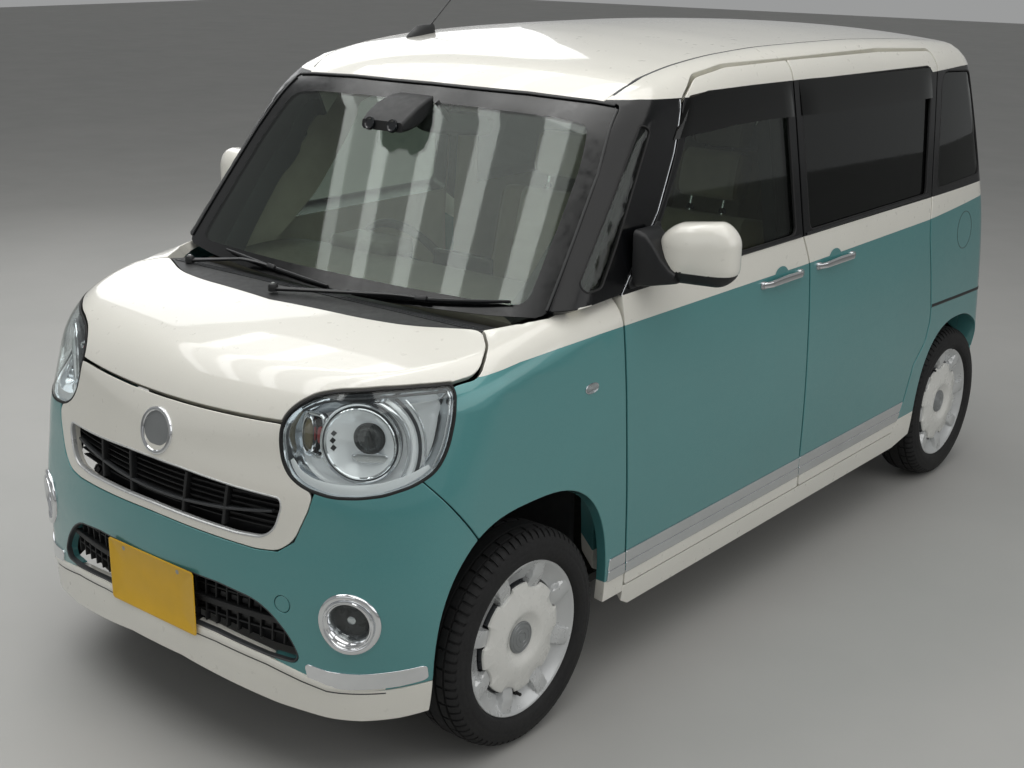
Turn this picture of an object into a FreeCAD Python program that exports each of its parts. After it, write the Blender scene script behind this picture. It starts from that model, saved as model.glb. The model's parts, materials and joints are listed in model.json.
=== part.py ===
import FreeCAD, Part
import math
import os

from FreeCAD import Vector, Placement, Rotation

os.makedirs("parts", exist_ok=True)

doc = FreeCAD.newDocument("kei_car")

# ---------------------------------------------------------------- sizes (mm)
# Frame: +Z up, the front of the car faces -Y, its left side is +X, and the
# floor under the tyres is z = 0.
SIZES = [
    ("half_width", 737.5), ("nose_y", -1697.5), ("tail_y", 1697.5), ("roof_z", 1655),
    ("axle_front_y", -1137), ("axle_rear_y", 1318), ("axle_z", 278.5),
    ("tyre_radius", 278.5), ("tyre_width", 155), ("bead_radius", 178), ("tread_half", 62),
    ("track_front_half", 652.5), ("track_rear_half", 647.5),
    ("spindle_radius", 24), ("hub_bore_radius", 24.6), ("kingpin_x", 627), ("kingpin_radius", 8),
    ("gap_half", 3.5), ("door_thick", 60), ("door_clear", 66), ("frame_depth", 108),
    ("hood_thick", 32), ("gate_thick", 52), ("fender_thick", 24), ("bumper_thick", 26),
    ("roof_thick", 34), ("glass_thick", 5),
    ("arch_front_a", 312), ("arch_front_b", 366), ("arch_rear_a", 292), ("arch_rear_b", 333),
    ("floor_low", 238), ("floor_sheet", 24), ("floor_half", 596), ("rear_floor_z", 408),
    ("wheel_house_x", 548), ("well_half", 400),
    ("plate_w", 330), ("plate_tall", 165), ("plate_bolt_pitch", 210), ("plate_bolt_radius", 3.5),
    ("tow_eye_radius", 8), ("tow_eye_depth", 40),
    ("steer_rim_radius", 178), ("steer_rim_tube", 14),
    ("seat_w", 500), ("seat_long", 500), ("seat_deep", 150),
    ("muffler_radius", 78), ("pipe_radius", 21),
]
sheet = doc.addObject("Spreadsheet::Sheet", "sizes")
for i, (alias, value) in enumerate(SIZES):
    sheet.set("A%d" % (i + 1), alias)
    sheet.set("B%d" % (i + 1), repr(value))
    sheet.setAlias("B%d" % (i + 1), alias)
doc.recompute()


def sz(alias):
    return float(sheet.get(alias))


NODES = []          # (node name, object)


def node(name, obj):
    obj.Label = name
    NODES.append((name, obj))
    return obj



def s(expr):
    """Put the named sizes of an expression into the form the document reads."""
    out, word = [], ""
    names = set(a for a, _ in SIZES)
    for ch in expr + " ":
        if ch.isalnum() or ch == "_":
            word += ch
        else:
            if word:
                out.append("sizes." + word if word in names else word)
            word = ""
            out.append(ch)
    return "".join(out).strip()


def box(x0, x1, y0, y1, z0, z1, tag="box"):
    """A block from its six faces; each may be a number or an expression of sizes."""
    o = doc.addObject("Part::Box", tag)
    vals = [x0, x1, y0, y1, z0, z1]
    e = ["(%s)" % s(v) if isinstance(v, str) else "(%r)" % float(v) for v in vals]
    o.setExpression("Length", "%s - %s" % (e[1], e[0]))
    o.setExpression("Width", "%s - %s" % (e[3], e[2]))
    o.setExpression("Height", "%s - %s" % (e[5], e[4]))
    o.setExpression("Placement.Base.x", e[0])
    o.setExpression("Placement.Base.y", e[2])
    o.setExpression("Placement.Base.z", e[4])
    return o


def rod(radius, length, x, y, z, axis=(0, 0, 1), tag="rod"):
    """A round rod that starts at x, y, z and runs along axis."""
    o = doc.addObject("Part::Cylinder", tag)
    q = lambda v: s(v) if isinstance(v, str) else repr(float(v))
    o.setExpression("Radius", q(radius))
    o.setExpression("Height", q(length))
    o.Placement = Placement(Vector(0, 0, 0), Rotation(Vector(0, 0, 1), Vector(*axis)))
    o.setExpression("Placement.Base.x", q(x))
    o.setExpression("Placement.Base.y", q(y))
    o.setExpression("Placement.Base.z", q(z))
    return o


def fuse(parts, tag="fuse"):
    o = doc.addObject("Part::MultiFuse", tag)
    o.Shapes = parts
    return o


def cut(base, tool, tag="cut"):
    o = doc.addObject("Part::Cut", tag)
    o.Base, o.Tool = base, tool
    return o


def shape_node(name, shape):
    """A freeform panel: its shape comes from the surface functions below."""
    o = doc.addObject("Part::Feature", name)
    o.Shape = shape
    return node(name, o)


# ------------------------------------------------------- body surface, in mm
class Curve:
    """Monotone cubic through (x, y) pairs, straight past its ends."""

    def __init__(self, pts):
        self.x = [p[0] for p in pts]
        self.y = [p[1] for p in pts]
        n = len(pts)
        h = [self.x[i + 1] - self.x[i] for i in range(n - 1)]
        d = [(self.y[i + 1] - self.y[i]) / h[i] for i in range(n - 1)]
        m = [0.0] * n
        m[0], m[-1] = d[0], d[-1]
        for i in range(1, n - 1):
            if d[i - 1] * d[i] > 0:
                w1 = 2 * h[i] + h[i - 1]
                w2 = h[i] + 2 * h[i - 1]
                m[i] = (w1 + w2) / (w1 / d[i - 1] + w2 / d[i])
        self.h, self.m = h, m

    def __call__(self, v):
        x, y, m = self.x, self.y, self.m
        if v <= x[0]:
            return y[0] + m[0] * (v - x[0])
        if v >= x[-1]:
            return y[-1] + m[-1] * (v - x[-1])
        i = 0
        while v > x[i + 1]:
            i += 1
        h = self.h[i]
        t = (v - x[i]) / h
        t2, t3 = t * t, t * t * t
        return ((2 * t3 - 3 * t2 + 1) * y[i] + (t3 - 2 * t2 + t) * h * m[i]
                + (3 * t2 - 2 * t3) * y[i + 1] + (t3 - t2) * h * m[i + 1])


# half width by height, nose and tail by height, hood and roof by length
SIDE = Curve([(150, 700), (210, 716), (290, 727), (420, 734), (600, 737.5), (800, 736.5),
              (920, 733), (1000, 728.5), (1060, 722), (1100, 716), (1300, 691), (1505, 664),
              (1700, 634)])
NOSE = Curve([(150, -1675), (200, -1697.5), (275, -1697.5), (330, -1695), (467, -1694),
              (560, -1686), (603, -1680), (708, -1669), (784, -1652), (874, -1633),
              (960, -1610), (1100, -1570)])
TAIL = Curve([(150, 1670), (220, 1690), (300, 1697.5), (480, 1697.5), (560, 1690),
              (700, 1684), (900, 1670), (1080, 1644), (1300, 1590), (1500, 1530),
              (1640, 1480)])
HOOD = Curve([(-1760, 700), (-1700, 800), (-1660, 866), (-1633, 905), (-1600, 938),
              (-1540, 972), (-1450, 1003), (-1350, 1027), (-1250, 1046), (-1180, 1058),
              (-1000, 1086)])
ROOF = Curve([(-900, 1470), (-760, 1535), (-650, 1573), (-520, 1605), (-350, 1632),
              (-150, 1648), (100, 1655), (500, 1652), (900, 1638), (1200, 1620),
              (1450, 1597), (1650, 1570)])
NOSE_R = Curve([(150, 200), (500, 170), (700, 190), (900, 240), (1100, 260)])

KW = sz("half_width") / 737.5
DN = sz("nose_y") + 1697.5
DT = sz("tail_y") - 1697.5
DR = sz("roof_z") - 1655.0


def xside(y, z):
    w = SIDE(z) * KW
    if y < -700:
        w -= 16 * ((-700 - y) / 1000.0) ** 2
    elif y > 1000:
        w -= 26 * ((y - 1000) / 700.0) ** 2.2 * min(max((z - 300) / 600.0, 0.4), 1.2)
    return w


def yfront(x, z):
    return NOSE(z) + DN + 0.00029 * x * x


def yrear(x, z):
    return TAIL(z) + DT - 0.00016 * x * x


def zhood(x, y):
    return HOOD(y) - 0.00007 * x * x


def zscreen(x, y):
    yy = y - 0.00018 * x * x + 1110
    return 1035 + yy * 1.235 - 0.000096 * yy * yy


def zroof(x, y):
    return ROOF(y) + DR - 0.00011 * x * x


def rmax(a, b, r):
    u, v = a + r, b + r
    if u > 0 and v > 0:
        return math.sqrt(u * u + v * v) - r
    return max(a, b)


def low(x, y, z):
    """Below zero inside the lower body: sides, nose, hood and tail."""
    x = abs(x)
    g = rmax(x - xside(y, z), yfront(x, z) - y, NOSE_R(z))
    g = rmax(g, (z - zhood(x, y)) * 0.96, 80)
    return rmax(g, y - yrear(x, z), 120)


def top(x, y, z):
    """Below zero inside the cabin: sides, windscreen, roof and tail."""
    x = abs(x)
    g = rmax((x - xside(y, z)) * 0.985, (z - zscreen(x, y)) * 0.64, 55)
    g = rmax(g, z - zroof(x, y), 75)
    return rmax(g, (y - yrear(x, z)) * 0.97, 110)


def hit(F, o, d, t1=3000.0):
    """The point where a ray that starts inside leaves the body."""
    at = lambda t: (o[0] + t * d[0], o[1] + t * d[1], o[2] + t * d[2])
    a, b = 0.0, 120.0
    fa, fb = F(*at(a)), F(*at(b))
    while fb < 0 and b < t1:
        a, fa = b, fb
        b += 120.0
        fb = F(*at(b))
    side = 0
    for _ in range(60):
        c = (a * fb - b * fa) / (fb - fa)
        fc = F(*at(c))
        if abs(fc) < 1e-5:
            break
        if fc * fb > 0:
            b, fb = c, fc
            if side == -1:
                fa *= 0.5
            side = -1
        else:
            a, fa = c, fc
            if side == 1:
                fb *= 0.5
            side = 1
    return at(c)


def normal(F, p, h=1.0):
    g = [F(p[0] + h, p[1], p[2]) - F(p[0] - h, p[1], p[2]),
         F(p[0], p[1] + h, p[2]) - F(p[0], p[1] - h, p[2]),
         F(p[0], p[1], p[2] + h) - F(p[0], p[1], p[2] - h)]
    k = math.sqrt(g[0] ** 2 + g[1] ** 2 + g[2] ** 2)
    return [c / k for c in g]


def skin_points(F, rays):
    """A grid of (point, step along the ray for 1 mm of depth) on the body."""
    out = []
    for row in rays:
        r = []
        for o, d in row:
            p = hit(F, o, d)
            n = normal(F, p)
            k = max(n[0] * d[0] + n[1] * d[1] + n[2] * d[2], 0.4)
            r.append((p, [d[0] / k, d[1] / k, d[2] / k]))
        out.append(r)
    return out


def sheet_face(grid, depth):
    pts = [[Vector(p[0] - n[0] * depth, p[1] - n[1] * depth, p[2] - n[2] * depth)
            for p, n in row] for row in grid]
    surf = Part.BSplineSurface()
    surf.interpolate(pts)
    return pts, surf


def right_way(solid):
    """The same solid with its faces pointing outwards."""
    if solid.Volume < 0:
        solid = Part.makeSolid(Part.Shell([f.reversed() for f in solid.Faces]))
    return solid


def slab(grid, d0, d1):
    """The solid between two depths under the skin."""
    pa, sa = sheet_face(grid, d0)
    pb, sb = sheet_face(grid, d1)
    fa, fb = sa.toShape(), sb.toShape()
    faces = [fa, fb]
    edges = []
    for surf in (sa, sb):
        u0, u1, v0, v1 = surf.bounds()
        edges.append([surf.uIso(u0).toShape(), surf.uIso(u1).toShape(),
                      surf.vIso(v0).toShape(), surf.vIso(v1).toShape()])
    for ea, eb in zip(edges[0], edges[1]):
        faces.append(Part.makeRuledSurface(ea, eb))
    shell = Part.Shell(faces)
    shell.sewShape()
    if shell.ShapeType != "Shell":
        shell = shell.Shells[0]
    return right_way(Part.makeSolid(shell))


def lin(a, b, n):
    return [a + (b - a) * i / (n - 1.0) for i in range(n)]


def ball_rays(o, phis, elevs):
    rows = []
    for ph in phis:
        row = []
        for e in elevs:
            c = math.cos(math.radians(e))
            row.append((o, (c * math.cos(math.radians(ph)), c * math.sin(math.radians(ph)),
                            math.sin(math.radians(e)))))
        rows.append(row)
    return rows


def plane_rays(o, pts):
    """Rays from o through a grid of points."""
    rows = []
    for r in pts:
        row = []
        for p in r:
            d = [p[i] - o[i] for i in range(3)]
            k = math.sqrt(sum(c * c for c in d))
            row.append((o, [c / k for c in d]))
        rows.append(row)
    return rows


# ------------------------------------------------------------ outline prisms
def grow(pts, d):
    """Offset a closed outline outwards by d (inwards if negative)."""
    n = len(pts)
    area = sum(pts[i][0] * pts[(i + 1) % n][1] - pts[(i + 1) % n][0] * pts[i][1]
               for i in range(n))
    sg = 1.0 if area > 0 else -1.0
    out = []
    for i in range(n):
        p0, p1, p2 = pts[i - 1], pts[i], pts[(i + 1) % n]
        a = (p1[0] - p0[0], p1[1] - p0[1])
        b = (p2[0] - p1[0], p2[1] - p1[1])
        la, lb = math.hypot(*a), math.hypot(*b)
        na = (a[1] / la * sg, -a[0] / la * sg)
        nb = (b[1] / lb * sg, -b[0] / lb * sg)
        k = 1 + na[0] * nb[0] + na[1] * nb[1]
        k = max(k, 0.35)
        out.append((p1[0] + (na[0] + nb[0]) / k * d, p1[1] + (na[1] + nb[1]) / k * d) + tuple(p1[2:]))
    return out


def outline(pts, place):
    """Closed wire through pts with rounded corners: (u, v) or (u, v, radius)."""
    n = len(pts)
    segs = []
    cur = []
    for i in range(n):
        p0, p1, p2 = pts[i - 1], pts[i], pts[(i + 1) % n]
        r = p1[2] if len(p1) > 2 else 0.0
        if r <= 0:
            cur.append((p1[:2], None, p1[:2]))
            continue
        ax, ay = p0[0] - p1[0], p0[1] - p1[1]
        bx, by = p2[0] - p1[0], p2[1] - p1[1]
        la, lb = math.hypot(ax, ay), math.hypot(bx, by)
        ax, ay, bx, by = ax / la, ay / la, bx / lb, by / lb
        ang = math.acos(max(-1.0, min(1.0, ax * bx + ay * by)))
        tl = r / math.tan(ang / 2.0)
        lim = 0.48 * min(la, lb)
        if tl > lim:
            tl = lim
            r = tl * math.tan(ang / 2.0)
        if ang > 3.10:
            cur.append((p1[:2], None, p1[:2]))
            continue
        ta = (p1[0] + ax * tl, p1[1] + ay * tl)
        tb = (p1[0] + bx * tl, p1[1] + by * tl)
        mx, my = ax + bx, ay + by
        mm = math.hypot(mx, my)
        dist = r / math.sin(ang / 2.0) - r
        mid = (p1[0] + mx / mm * dist, p1[1] + my / mm * dist)
        cur.append((ta, mid, tb))
    edges = []
    for i in range(n):
        ta, mid, tb = cur[i]
        if mid is not None:
            edges.append(Part.Arc(place(ta), place(mid), place(tb)).toShape())
        nx = cur[(i + 1) % n][0]
        if math.hypot(nx[0] - tb[0], nx[1] - tb[1]) > 1e-6:
            edges.append(Part.LineSegment(place(tb), place(nx)).toShape())
    return Part.Wire(edges)


def prism(pts, view, a, b):
    """Outline seen from the side (y, z), the front (x, z) or the top (x, y)."""
    if view == "side":
        place = lambda p: Vector(a, p[0], p[1])
        d = Vector(b - a, 0, 0)
    elif view == "front":
        place = lambda p: Vector(p[0], a, p[1])
        d = Vector(0, b - a, 0)
    elif view == "top":
        place = lambda p: Vector(p[0], p[1], a)
        d = Vector(0, 0, b - a)
    else:                               # along the plan diagonal of the left headlight
        c, q = math.cos(math.radians(40)), math.sin(math.radians(40))
        place = lambda p: Vector(c * p[0] + q * a, q * p[0] - c * a, p[1])
        d = Vector(q * (b - a), -c * (b - a), 0)
    w = outline(pts, place)
    return right_way(Part.Face(w).extrude(d))


def both(pts):
    """Right half outline (x >= 0) mirrored to a closed symmetric outline."""
    left = [(-p[0],) + tuple(p[1:]) for p in reversed(pts) if p[0] > 1e-6]
    return list(pts) + left


def mirror(shape):
    return shape.mirror(Vector(0, 0, 0), Vector(1, 0, 0))


def biggest(shape, n=1, least=0.0):
    sol = sorted([q for q in shape.Solids if q.Volume > least], key=lambda q: -q.Volume)[:n]
    return sol[0] if n == 1 else Part.makeCompound(sol)


def superellipse(cy, cz, a, b, n, zmin, k=13):
    """Upper half of a wheel arch, closed below at zmin."""
    pts = [(cy - a, zmin)]
    for i in range(k):
        t = math.pi * (1 - i / (k - 1.0))
        c, q = math.cos(t), math.sin(t)
        pts.append((cy + a * math.copysign(abs(c) ** (2.0 / n), c), cz + b * abs(q) ** (2.0 / n)))
    pts.append((cy + a, zmin))
    return pts


def arch_tool(cy, cz, a, b, n, x0, x1, zmin=60):
    """Wheel-arch cutter: straight legs and a smooth crown."""
    pts = superellipse(cy, cz, a, b, n, zmin, 17)
    crown = [Vector(x0, p[0], p[1]) for p in pts[1:-1]]
    bs = Part.BSplineCurve()
    bs.interpolate(crown)
    p0, p1 = Vector(x0, pts[0][0], pts[0][1]), Vector(x0, pts[-1][0], pts[-1][1])
    w = Part.Wire([Part.LineSegment(p0, crown[0]).toShape(), bs.toShape(),
                   Part.LineSegment(crown[-1], p1).toShape(), Part.LineSegment(p1, p0).toShape()])
    return right_way(Part.Face(w).extrude(Vector(x1 - x0, 0, 0)))


G = sz("gap_half")
DOOR_T, DOOR_C, FRAME_D = sz("door_thick"), sz("door_clear"), sz("frame_depth")
AXF, AXR, AXZ = sz("axle_front_y"), sz("axle_rear_y"), sz("axle_z")

# --------------------------------------------------------------- door lines
# The middle of each gap, seen from the side (y, z, corner radius).
FRONT_DOOR = [(-733, 281, 14), (-739, 372), (-776, 1001), (-781, 1076, 6), (-595, 1253, 500),
              (-508, 1385, 400), (-452, 1520, 60), (-360, 1571, 110), (-200, 1588, 300),
              (117, 1588, 5), (141, 1078, 0), (171, 998, 60), (184, 683), (190, 345),
              (201, 281, 8)]
SLIDE_DOOR = [(117, 1588, 5), (141, 1078, 0), (171, 998, 60), (184, 683), (190, 345),
              (201, 281, 8), (868, 281, 18), (922, 373, 90), (944, 430, 60), (973, 504, 60),
              (1050, 569, 50), (1074, 640, 40), (1074, 686, 0), (1013, 973, 300),
              (1100, 1500, 40), (1080, 1562, 30), (700, 1580, 400)]
# the one aperture in the outer layer of the side that both doors fill
APERTURE = FRONT_DOOR[:9] + [(700, 1582, 400)] + [SLIDE_DOOR[15], SLIDE_DOOR[14], SLIDE_DOOR[13],
            SLIDE_DOOR[12], SLIDE_DOOR[11], SLIDE_DOOR[10], SLIDE_DOOR[9], SLIDE_DOOR[8],
            SLIDE_DOOR[7], SLIDE_DOOR[6]]
FRONT_HOLE = [(-690, 335, 60), (-735, 1040, 20), (-560, 1225, 500), (-455, 1400, 300),
              (-395, 1515, 60), (-250, 1548, 200), (80, 1552, 40), (100, 1000, 300), (130, 335, 60)]
SLIDE_HOLE = [(235, 335, 60), (225, 1000, 300), (165, 1552, 40), (600, 1546, 300),
              (1036, 1526, 34), (1060, 1400, 200), (985, 1000, 300), (1015, 700, 80),
              (930, 560, 80), (860, 335, 90)]
FRONT_GLASS = [(-726, 1092, 12), (-588, 1232, 300), (-478, 1382, 200), (-405, 1522, 40),
               (78, 1524, 25), (100, 1092, 25)]
SLIDE_GLASS = [(180, 1094, 25), (158, 1524, 25), (1048, 1512, 30), (1040, 1400, 200),
               (990, 1096, 25)]
REAR_QUARTER = [(1075, 1104, 25), (1140, 1490, 60), (1400, 1476, 60), (1450, 1300, 200),
                (1478, 1110, 40)]
SLOPE_QUARTER = [(-946, 1101, 22), (-856, 1106, 26), (-785, 1196, 200), (-606, 1458, 18),
                 (-634, 1474, 14), (-700, 1396, 400)]

# ------------------------------------------------------------ skins of points
side_line = [(y, 0.0) for y in lin(-1010, 1330, 30)] + [(1330, a) for a in lin(9, 81, 10)]
side_elev = lin(-59, 24, 26) + lin(28, 72, 16)
side_rays = []
for y0, ps in side_line:
    row = []
    for e in side_elev:
        c = math.cos(math.radians(e))
        row.append(((200.0, y0, 850.0), (c * math.cos(math.radians(ps)),
                                         c * math.sin(math.radians(ps)), math.sin(math.radians(e)))))
    side_rays.append(row)
SIDE_G = skin_points(top, side_rays)

nose_o = (0.0, -1000.0, 450.0)
NOSE_G = skin_points(low, ball_rays(nose_o, lin(-172, -8, 56), lin(-26, 52, 30)))
LEFT_G = skin_points(low, ball_rays(nose_o, lin(-78, 22, 44), lin(-26, 50, 34)))
hood_pts = [[(x, y, 1100.0) for y in lin(-2020, -1150, 30)] for x in lin(-880, 880, 41)]
HOOD_G = skin_points(low, plane_rays((0.0, -1040.0, 300.0), hood_pts))
roof_pts = [[(x, y, 1600.0) for y in lin(-760, 1560, 48)] for x in lin(-640, 640, 33)]
ROOF_G = skin_points(top, plane_rays((0.0, 400.0, -1500.0), roof_pts))
screen_pts = [[(x, -1140 + 590 * t, 1000 + 590 * t) for t in lin(0, 1, 22)] for x in lin(-720, 720, 35)]
SCREEN_G = skin_points(top, plane_rays((0.0, 300.0, 900.0), screen_pts))
gate_pts = [[(x, 1700.0, z) for z in lin(300, 1760, 40)] for x in lin(-690, 690, 33)]
GATE_G = skin_points(top, plane_rays((0.0, 700.0, 850.0), gate_pts))
TAIL_G = skin_points(top, ball_rays((0.0, 1000.0, 450.0), lin(8, 172, 56), lin(-24, 30, 18)))
print("skins ready")

# ------------------------------------------------------------------- outlines
SCREEN_HALF = [(0, 1034), (250, 1036), (520, 1044), (640, 1052), (664, 1062, 20), (645, 1221, 600),
               (627, 1363, 600), (588, 1510, 24), (515, 1517, 300), (319, 1525, 500), (0, 1528)]
SCREEN = both(SCREEN_HALF)
HOOD_TOP = both([(0, -1283), (292, -1257, 900), (426, -1229, 600), (584, -1146, 40),
                 (651, -1207, 150), (694, -1281, 60), (667, -1349, 30), (625, -1406, 200),
                 (567, -1460, 200), (485, -1510, 200), (434, -1535, 100), (401, -1560, 60),
                 (380, -1800), (0, -1800)])
SEAM = [(0, 870), (129, 871), (256, 874), (376, 878)]
GATE_HALF = [(0, 452), (560, 452, 70), (590, 620, 200), (612, 1000, 400), (612, 1180, 300),
             (590, 1380, 300), (558, 1510, 40), (558, 1700), (0, 1700)]
GATE = both(GATE_HALF)
GATE_GLASS = both([(0, 1080), (560, 1080, 60), (520, 1500, 60), (0, 1500)])


def diag_u(x, y):
    c, q = math.cos(math.radians(40)), math.sin(math.radians(40))
    return c * x + q * y


HEAD3D = [(381, -1600, 834), (377, -1591, 868), (384, -1578, 894), (401, -1560, 916),
          (434, -1535, 939), (485, -1510, 952), (567, -1460, 963), (625, -1406, 968),
          (667, -1349, 970), (683, -1352, 952), (694, -1367, 902), (696, -1390, 838),
          (690, -1422, 791), (665, -1470, 765), (624, -1523, 747), (582, -1556, 740),
          (518, -1586, 735), (457, -1601, 744), (416, -1607, 764), (392, -1605, 795)]
HEAD = [(diag_u(x, y), z, 200) for x, y, z in HEAD3D]
HEAD[8] = HEAD[8][:2] + (12,)
HEAD_TOOL = prism(grow(HEAD, 2.5), "diag", 900, 2400)
HEAD_TOOL2 = mirror(HEAD_TOOL)

PANEL = both([(0, 866), (129, 867), (256, 870), (392, 874), (400, 780), (440, 755), (479, 733, 20),
              (470, 694, 60), (438, 618, 90), (397, 588, 60), (338, 582, 200), (241, 585, 400),
              (59, 591), (0, 592)])
SMILE = both([(0, 724), (101, 723, 300), (276, 715, 300), (398, 712, 14), (403, 690, 40),
              (387, 636, 60), (356, 611, 60), (281, 606, 200), (58, 611), (0, 612)])
LOWGRILLE = both([(0, 478), (113, 478), (232, 475, 300), (339, 460, 200), (385, 434, 150),
                  (435, 385, 200), (464, 322, 20), (367, 325), (216, 344), (120, 349), (0, 349)])
LIP = both([(0, 349), (120, 349), (216, 345, 200), (367, 324, 300), (464, 299, 200),
            (526, 285, 200), (640, 283), (740, 296), (740, 217), (652, 203), (596, 200),
            (523, 202), (397, 208, 300), (257, 225, 300), (97, 245), (0, 246)])
FENDER = [(-736.5, 262), (-742.5, 372), (-779.5, 1001), (-784, 1075), (-870, 1073, 300),
          (-976, 1066, 100), (-1040, 1068), (-1146, 1046, 4), (-1210, 1026, 150),
          (-1284, 983, 60), (-1349, 972), (-1353, 950), (-1368, 902, 200), (-1392, 838, 200),
          (-1424, 791, 100), (-1452, 774), (-1326, 612), (-1300, 560), (-1137, 400), (-840, 340),
          (-832, 262)]
BUMPER_CUT = [(-1457, 778), (-1331, 612), (-1305, 560), (-1137, 300), (-1137, 100), (-700, 100),
              (-700, 1200), (-1500, 1200), (-1500, 780)]

arch_front = arch_tool(AXF, AXZ, sz("arch_front_a"), sz("arch_front_b"), 2.8, 395, 900)
arch_rear = arch_tool(1313, AXZ, sz("arch_rear_a"), sz("arch_rear_b"), 2.4, 500, 900)
arch_front2, arch_rear2 = mirror(arch_front), mirror(arch_rear)

# ------------------------------------------------------------------ side frame
SIDE_ALL = [(-790, 266), (-815, 700), (-830, 1000), (-900, 1060), (-1012, 1071), (-1030, 1085),
            (-1000, 1130), (-820, 1330), (-640, 1530), (-560, 1640), (-400, 1700), (1600, 1700),
            (1600, 1560), (1720, 1000), (1720, 640), (1648, 606, 20), (1577, 412),
            (1560, 366), (1560, 262), (1040, 262), (1020, 236), (900, 214), (-700, 214), (-737, 236)]
GROWN = grow(APERTURE, G)
# doors and fenders lie over the frame in this pocket
POCKET = GROWN[3:] + [(-736.5, 277.5), (-736.5, 150), (-1100, 150), (-1100, 1068), (-1012, 1068)]
XA, XB = 150, 900
side = slab(SIDE_G, 0.0, FRAME_D)
print("side slab", side.isValid(), side.Volume / 1e6)
side = side.common(prism(SIDE_ALL, "side", XA, XB))
pocket = slab(SIDE_G, -4.0, DOOR_C).common(prism(POCKET, "side", XA, XB))
side = side.cut(pocket)
print("pocket", pocket.isValid(), side.isValid(), side.Volume / 1e6)
for pts in (FRONT_HOLE, SLIDE_HOLE, REAR_QUARTER, SLOPE_QUARTER):
    side = side.cut(prism(pts, "side", XA, XB))
print("holes", side.isValid(), side.Volume / 1e6)
side = side.cut(arch_rear).cut(Part.makeBox(520, 400, 262, Vector(0, 1480, 190)))
side = side.cut(prism(grow(SCREEN, 3), "front", -1400, -300))
print("screen", side.isValid(), side.Volume / 1e6)
side = side.cut(prism(both([(0, -800), (540, -800), (540, -620), (566, -540), (566, 1800), (0, 1800)]), "top", 1450, 1800))
print("roof", side.isValid(), side.Volume / 1e6)
side = side.cut(prism(grow(GATE, 6.5), "front", 1250, 1900))
print("side frame", side.isValid(), len(side.Solids), [round(q.Volume / 1e6, 2) for q in side.Solids])
TAIL_LAMP = [(640, 655, 24), (735, 655), (735, 1046), (640, 1046, 40), (634, 850, 600)]
lamp_room = prism(grow(TAIL_LAMP, 1.5), "front", 1480, 1800)
tail_lamp = biggest(slab(SIDE_G, 0.0, 70.0).common(prism(TAIL_LAMP, "front", 1480, 1800)).common(
    prism([(1540, 600), (1800, 600), (1800, 1100), (1525, 1100)], "side", XA, XB)))
side = side.cut(slab(SIDE_G, -4.0, 71.5).common(lamp_room).common(
    prism([(1538.5, 600), (1800, 600), (1800, 1100), (1523.5, 1100)], "side", XA, XB)))
body_left = biggest(side)
shape_node("body_sides", Part.makeCompound([body_left, mirror(body_left)]))
shape_node("tail_lights", Part.makeCompound([tail_lamp, mirror(tail_lamp)]))
print("tail lamp", tail_lamp.isValid(), tail_lamp.Volume / 1e6, body_left.isValid(), body_left.Volume / 1e6)

# ----------------------------------------------------------------------- doors
def door(pts, window, name, gname):
    base = slab(SIDE_G, 0.0, DOOR_T)
    d = base.common(prism(grow(pts, -G), "side", XA, XB)).cut(prism(window, "side", XA, XB))
    d = d.cut(arch_rear) if "sliding" in name else d
    d = d.cut(prism([(0, -800), (540, -800), (540, -620), (566, -540), (566, 1800), (0, 1800)], "top", 1450, 1800))
    d = biggest(d)
    g = slab(SIDE_G, 10.0, 10.0 + sz("glass_thick")).common(prism(grow(window, -1.0), "side", XA, XB))
    g = biggest(g)
    if "sliding" in name:
        shape_node("sliding_doors", Part.makeCompound([d, mirror(d)]))
    else:
        shape_node(name + "_left", d)
        shape_node(name + "_right", mirror(d))
    return g


g1 = door(FRONT_DOOR, FRONT_GLASS, "front_door", "front_door_glass")
g2 = door(SLIDE_DOOR, SLIDE_GLASS, "sliding_door", "sliding_door_glass")
shape_node("front_door_glass_left", g1)
shape_node("front_door_glass_right", mirror(g1))
shape_node("sliding_door_glass", Part.makeCompound([g2, mirror(g2)]))
thin = slab(SIDE_G, 4.0, 4.0 + sz("glass_thick"))
q1 = biggest(thin.common(prism(grow(REAR_QUARTER, -1.0), "side", XA, XB)))
q2 = biggest(thin.common(prism(grow(SLOPE_QUARTER, -1.0), "side", XA, XB)))
shape_node("quarter_glass", Part.makeCompound([q1, mirror(q1), q2, mirror(q2)]))
print("doors done")

# ------------------------------------------------------- roof, screen and hood
ROOF_TOP = both([(0, -720), (400, -720), (531, -660), (559, -556), (559, 1800), (0, 1800)])
roof = slab(ROOF_G, 0.0, sz("roof_thick"))
roof = roof.common(prism(ROOF_TOP, "top", 1400, 1800))
roof = roof.cut(prism(grow(SCREEN, 3), "front", -1400, -300))
roof = roof.cut(prism([(1440, 1400), (1440, 1560), (1452, 1800), (1800, 1800), (1800, 1400)], "side", -900, 900))
shape_node("roof_panel", biggest(roof))

screen = slab(SCREEN_G, 3.0, 3.0 + sz("glass_thick")).common(prism(SCREEN, "front", -1400, -300))
shape_node("windscreen", biggest(screen))

hood = slab(HOOD_G, 0.0, sz("hood_thick")).common(prism(grow(HOOD_TOP, -2), "top", 700, 1200))
hood_lamp = prism(grow(HEAD, 6.0), "diag", 900, 2400)
hood = hood.cut(hood_lamp).cut(mirror(hood_lamp))
seam_low = both([(0, 873.5), (129, 874.5), (256, 877.5), (376, 881.5), (760, 884), (760, 500), (0, 500)])
hood = hood.cut(prism(seam_low, "front", -1900, -1400))
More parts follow.
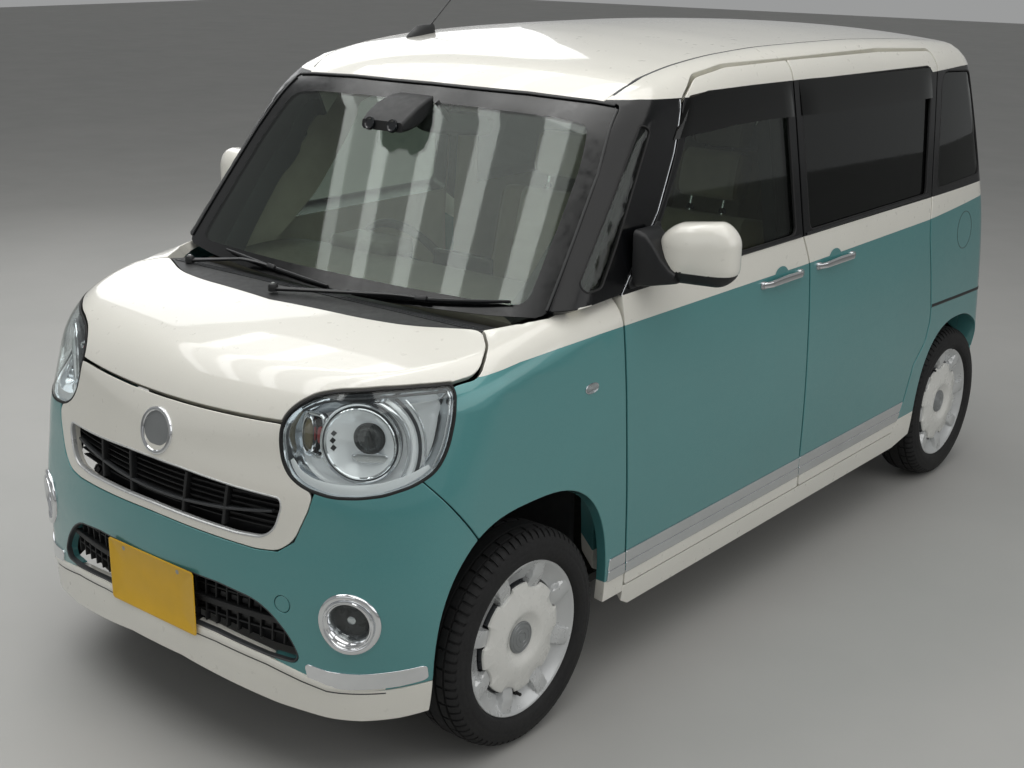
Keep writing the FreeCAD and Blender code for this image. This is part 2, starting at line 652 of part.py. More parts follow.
# the outer corners under the skin stay clear of lamps and fenders while it opens
for sgn in (1, -1):
    hood = hood.cut(Part.makeBox(120, 140, 120, Vector(630 if sgn > 0 else -750, -1400, 835)))
    hood = hood.cut(Part.makeBox(60, 70, 120, Vector(660 if sgn > 0 else -720, -1355, 848)))
hood = biggest(hood)
shape_node("hood", hood)
print("roof, screen, hood done", hood.isValid())

# ------------------------------------------------- fenders, nose panel, bumper
fen = slab(LEFT_G, 0.0, sz("fender_thick"))
fen = fen.common(prism(grow(FENDER, -0.0), "side", XA, XB)).cut(arch_front)
fen = fen.cut(prism(grow(HOOD_TOP, 4), "top", 700, 1300)).cut(HEAD_TOOL)
# nothing of it reaches in over the cowl or under the glass
fen = fen.cut(prism([(0, -1300), (588, -1150), (600, -1130), (650, -1040), (664, -1000), (668, -780), (0, -780)], "top", 960, 1300))
fen = fen.cut(prism(grow(SCREEN, 3), "front", -1400, -300))
fen = biggest(fen)
shape_node("front_fenders", Part.makeCompound([fen, mirror(fen)]))
print("fender", fen.isValid())

panel = slab(NOSE_G, 0.0, 22.0).common(prism(PANEL, "front", -1900, -1450))
panel = panel.cut(HEAD_TOOL).cut(HEAD_TOOL2).cut(prism(SMILE, "front", -1900, -1300))
panel = biggest(panel)
shape_node("grille_panel", panel)

bump = slab(NOSE_G, 0.0, sz("bumper_thick"))
keep = Part.makeBox(1600, 900, 700, Vector(-800, -1900, 196))
bump = bump.common(keep)
for sgn in (1, -1):
    t = prism(BUMPER_CUT, "side", 0, 900)
    bump = bump.cut(t if sgn > 0 else mirror(t))
bump = bump.cut(arch_front).cut(arch_front2).cut(HEAD_TOOL).cut(HEAD_TOOL2)
bump = bump.cut(prism(both([(0, 1000), (392, 1000), (402, 778), (442, 751)] + [(p[0], p[1]) for p in grow(PANEL, 2.0)[6:13]] + [(0, 590)]), "front", -1900, -1300))
bump = bump.cut(prism(LOWGRILLE, "front", -1900, -1300)).cut(prism(grow(LIP, 1.0), "front", -1900, -1100))
fog_at = Vector(579, -1594, 448)
fog_dir = Vector(0.42, -0.905, -0.06).normalize()
fog_hole = Part.makeCylinder(60, 160, fog_at - fog_dir * 100, fog_dir)
bump = bump.cut(fog_hole).cut(mirror(fog_hole)).cut(Part.makeCylinder(21, 200, Vector(415, -1750, 464), Vector(0, 1, 0)))
bump = biggest(bump)
shape_node("front_bumper", bump)
lip = slab(NOSE_G, 0.0, sz("bumper_thick")).common(prism(LIP, "front", -1900, -1100)).cut(arch_front).cut(arch_front2)
for sgn in (1, -1):
    t = Part.makeBox(900, 900, 400, Vector(0 if sgn > 0 else -900, AXF - 200, 100))
    lip = lip.cut(t)
shape_node("front_lip", biggest(lip))
print("bumper", bump.isValid())

grid_back = slab(NOSE_G, 30.0, 40.0)
ins1 = grid_back.common(prism(grow(SMILE, 14), "front", -1900, -1300))
ins2 = grid_back.common(prism(grow(LOWGRILLE, 14), "front", -1900, -1300))
for z in (632, 652, 672, 692):
    ins1 = ins1.cut(Part.makeBox(720, 500, 9, Vector(-360, -1800, z)))
for z in (372, 398, 424):
    ins2 = ins2.cut(Part.makeBox(680, 500, 12, Vector(-340, -1800, z)))
shape_node("grille_inserts", Part.makeCompound([biggest(ins1), biggest(ins2)]))

lamp = slab(LEFT_G, 1.0, 95.0).common(prism(HEAD, "diag", 900, 2400))
lamp = biggest(lamp)
shape_node("headlights", Part.makeCompound([lamp, mirror(lamp)]))
fog = Part.makeCylinder(58, 70, fog_at - fog_dir * 66, fog_dir)
shape_node("fog_lamps", Part.makeCompound([fog, mirror(fog)]))
print("lamps", lamp.isValid())

# ------------------------------------------------------------------- tailgate
gate = slab(GATE_G, 0.0, sz("gate_thick")).common(prism(GATE, "front", 1300, 1900))
gate = gate.cut(prism([(1449, 1400), (1449, 1560), (1461, 1800), (1200, 1800), (1200, 1400)], "side", -900, 900))
gate = gate.cut(prism(GATE_GLASS, "front", 1300, 1900))
gate = biggest(gate)
shape_node("tailgate", gate)
gg = slab(GATE_G, 8.0, 8.0 + sz("glass_thick")).common(prism(grow(GATE_GLASS, -1.0), "front", 1300, 1900))
shape_node("tailgate_glass", biggest(gg))
print("gate", gate.isValid())

rb = slab(TAIL_G, 0.0, sz("bumper_thick"))
rb = rb.common(Part.makeBox(1600, 900, 450, Vector(-800, 1200, 205)))
REAR_B = [(1575, 205), (1575, 300), (1586, 420, 60), (1653, 602, 20), (1740, 602), (1740, 205)]
rb = rb.common(prism(REAR_B, "side", -900, 900)).cut(prism(grow(GATE, 6.5), "front", 1300, 1900))
rb = rb.cut(arch_rear).cut(arch_rear2)
for sgn in (1, -1):
    rb = rb.cut(Part.makeCylinder(sz("tyre_radius") + 13, 300, Vector(500 * sgn, AXR, AXZ), Vector(sgn, 0, 0)))
rb = biggest(rb)
shape_node("rear_bumper", rb)
print("rear", rb.isValid())

# ----------------------------------------------------------------- plain parts
def tyre(name, x, y, sgn):
    body = doc.addObject("PartDesign::Body", name)
    sk = body.newObject("Sketcher::SketchObject", name + "_section")
    plane = [f for f in body.Origin.OriginFeatures if f.Role == "XY_Plane"][0]
    sk.AttachmentSupport = [(plane, "")]
    sk.MapMode = "FlatFace"
    w, r, b = sz("tyre_width") / 2, sz("tyre_radius"), sz("bead_radius")
    tr = sz("tread_half")
    half = [(w - 21.5, b), (w - 21.5, b + 18.5), (w - 10, b + 25), (w - 2, b + 36), (w, b + 50), (w - 5, b + 74),
            (tr, r - 9), (tr - 12, r - 2), (tr - 26, r)]
    pts = [(-p[0], p[1]) for p in half] + half[::-1]
    n = len(pts)
    for i in range(n):
        a, c = pts[i], pts[(i + 1) % n]
        sk.addGeometry(Part.LineSegment(Vector(a[0], a[1], 0), Vector(c[0], c[1], 0)), False)
    rev = body.newObject("PartDesign::Revolution", name + "_turn")
    rev.Profile = sk
    rev.ReferenceAxis = (sk, ["H_Axis"])
    rev.Angle = 360
    body.Tip = rev
    body.setExpression("Placement.Base.x", s(x))
    body.setExpression("Placement.Base.y", s(y))
    body.setExpression("Placement.Base.z", s("axle_z"))
    return node(name, body)


def wheel(name, x, y, out):
    """Rim, disc and domed cover in one turned solid; out is +1 or -1."""
    body = doc.addObject("PartDesign::Body", name)
    sk = body.newObject("Sketcher::SketchObject", name + "_section")
    plane = [f for f in body.Origin.OriginFeatures if f.Role == "XY_Plane"][0]
    sk.AttachmentSupport = [(plane, "")]
    sk.MapMode = "FlatFace"
    b = sz("bead_radius")
    hb = sz("hub_bore_radius")
    pts = [(8, hb), (20, hb), (20, 0), (50, 0), (60, 34), (60, 96), (52, 122), (46, 150), (52, b - 12), (61, b - 4),
           (66, b + 8), (66, b + 17.5), (59.5, b + 17.5), (57, b - 0.4), (-57, b - 0.4), (-59.5, b + 17.5), (-66, b + 17.5),
           (-66, b), (-61, b - 8), (-20, b - 16), (26, b - 24), (28, 80), (8, 62)]
    n = len(pts)
    for i in range(n):
        a, c = pts[i], pts[(i + 1) % n]
        sk.addGeometry(Part.LineSegment(Vector(a[0] * out, a[1], 0), Vector(c[0] * out, c[1], 0)), False)
    rev = body.newObject("PartDesign::Revolution", name + "_turn")
    rev.Profile = sk
    rev.ReferenceAxis = (sk, ["H_Axis"])
    rev.Angle = 360
    body.Tip = rev
    body.setExpression("Placement.Base.x", s(x))
    body.setExpression("Placement.Base.y", s(y))
    body.setExpression("Placement.Base.z", s("axle_z"))
    return node(name, body)


for tag, x, y, out in (("front_left", "track_front_half", "axle_front_y", 1), ("front_right", "-track_front_half", "axle_front_y", -1),
                       ("rear_left", "track_rear_half", "axle_rear_y", 1), ("rear_right", "-track_rear_half", "axle_rear_y", -1)):
    tyre("tyre_" + tag, x, y, out)
    wheel("wheel_" + tag, x, y, out)

# knuckle: spindle, hub carrier, ball-joint pin and steering arm
for tag, sg in (("left", 1), ("right", -1)):
    X = lambda a, b: (a, b) if sg > 0 else ("-(%s)" % b, "-(%s)" % a)
    sp = rod("spindle_radius", 118, (548 if sg > 0 else -548), "axle_front_y", "axle_z", (sg, 0, 0))
    disc = rod(72, 14, (612 if sg > 0 else -612), "axle_front_y", "axle_z", (sg, 0, 0))
    car = box(*(X("568", "606")), "axle_front_y - 45", "axle_front_y + 45", 236, 372)
    pin = rod("kingpin_radius", 60, ("kingpin_x" if sg > 0 else "-kingpin_x"), "axle_front_y", 176, (0, 0, 1))
    foot = box(*(X("575", "640")), "axle_front_y - 22", "axle_front_y + 22", 212, 240)
    arm = box(*(X("560", "580")), "axle_front_y + 40", "axle_front_y + 128", 262, 286)
    node("knuckle_" + tag, fuse([sp, disc, car, pin, foot, arm], "knuckle_" + tag))

# lower arms with their ball-joint eyes, the cross member and the struts
sus = []
cross = box(-330, 330, "axle_front_y - 70", "axle_front_y + 95", 168, 222)
pieces = [cross]
for sg in (1, -1):
    x0, x1 = (325, 606) if sg > 0 else (-606, -325)
    pieces.append(box(x0, x1, "axle_front_y - 24", "axle_front_y + 24", 180, 200))
    pieces.append(rod(22, 22, (627 * sg), "axle_front_y", 179, (0, 0, 1)))
arms = fuse(pieces)
eyes = fuse([rod("kingpin_radius + 0.6", 60, "kingpin_x", "axle_front_y", 160), rod("kingpin_radius + 0.6", 60, "-kingpin_x", "axle_front_y", 160)])
node("front_suspension", cut(arms, eyes, "front_suspension"))

beam = [rod(34, 1040, -520, 1180, 282, (1, 0, 0))]
for sg in (1, -1):
    x0, x1 = (478, 528) if sg > 0 else (-528, -478)
    beam.append(box(x0, x1, 960, "axle_rear_y + 45", 252, 306))
    beam.append(rod("spindle_radius", 130, 528 * sg, "axle_rear_y", "axle_z", (sg, 0, 0)))
    beam.append(rod(100, 30, 556 * sg, "axle_rear_y", "axle_z", (sg, 0, 0)))
    beam.append(rod(30, 30, 528 * sg, "axle_rear_y", "axle_z", (sg, 0, 0)))
node("rear_axle", fuse(beam, "rear_axle"))

# floor: front pan, heel board, raised rear floor, wheel houses, sills
fl = [box("-floor_half", "floor_half", -806, 900, "floor_low", "floor_low + floor_sheet"),
      box("-floor_half", "floor_half", 876, 900, "floor_low", "rear_floor_z + 22"),
      box("-wheel_house_x", "wheel_house_x", 876, 1555, "rear_floor_z", "rear_floor_z + 22"),
      box(-510, 510, 1500, 1600, "rear_floor_z", "rear_floor_z + 22"),
      box(-90, 90, -806, 400, "floor_low", "floor_low + 90"),
      box(-380, -330, -800, 880, 206, "floor_low + 1"), box(330, 380, -800, 880, 206, "floor_low + 1"),
      box(-520, 520, 500, 870, 262, 300)]
for sg in (1, -1):
    a = lambda u, v: (u, v) if sg > 0 else (-v, -u)
    fl.append(box(*a(536, 548), 1000, 1530, "rear_floor_z", 612))
    fl.append(box(*a(536, 584), 1000, 1500, 600, 612))
node("floor_pan", fuse(fl, "floor_pan"))

st = [box(-612, 612, -826, -808, 240, 1000)]
for sg in (1, -1):
    a = lambda u, v: (u, v) if sg > 0 else (-v, -u)
    st.append(box(*a(340, 392), -1560, -810, 385, 455))
    st.append(box(*a(386, 398), -1470, -810, 450, 700))
    st.append(box(*a(386, 560), "axle_front_y - 85", "axle_front_y + 85", 660, 700))
st += [box(-392, 392, -1585, -1560, 400, 440), box(-338, 338, -1585, -1560, 800, 830),
       box(-338, -298, -1585, -1560, 400, 830), box(298, 338, -1585, -1560, 400, 830)]
boss = rod(17, 66, 415, -1625, 464, (0, 1, 0))
st += [boss, box(386, 440, -1585, -1559, 400, 520)]
eye = rod("tow_eye_radius", "tow_eye_depth + 5", 415, -1630, 464, (0, 1, 0))
node("front_structure", cut(fuse(st), eye, "front_structure"))
node("engine_block", box(-300, 300, -1450, -1010, 262, 800, "engine_block"))

ex = [rod("muffler_radius", 420, -300, 1568, 262, (1, 0, 0)), rod("pipe_radius", 2200, 160 - 320, -640, 184, (0, 1, 0))]
ex.append(box(-181, -139, 1530, 1570, 180, 240))
node("exhaust", fuse(ex, "exhaust"))

# cowl between hood and screen
cow = Part.Face(outline([(-1277, 1030), (-1277, 1010), (-1150, 990), (-1060, 990), (-1060, 1020), (-1104, 1026), (-1150, 1034)],
                        lambda p: Vector(-640, p[0], p[1]))).extrude(Vector(1280, 0, 0))
cow = cow.cut(prism(grow(HOOD_TOP, 6), "top", 900, 1300))
# it follows the fenders' inner edges, 4 mm off
cow = cow.common(prism(both([(0, -1300), (584, -1300), (584, -1150), (596, -1128), (640, -1046), (640, -1000), (0, -1000)]), "top", 900, 1300))
shape_node("cowl_panel", biggest(cow))

# dashboard, seats, steering wheel
dash = Part.Face(outline([(-800, 1004), (-1000, 1006), (-990, 1020), (-700, 1030, 40), (-560, 990, 30), (-530, 930, 30),
                          (-570, 790, 30), (-640, 690, 20), (-800, 690)], lambda p: Vector(-590, p[0], p[1]))).extrude(Vector(1180, 0, 0))
shape_node("dashboard", dash)


def seat(cx, y0, z0, w, back_h, feet):
    """A cushion on its feet, a back that leans 14 degrees and a headrest on two posts."""
    base = box(cx - w / 2.0, cx + w / 2.0, y0, y0 + 500, z0, z0 + 150)
    peds = [box(cx - w / 2.0 + 60, cx + w / 2.0 - 60, a, b, c, z0 + 1) for a, b, c in feet]
    back = doc.addObject("Part::Box", "back")
    back.setExpression("Length", repr(float(w)))
    back.Width, back.Height = 110, back_h
    back.Placement = Placement(Vector(cx - w / 2.0, y0 + 430, z0 + 110), Rotation(Vector(1, 0, 0), -14))
    head = doc.addObject("Part::Box", "head")
    head.Length, head.Width, head.Height = 260, 90, 170
    up = back_h + 25
    q = math.radians(14)
    head.Placement = Placement(Vector(cx - 130, y0 + 440 + up * math.sin(q), z0 + 110 + up * math.cos(q)), Rotation(Vector(1, 0, 0), -14))
    posts = [rod(7, 60, cx + d, y0 + 480 + (up - 40) * math.sin(q), z0 + 110 + (up - 40) * math.cos(q), (0, math.sin(q), math.cos(q))) for d in (-60, 60)]
    return fuse([base, back, head] + peds + posts)


f1, f2 = [seat(x, -330, 450, 500, 560, [(-270, 110, 270)]) for x in (-290, 290)]
cmp1 = doc.addObject("Part::Compound", "front_seats")
cmp1.Links = [f1, f2]
node("front_seats", cmp1)
r1, r2 = [seat(x, 640, 480, 500, 540, [(700, 866, 301), (906, 1080, 431)]) for x in (-265, 265)]
cmp2 = doc.addObject("Part::Compound", "rear_seat")
cmp2.Links = [r1, r2]
node("rear_seat", cmp2)

SW = Vector(-300, -455, 925)
ca = Vector(0, math.cos(math.radians(28)), math.sin(math.radians(28)))
rot = Rotation(Vector(0, 0, 1), ca)
rim = doc.addObject("Part::Torus", "rim")
rim.setExpression("Radius1", s("steer_rim_radius"))
rim.setExpression("Radius2", s("steer_rim_tube"))
rim.Placement = Placement(SW, rot)
hub = rod(50, 40, SW.x - ca.x * 30, SW.y - ca.y * 30, SW.z - ca.z * 30, (ca.x, ca.y, ca.z))
spoke = doc.addObject("Part::Box", "spoke")
spoke.setExpression("Length", s("2 * steer_rim_radius"))
spoke.Width, spoke.Height = 34, 14
spoke.Placement = Placement(SW + rot.multVec(Vector(-178, -17, -12)), rot)
spoke2 = doc.addObject("Part::Box", "spoke2")
spoke2.setExpression("Width", s("steer_rim_radius"))
spoke2.Length, spoke2.Height = 34, 14
spoke2.Placement = Placement(SW + rot.multVec(Vector(-17, -178, -12)), rot)
node("steering_wheel", fuse([rim, hub, spoke, spoke2], "steering_wheel"))

# mirrors: a shell, its arm and the sail over the front corner of the glass
sail = biggest(slab(SIDE_G, -7.0, -0.4).common(prism([(-762, 1084, 8), (-600, 1244, 12), (-592, 1084, 8)], "side", XA, XB)))
shell = Part.makeBox(196, 72, 164, Vector(762, -706, 1098))
shell = shell.makeFillet(30, shell.Edges)
shell.rotate(Vector(762, -670, 1180), Vector(0, 0, 1), 10)
arm = Part.makeBox(80, 52, 38, Vector(717.5, -712, 1100))
mir = right_way(biggest(shell.fuse(arm).fuse(sail)))
print("mirror", mir.isValid(), len(mir.Solids))
shape_node("mirror_left", mir)
shape_node("mirror_right", mirror(mir))

# wipers: each a pivot cap on the cowl, an arm, and a blade that follows the glass
def bent_rod(r, p0, pm, p1):
    """A round rod along the arc through three points."""
    arc = Part.Arc(Vector(*p0), Vector(*pm), Vector(*p1))
    t0 = arc.tangent(arc.FirstParameter)[0]
    ring = Part.Wire([Part.Circle(Vector(*p0), t0, r).toShape()])
    return right_way(Part.Wire([arc.toShape()]).makePipeShell([ring], True, False))


def off_glass(x, z, d):
    """The point d in front of the windscreen at x and height z."""
    y = -1200.0
    while top(x, y, z) > 0:
        y += 0.5
    n = normal(top, (x, y, z))
    return (x + n[0] * d, y + n[1] * d, z + n[2] * d)


def wiper(pivot, elbow, x0, z0, xm, zm, x1, z1):
    blade = bent_rod(6.5, off_glass(x0, z0, 9), off_glass(xm, zm, 9), off_glass(x1, z1, 9))
    hook = off_glass(xm, zm, 16)
    parts = [blade, Part.makeCylinder(13, 20, Vector(pivot[0], pivot[1], pivot[2] - 6))]
    for a, b, r in ((pivot, elbow, 6), (elbow, hook, 5)):
        va, vb = Vector(*a), Vector(*b)
        parts.append(Part.makeCylinder(r, (vb - va).Length, va, vb - va))
    parts.append(Part.makeSphere(6, Vector(*elbow)))
    out = parts[0]
    for q in parts[1:]:
        out = out.fuse(q)
    out = right_way(biggest(out))
    print("wiper", out.isValid(), len(out.Solids), round(out.Volume / 1e3, 1))
    return out


WIPE_R = wiper((-492, -1146, 1042), (-330, -1098, 1062), -433, 1062, -204, 1052, 25, 1041)
WIPE_L = wiper((-66, -1216, 1044), (196, -1118, 1056), 97, 1041, 332, 1052, 566, 1076)
shape_node("wipers", Part.makeCompound([WIPE_R, WIPE_L]))

# roof antenna: a wedge-shaped foot on the roof and a rod that leans back
foot = prism([(-360, 1600), (-356, 1616, 6), (-268, 1652, 10), (-246, 1652, 8), (-237, 1630), (-237, 1600)], "side", -422, -378)
foot = foot.cut(slab(ROOF_G, 0.0, 60.0))
lean = math.radians(38)
mast = Part.makeCylinder(3.6, 186, Vector(-400, -258, 1643), Vector(0, math.cos(lean), math.sin(lean)))
ant = right_way(biggest(foot.fuse(mast)))
print("antenna", ant.isValid(), len(ant.Solids), round(ant.BoundBox.ZMax, 1))
shape_node("roof_antenna", ant)


# number plates
def plate(y0, y1, z0):
    """A blank pressed plate with its two bolt holes."""
    p = box("-plate_w / 2", "plate_w / 2", y0, y1, z0, "%s + plate_tall" % z0)
    z1 = "%s + plate_tall - 15" % z0
    h1 = rod("plate_bolt_radius", 60, "-plate_bolt_pitch / 2", y0 - 30, z1, (0, 1, 0))
    h2 = rod("plate_bolt_radius", 60, "plate_bolt_pitch / 2", y0 - 30, z1, (0, 1, 0))
    return cut(p, fuse([h1, h2]))


node("front_plate", plate(-1697.4, -1695.9, 318))
node("rear_plate", plate(1688.6, 1690.1, 612))

# ----------------------------------------------------------------- write files
doc.recompute()
bad = [o.Name for o in doc.Objects if "Invalid" in o.State or "Error" in o.State]
for name, o in NODES:
    shp = o.Shape
    if shp.isNull() or not shp.isValid():
        bad.append("shape of " + name)
if bad:
    raise SystemExit("failed objects: %s" % bad)
for name, o in NODES:
    o.Shape.exportStep(os.path.join("parts", name + ".step"))
print(len(NODES), "nodes")
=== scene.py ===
import bpy, bmesh, math, json, random
import numpy as np
from mathutils import Vector, Matrix, Euler
from mathutils.geometry import delaunay_2d_cdt
from mathutils.kdtree import KDTree
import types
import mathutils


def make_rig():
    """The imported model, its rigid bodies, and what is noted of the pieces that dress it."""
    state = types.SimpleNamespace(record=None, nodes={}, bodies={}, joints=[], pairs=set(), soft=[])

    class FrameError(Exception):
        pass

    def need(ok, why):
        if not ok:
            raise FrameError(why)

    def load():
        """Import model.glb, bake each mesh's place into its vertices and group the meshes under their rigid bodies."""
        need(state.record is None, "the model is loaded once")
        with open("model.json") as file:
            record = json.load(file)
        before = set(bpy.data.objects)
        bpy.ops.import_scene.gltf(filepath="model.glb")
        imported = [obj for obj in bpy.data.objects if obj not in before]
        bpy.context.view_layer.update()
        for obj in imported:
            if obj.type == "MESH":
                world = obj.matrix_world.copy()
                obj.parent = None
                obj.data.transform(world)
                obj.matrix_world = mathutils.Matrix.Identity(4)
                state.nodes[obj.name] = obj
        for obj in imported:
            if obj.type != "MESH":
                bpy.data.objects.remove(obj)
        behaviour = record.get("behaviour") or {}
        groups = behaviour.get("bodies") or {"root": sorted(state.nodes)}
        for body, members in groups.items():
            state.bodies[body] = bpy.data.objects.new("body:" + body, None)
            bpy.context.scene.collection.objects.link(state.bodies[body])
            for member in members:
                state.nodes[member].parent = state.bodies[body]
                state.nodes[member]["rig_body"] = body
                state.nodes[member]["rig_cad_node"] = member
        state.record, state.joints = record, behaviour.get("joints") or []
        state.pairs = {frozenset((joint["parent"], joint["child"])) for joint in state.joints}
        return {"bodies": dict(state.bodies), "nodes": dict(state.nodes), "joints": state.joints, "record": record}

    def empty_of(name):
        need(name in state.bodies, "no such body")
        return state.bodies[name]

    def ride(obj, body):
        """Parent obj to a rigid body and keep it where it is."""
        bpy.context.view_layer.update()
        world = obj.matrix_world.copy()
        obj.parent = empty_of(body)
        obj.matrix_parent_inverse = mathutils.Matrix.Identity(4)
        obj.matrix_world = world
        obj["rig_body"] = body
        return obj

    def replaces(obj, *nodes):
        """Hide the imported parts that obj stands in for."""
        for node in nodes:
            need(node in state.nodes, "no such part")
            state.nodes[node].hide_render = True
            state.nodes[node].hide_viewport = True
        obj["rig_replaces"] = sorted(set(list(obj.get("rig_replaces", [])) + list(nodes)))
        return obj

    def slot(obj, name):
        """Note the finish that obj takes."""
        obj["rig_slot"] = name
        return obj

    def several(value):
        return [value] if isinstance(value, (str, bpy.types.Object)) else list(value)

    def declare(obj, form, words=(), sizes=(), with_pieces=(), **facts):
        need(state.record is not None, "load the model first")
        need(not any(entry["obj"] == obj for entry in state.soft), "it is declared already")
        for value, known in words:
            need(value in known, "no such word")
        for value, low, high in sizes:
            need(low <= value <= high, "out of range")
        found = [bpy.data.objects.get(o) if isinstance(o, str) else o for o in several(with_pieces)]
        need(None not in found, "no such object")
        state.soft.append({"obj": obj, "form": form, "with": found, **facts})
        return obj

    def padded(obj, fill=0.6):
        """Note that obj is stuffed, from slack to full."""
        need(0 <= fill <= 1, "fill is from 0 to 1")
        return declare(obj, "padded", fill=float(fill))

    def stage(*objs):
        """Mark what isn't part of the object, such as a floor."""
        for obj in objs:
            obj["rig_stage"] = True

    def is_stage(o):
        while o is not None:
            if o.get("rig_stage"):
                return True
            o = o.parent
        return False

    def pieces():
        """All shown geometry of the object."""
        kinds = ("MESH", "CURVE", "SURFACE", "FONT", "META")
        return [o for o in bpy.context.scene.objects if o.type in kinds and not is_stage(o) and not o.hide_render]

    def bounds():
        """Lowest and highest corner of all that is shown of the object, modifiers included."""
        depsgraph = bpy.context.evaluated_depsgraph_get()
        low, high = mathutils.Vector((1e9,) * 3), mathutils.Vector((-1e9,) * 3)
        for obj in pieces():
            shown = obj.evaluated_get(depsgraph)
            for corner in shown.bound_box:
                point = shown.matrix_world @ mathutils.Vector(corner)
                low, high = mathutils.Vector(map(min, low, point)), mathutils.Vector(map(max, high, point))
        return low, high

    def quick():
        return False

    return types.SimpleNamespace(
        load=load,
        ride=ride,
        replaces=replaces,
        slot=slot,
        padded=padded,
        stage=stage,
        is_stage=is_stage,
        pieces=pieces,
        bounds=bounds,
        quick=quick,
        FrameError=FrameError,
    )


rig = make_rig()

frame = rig.load()
CAD_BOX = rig.bounds()
MM = 0.001
random.seed(7)

# ------------------------------------------------------------ body surface (mm)


class Curve:
    """Monotone cubic through (x, y) pairs, straight past its ends."""

    def __init__(self, pts):
        self.x = np.array([p[0] for p in pts], float)
        self.y = np.array([p[1] for p in pts], float)
        self.h = np.diff(self.x)
        d = np.diff(self.y) / self.h
        m = np.zeros(len(self.x))
        m[0], m[-1] = d[0], d[-1]
        for i in range(1, len(m) - 1):
            if d[i - 1] * d[i] > 0:
                w1 = 2 * self.h[i] + self.h[i - 1]
                w2 = self.h[i] + 2 * self.h[i - 1]
                m[i] = (w1 + w2) / (w1 / d[i - 1] + w2 / d[i])
        self.m = m

    def __call__(self, v):
        v = np.asarray(v, float)
        i = np.clip(np.searchsorted(self.x, v) - 1, 0, len(self.h) - 1)
        h = self.h[i]
        t = np.clip((v - self.x[i]) / h, 0, 1)
        t2, t3 = t * t, t * t * t
        r = ((2 * t3 - 3 * t2 + 1) * self.y[i] + (t3 - 2 * t2 + t) * h * self.m[i]
             + (3 * t2 - 2 * t3) * self.y[i + 1] + (t3 - t2) * h * self.m[i + 1])
        r = np.where(v < self.x[0], self.y[0] + self.m[0] * (v - self.x[0]), r)
        return np.where(v > self.x[-1], self.y[-1] + self.m[-1] * (v - self.x[-1]), r)


SIDE = Curve([(150, 700), (210, 716), (290, 727), (420, 734), (600, 737.5), (800, 736.5),
              (920, 733), (1000, 728.5), (1060, 722), (1100, 716), (1300, 691), (1505, 664),
              (1700, 634)])
NOSE = Curve([(150, -1675), (200, -1697.5), (275, -1697.5), (330, -1695), (467, -1694),
              (560, -1686), (603, -1680), (708, -1669), (784, -1652), (874, -1633),
              (960, -1610), (1100, -1570)])
TAIL = Curve([(150, 1670), (220, 1690), (300, 1697.5), (480, 1697.5), (560, 1690),
              (700, 1684), (900, 1670), (1080, 1644), (1300, 1590), (1500, 1530),
              (1640, 1480)])
HOOD = Curve([(-1760, 700), (-1700, 800), (-1660, 866), (-1633, 905), (-1600, 938),
              (-1540, 972), (-1450, 1003), (-1350, 1027), (-1250, 1046), (-1180, 1058),
              (-1000, 1086)])
ROOF = Curve([(-900, 1470), (-760, 1535), (-650, 1573), (-520, 1605), (-350, 1632),
              (-150, 1648), (100, 1655), (500, 1652), (900, 1638), (1200, 1620),
              (1450, 1597), (1650, 1570)])
NOSE_R = Curve([(150, 200), (500, 170), (700, 190), (900, 240), (1100, 260)])


def xside(y, z):
    w = SIDE(z)
    w = w - 16 * (np.maximum(-700 - y, 0) / 1000.0) ** 2
    return w - 26 * (np.maximum(y - 1000, 0) / 700.0) ** 2.2 * np.clip((z - 300) / 600.0, 0.4, 1.2)


def rmax(a, b, r):
    u, v = a + r, b + r
    both = (u > 0) & (v > 0)
    return np.where(both, np.sqrt(np.where(both, u * u + v * v, 1.0)) - r, np.maximum(a, b))


def low(P):
    x, y, z = np.abs(P[..., 0]), P[..., 1], P[..., 2]
    g = rmax(x - xside(y, z), NOSE(z) + 0.00029 * x * x - y, NOSE_R(z))
    g = rmax(g, (z - (HOOD(y) - 0.00007 * x * x)) * 0.96, 80.0)
    return rmax(g, y - (TAIL(z) - 0.00016 * x * x), 120.0)


def top(P):
    x, y, z = np.abs(P[..., 0]), P[..., 1], P[..., 2]
    yy = y - 0.00018 * x * x + 1110
    zs = 1035 + yy * 1.235 - 0.000096 * yy * yy
    g = rmax((x - xside(y, z)) * 0.985, (z - zs) * 0.64, 55.0)
    g = rmax(g, z - (ROOF(y) - 0.00011 * x * x), 75.0)
    return rmax(g, (y - (TAIL(z) - 0.00016 * x * x)) * 0.97, 110.0)


def hit(F, O, D, tmax=3600.0, step=60.0):
    """Where rays that start inside leave the body: (points, found)."""
    n = len(O)
    a = np.zeros(n)
    b = np.full(n, np.nan)
    done = F(O) >= 0
    bad = done.copy()
    t = 0.0
    while t < tmax and not done.all():
        t += step
        live = ~done
        out = np.zeros(n, bool)
        out[live] = F(O[live] + D[live] * t) >= 0
        b[out] = t
        a[out] = t - step
        done |= out
    b = np.where(np.isnan(b), a, b)
    for _ in range(26):
        m = (a + b) / 2
        inside = F(O + D * m[:, None]) < 0
        a = np.where(inside, m, a)
        b = np.where(inside, b, m)
    return O + D * ((a + b) / 2)[:, None], ~bad


def grad(F, P, h=1.0):
    g = np.stack([F(P + e) - F(P - e) for e in np.eye(3) * h], -1)
    return g / np.linalg.norm(g, axis=-1, keepdims=True)


def unit(v):
    return v / np.maximum(np.linalg.norm(v, axis=-1, keepdims=True), 1e-9)


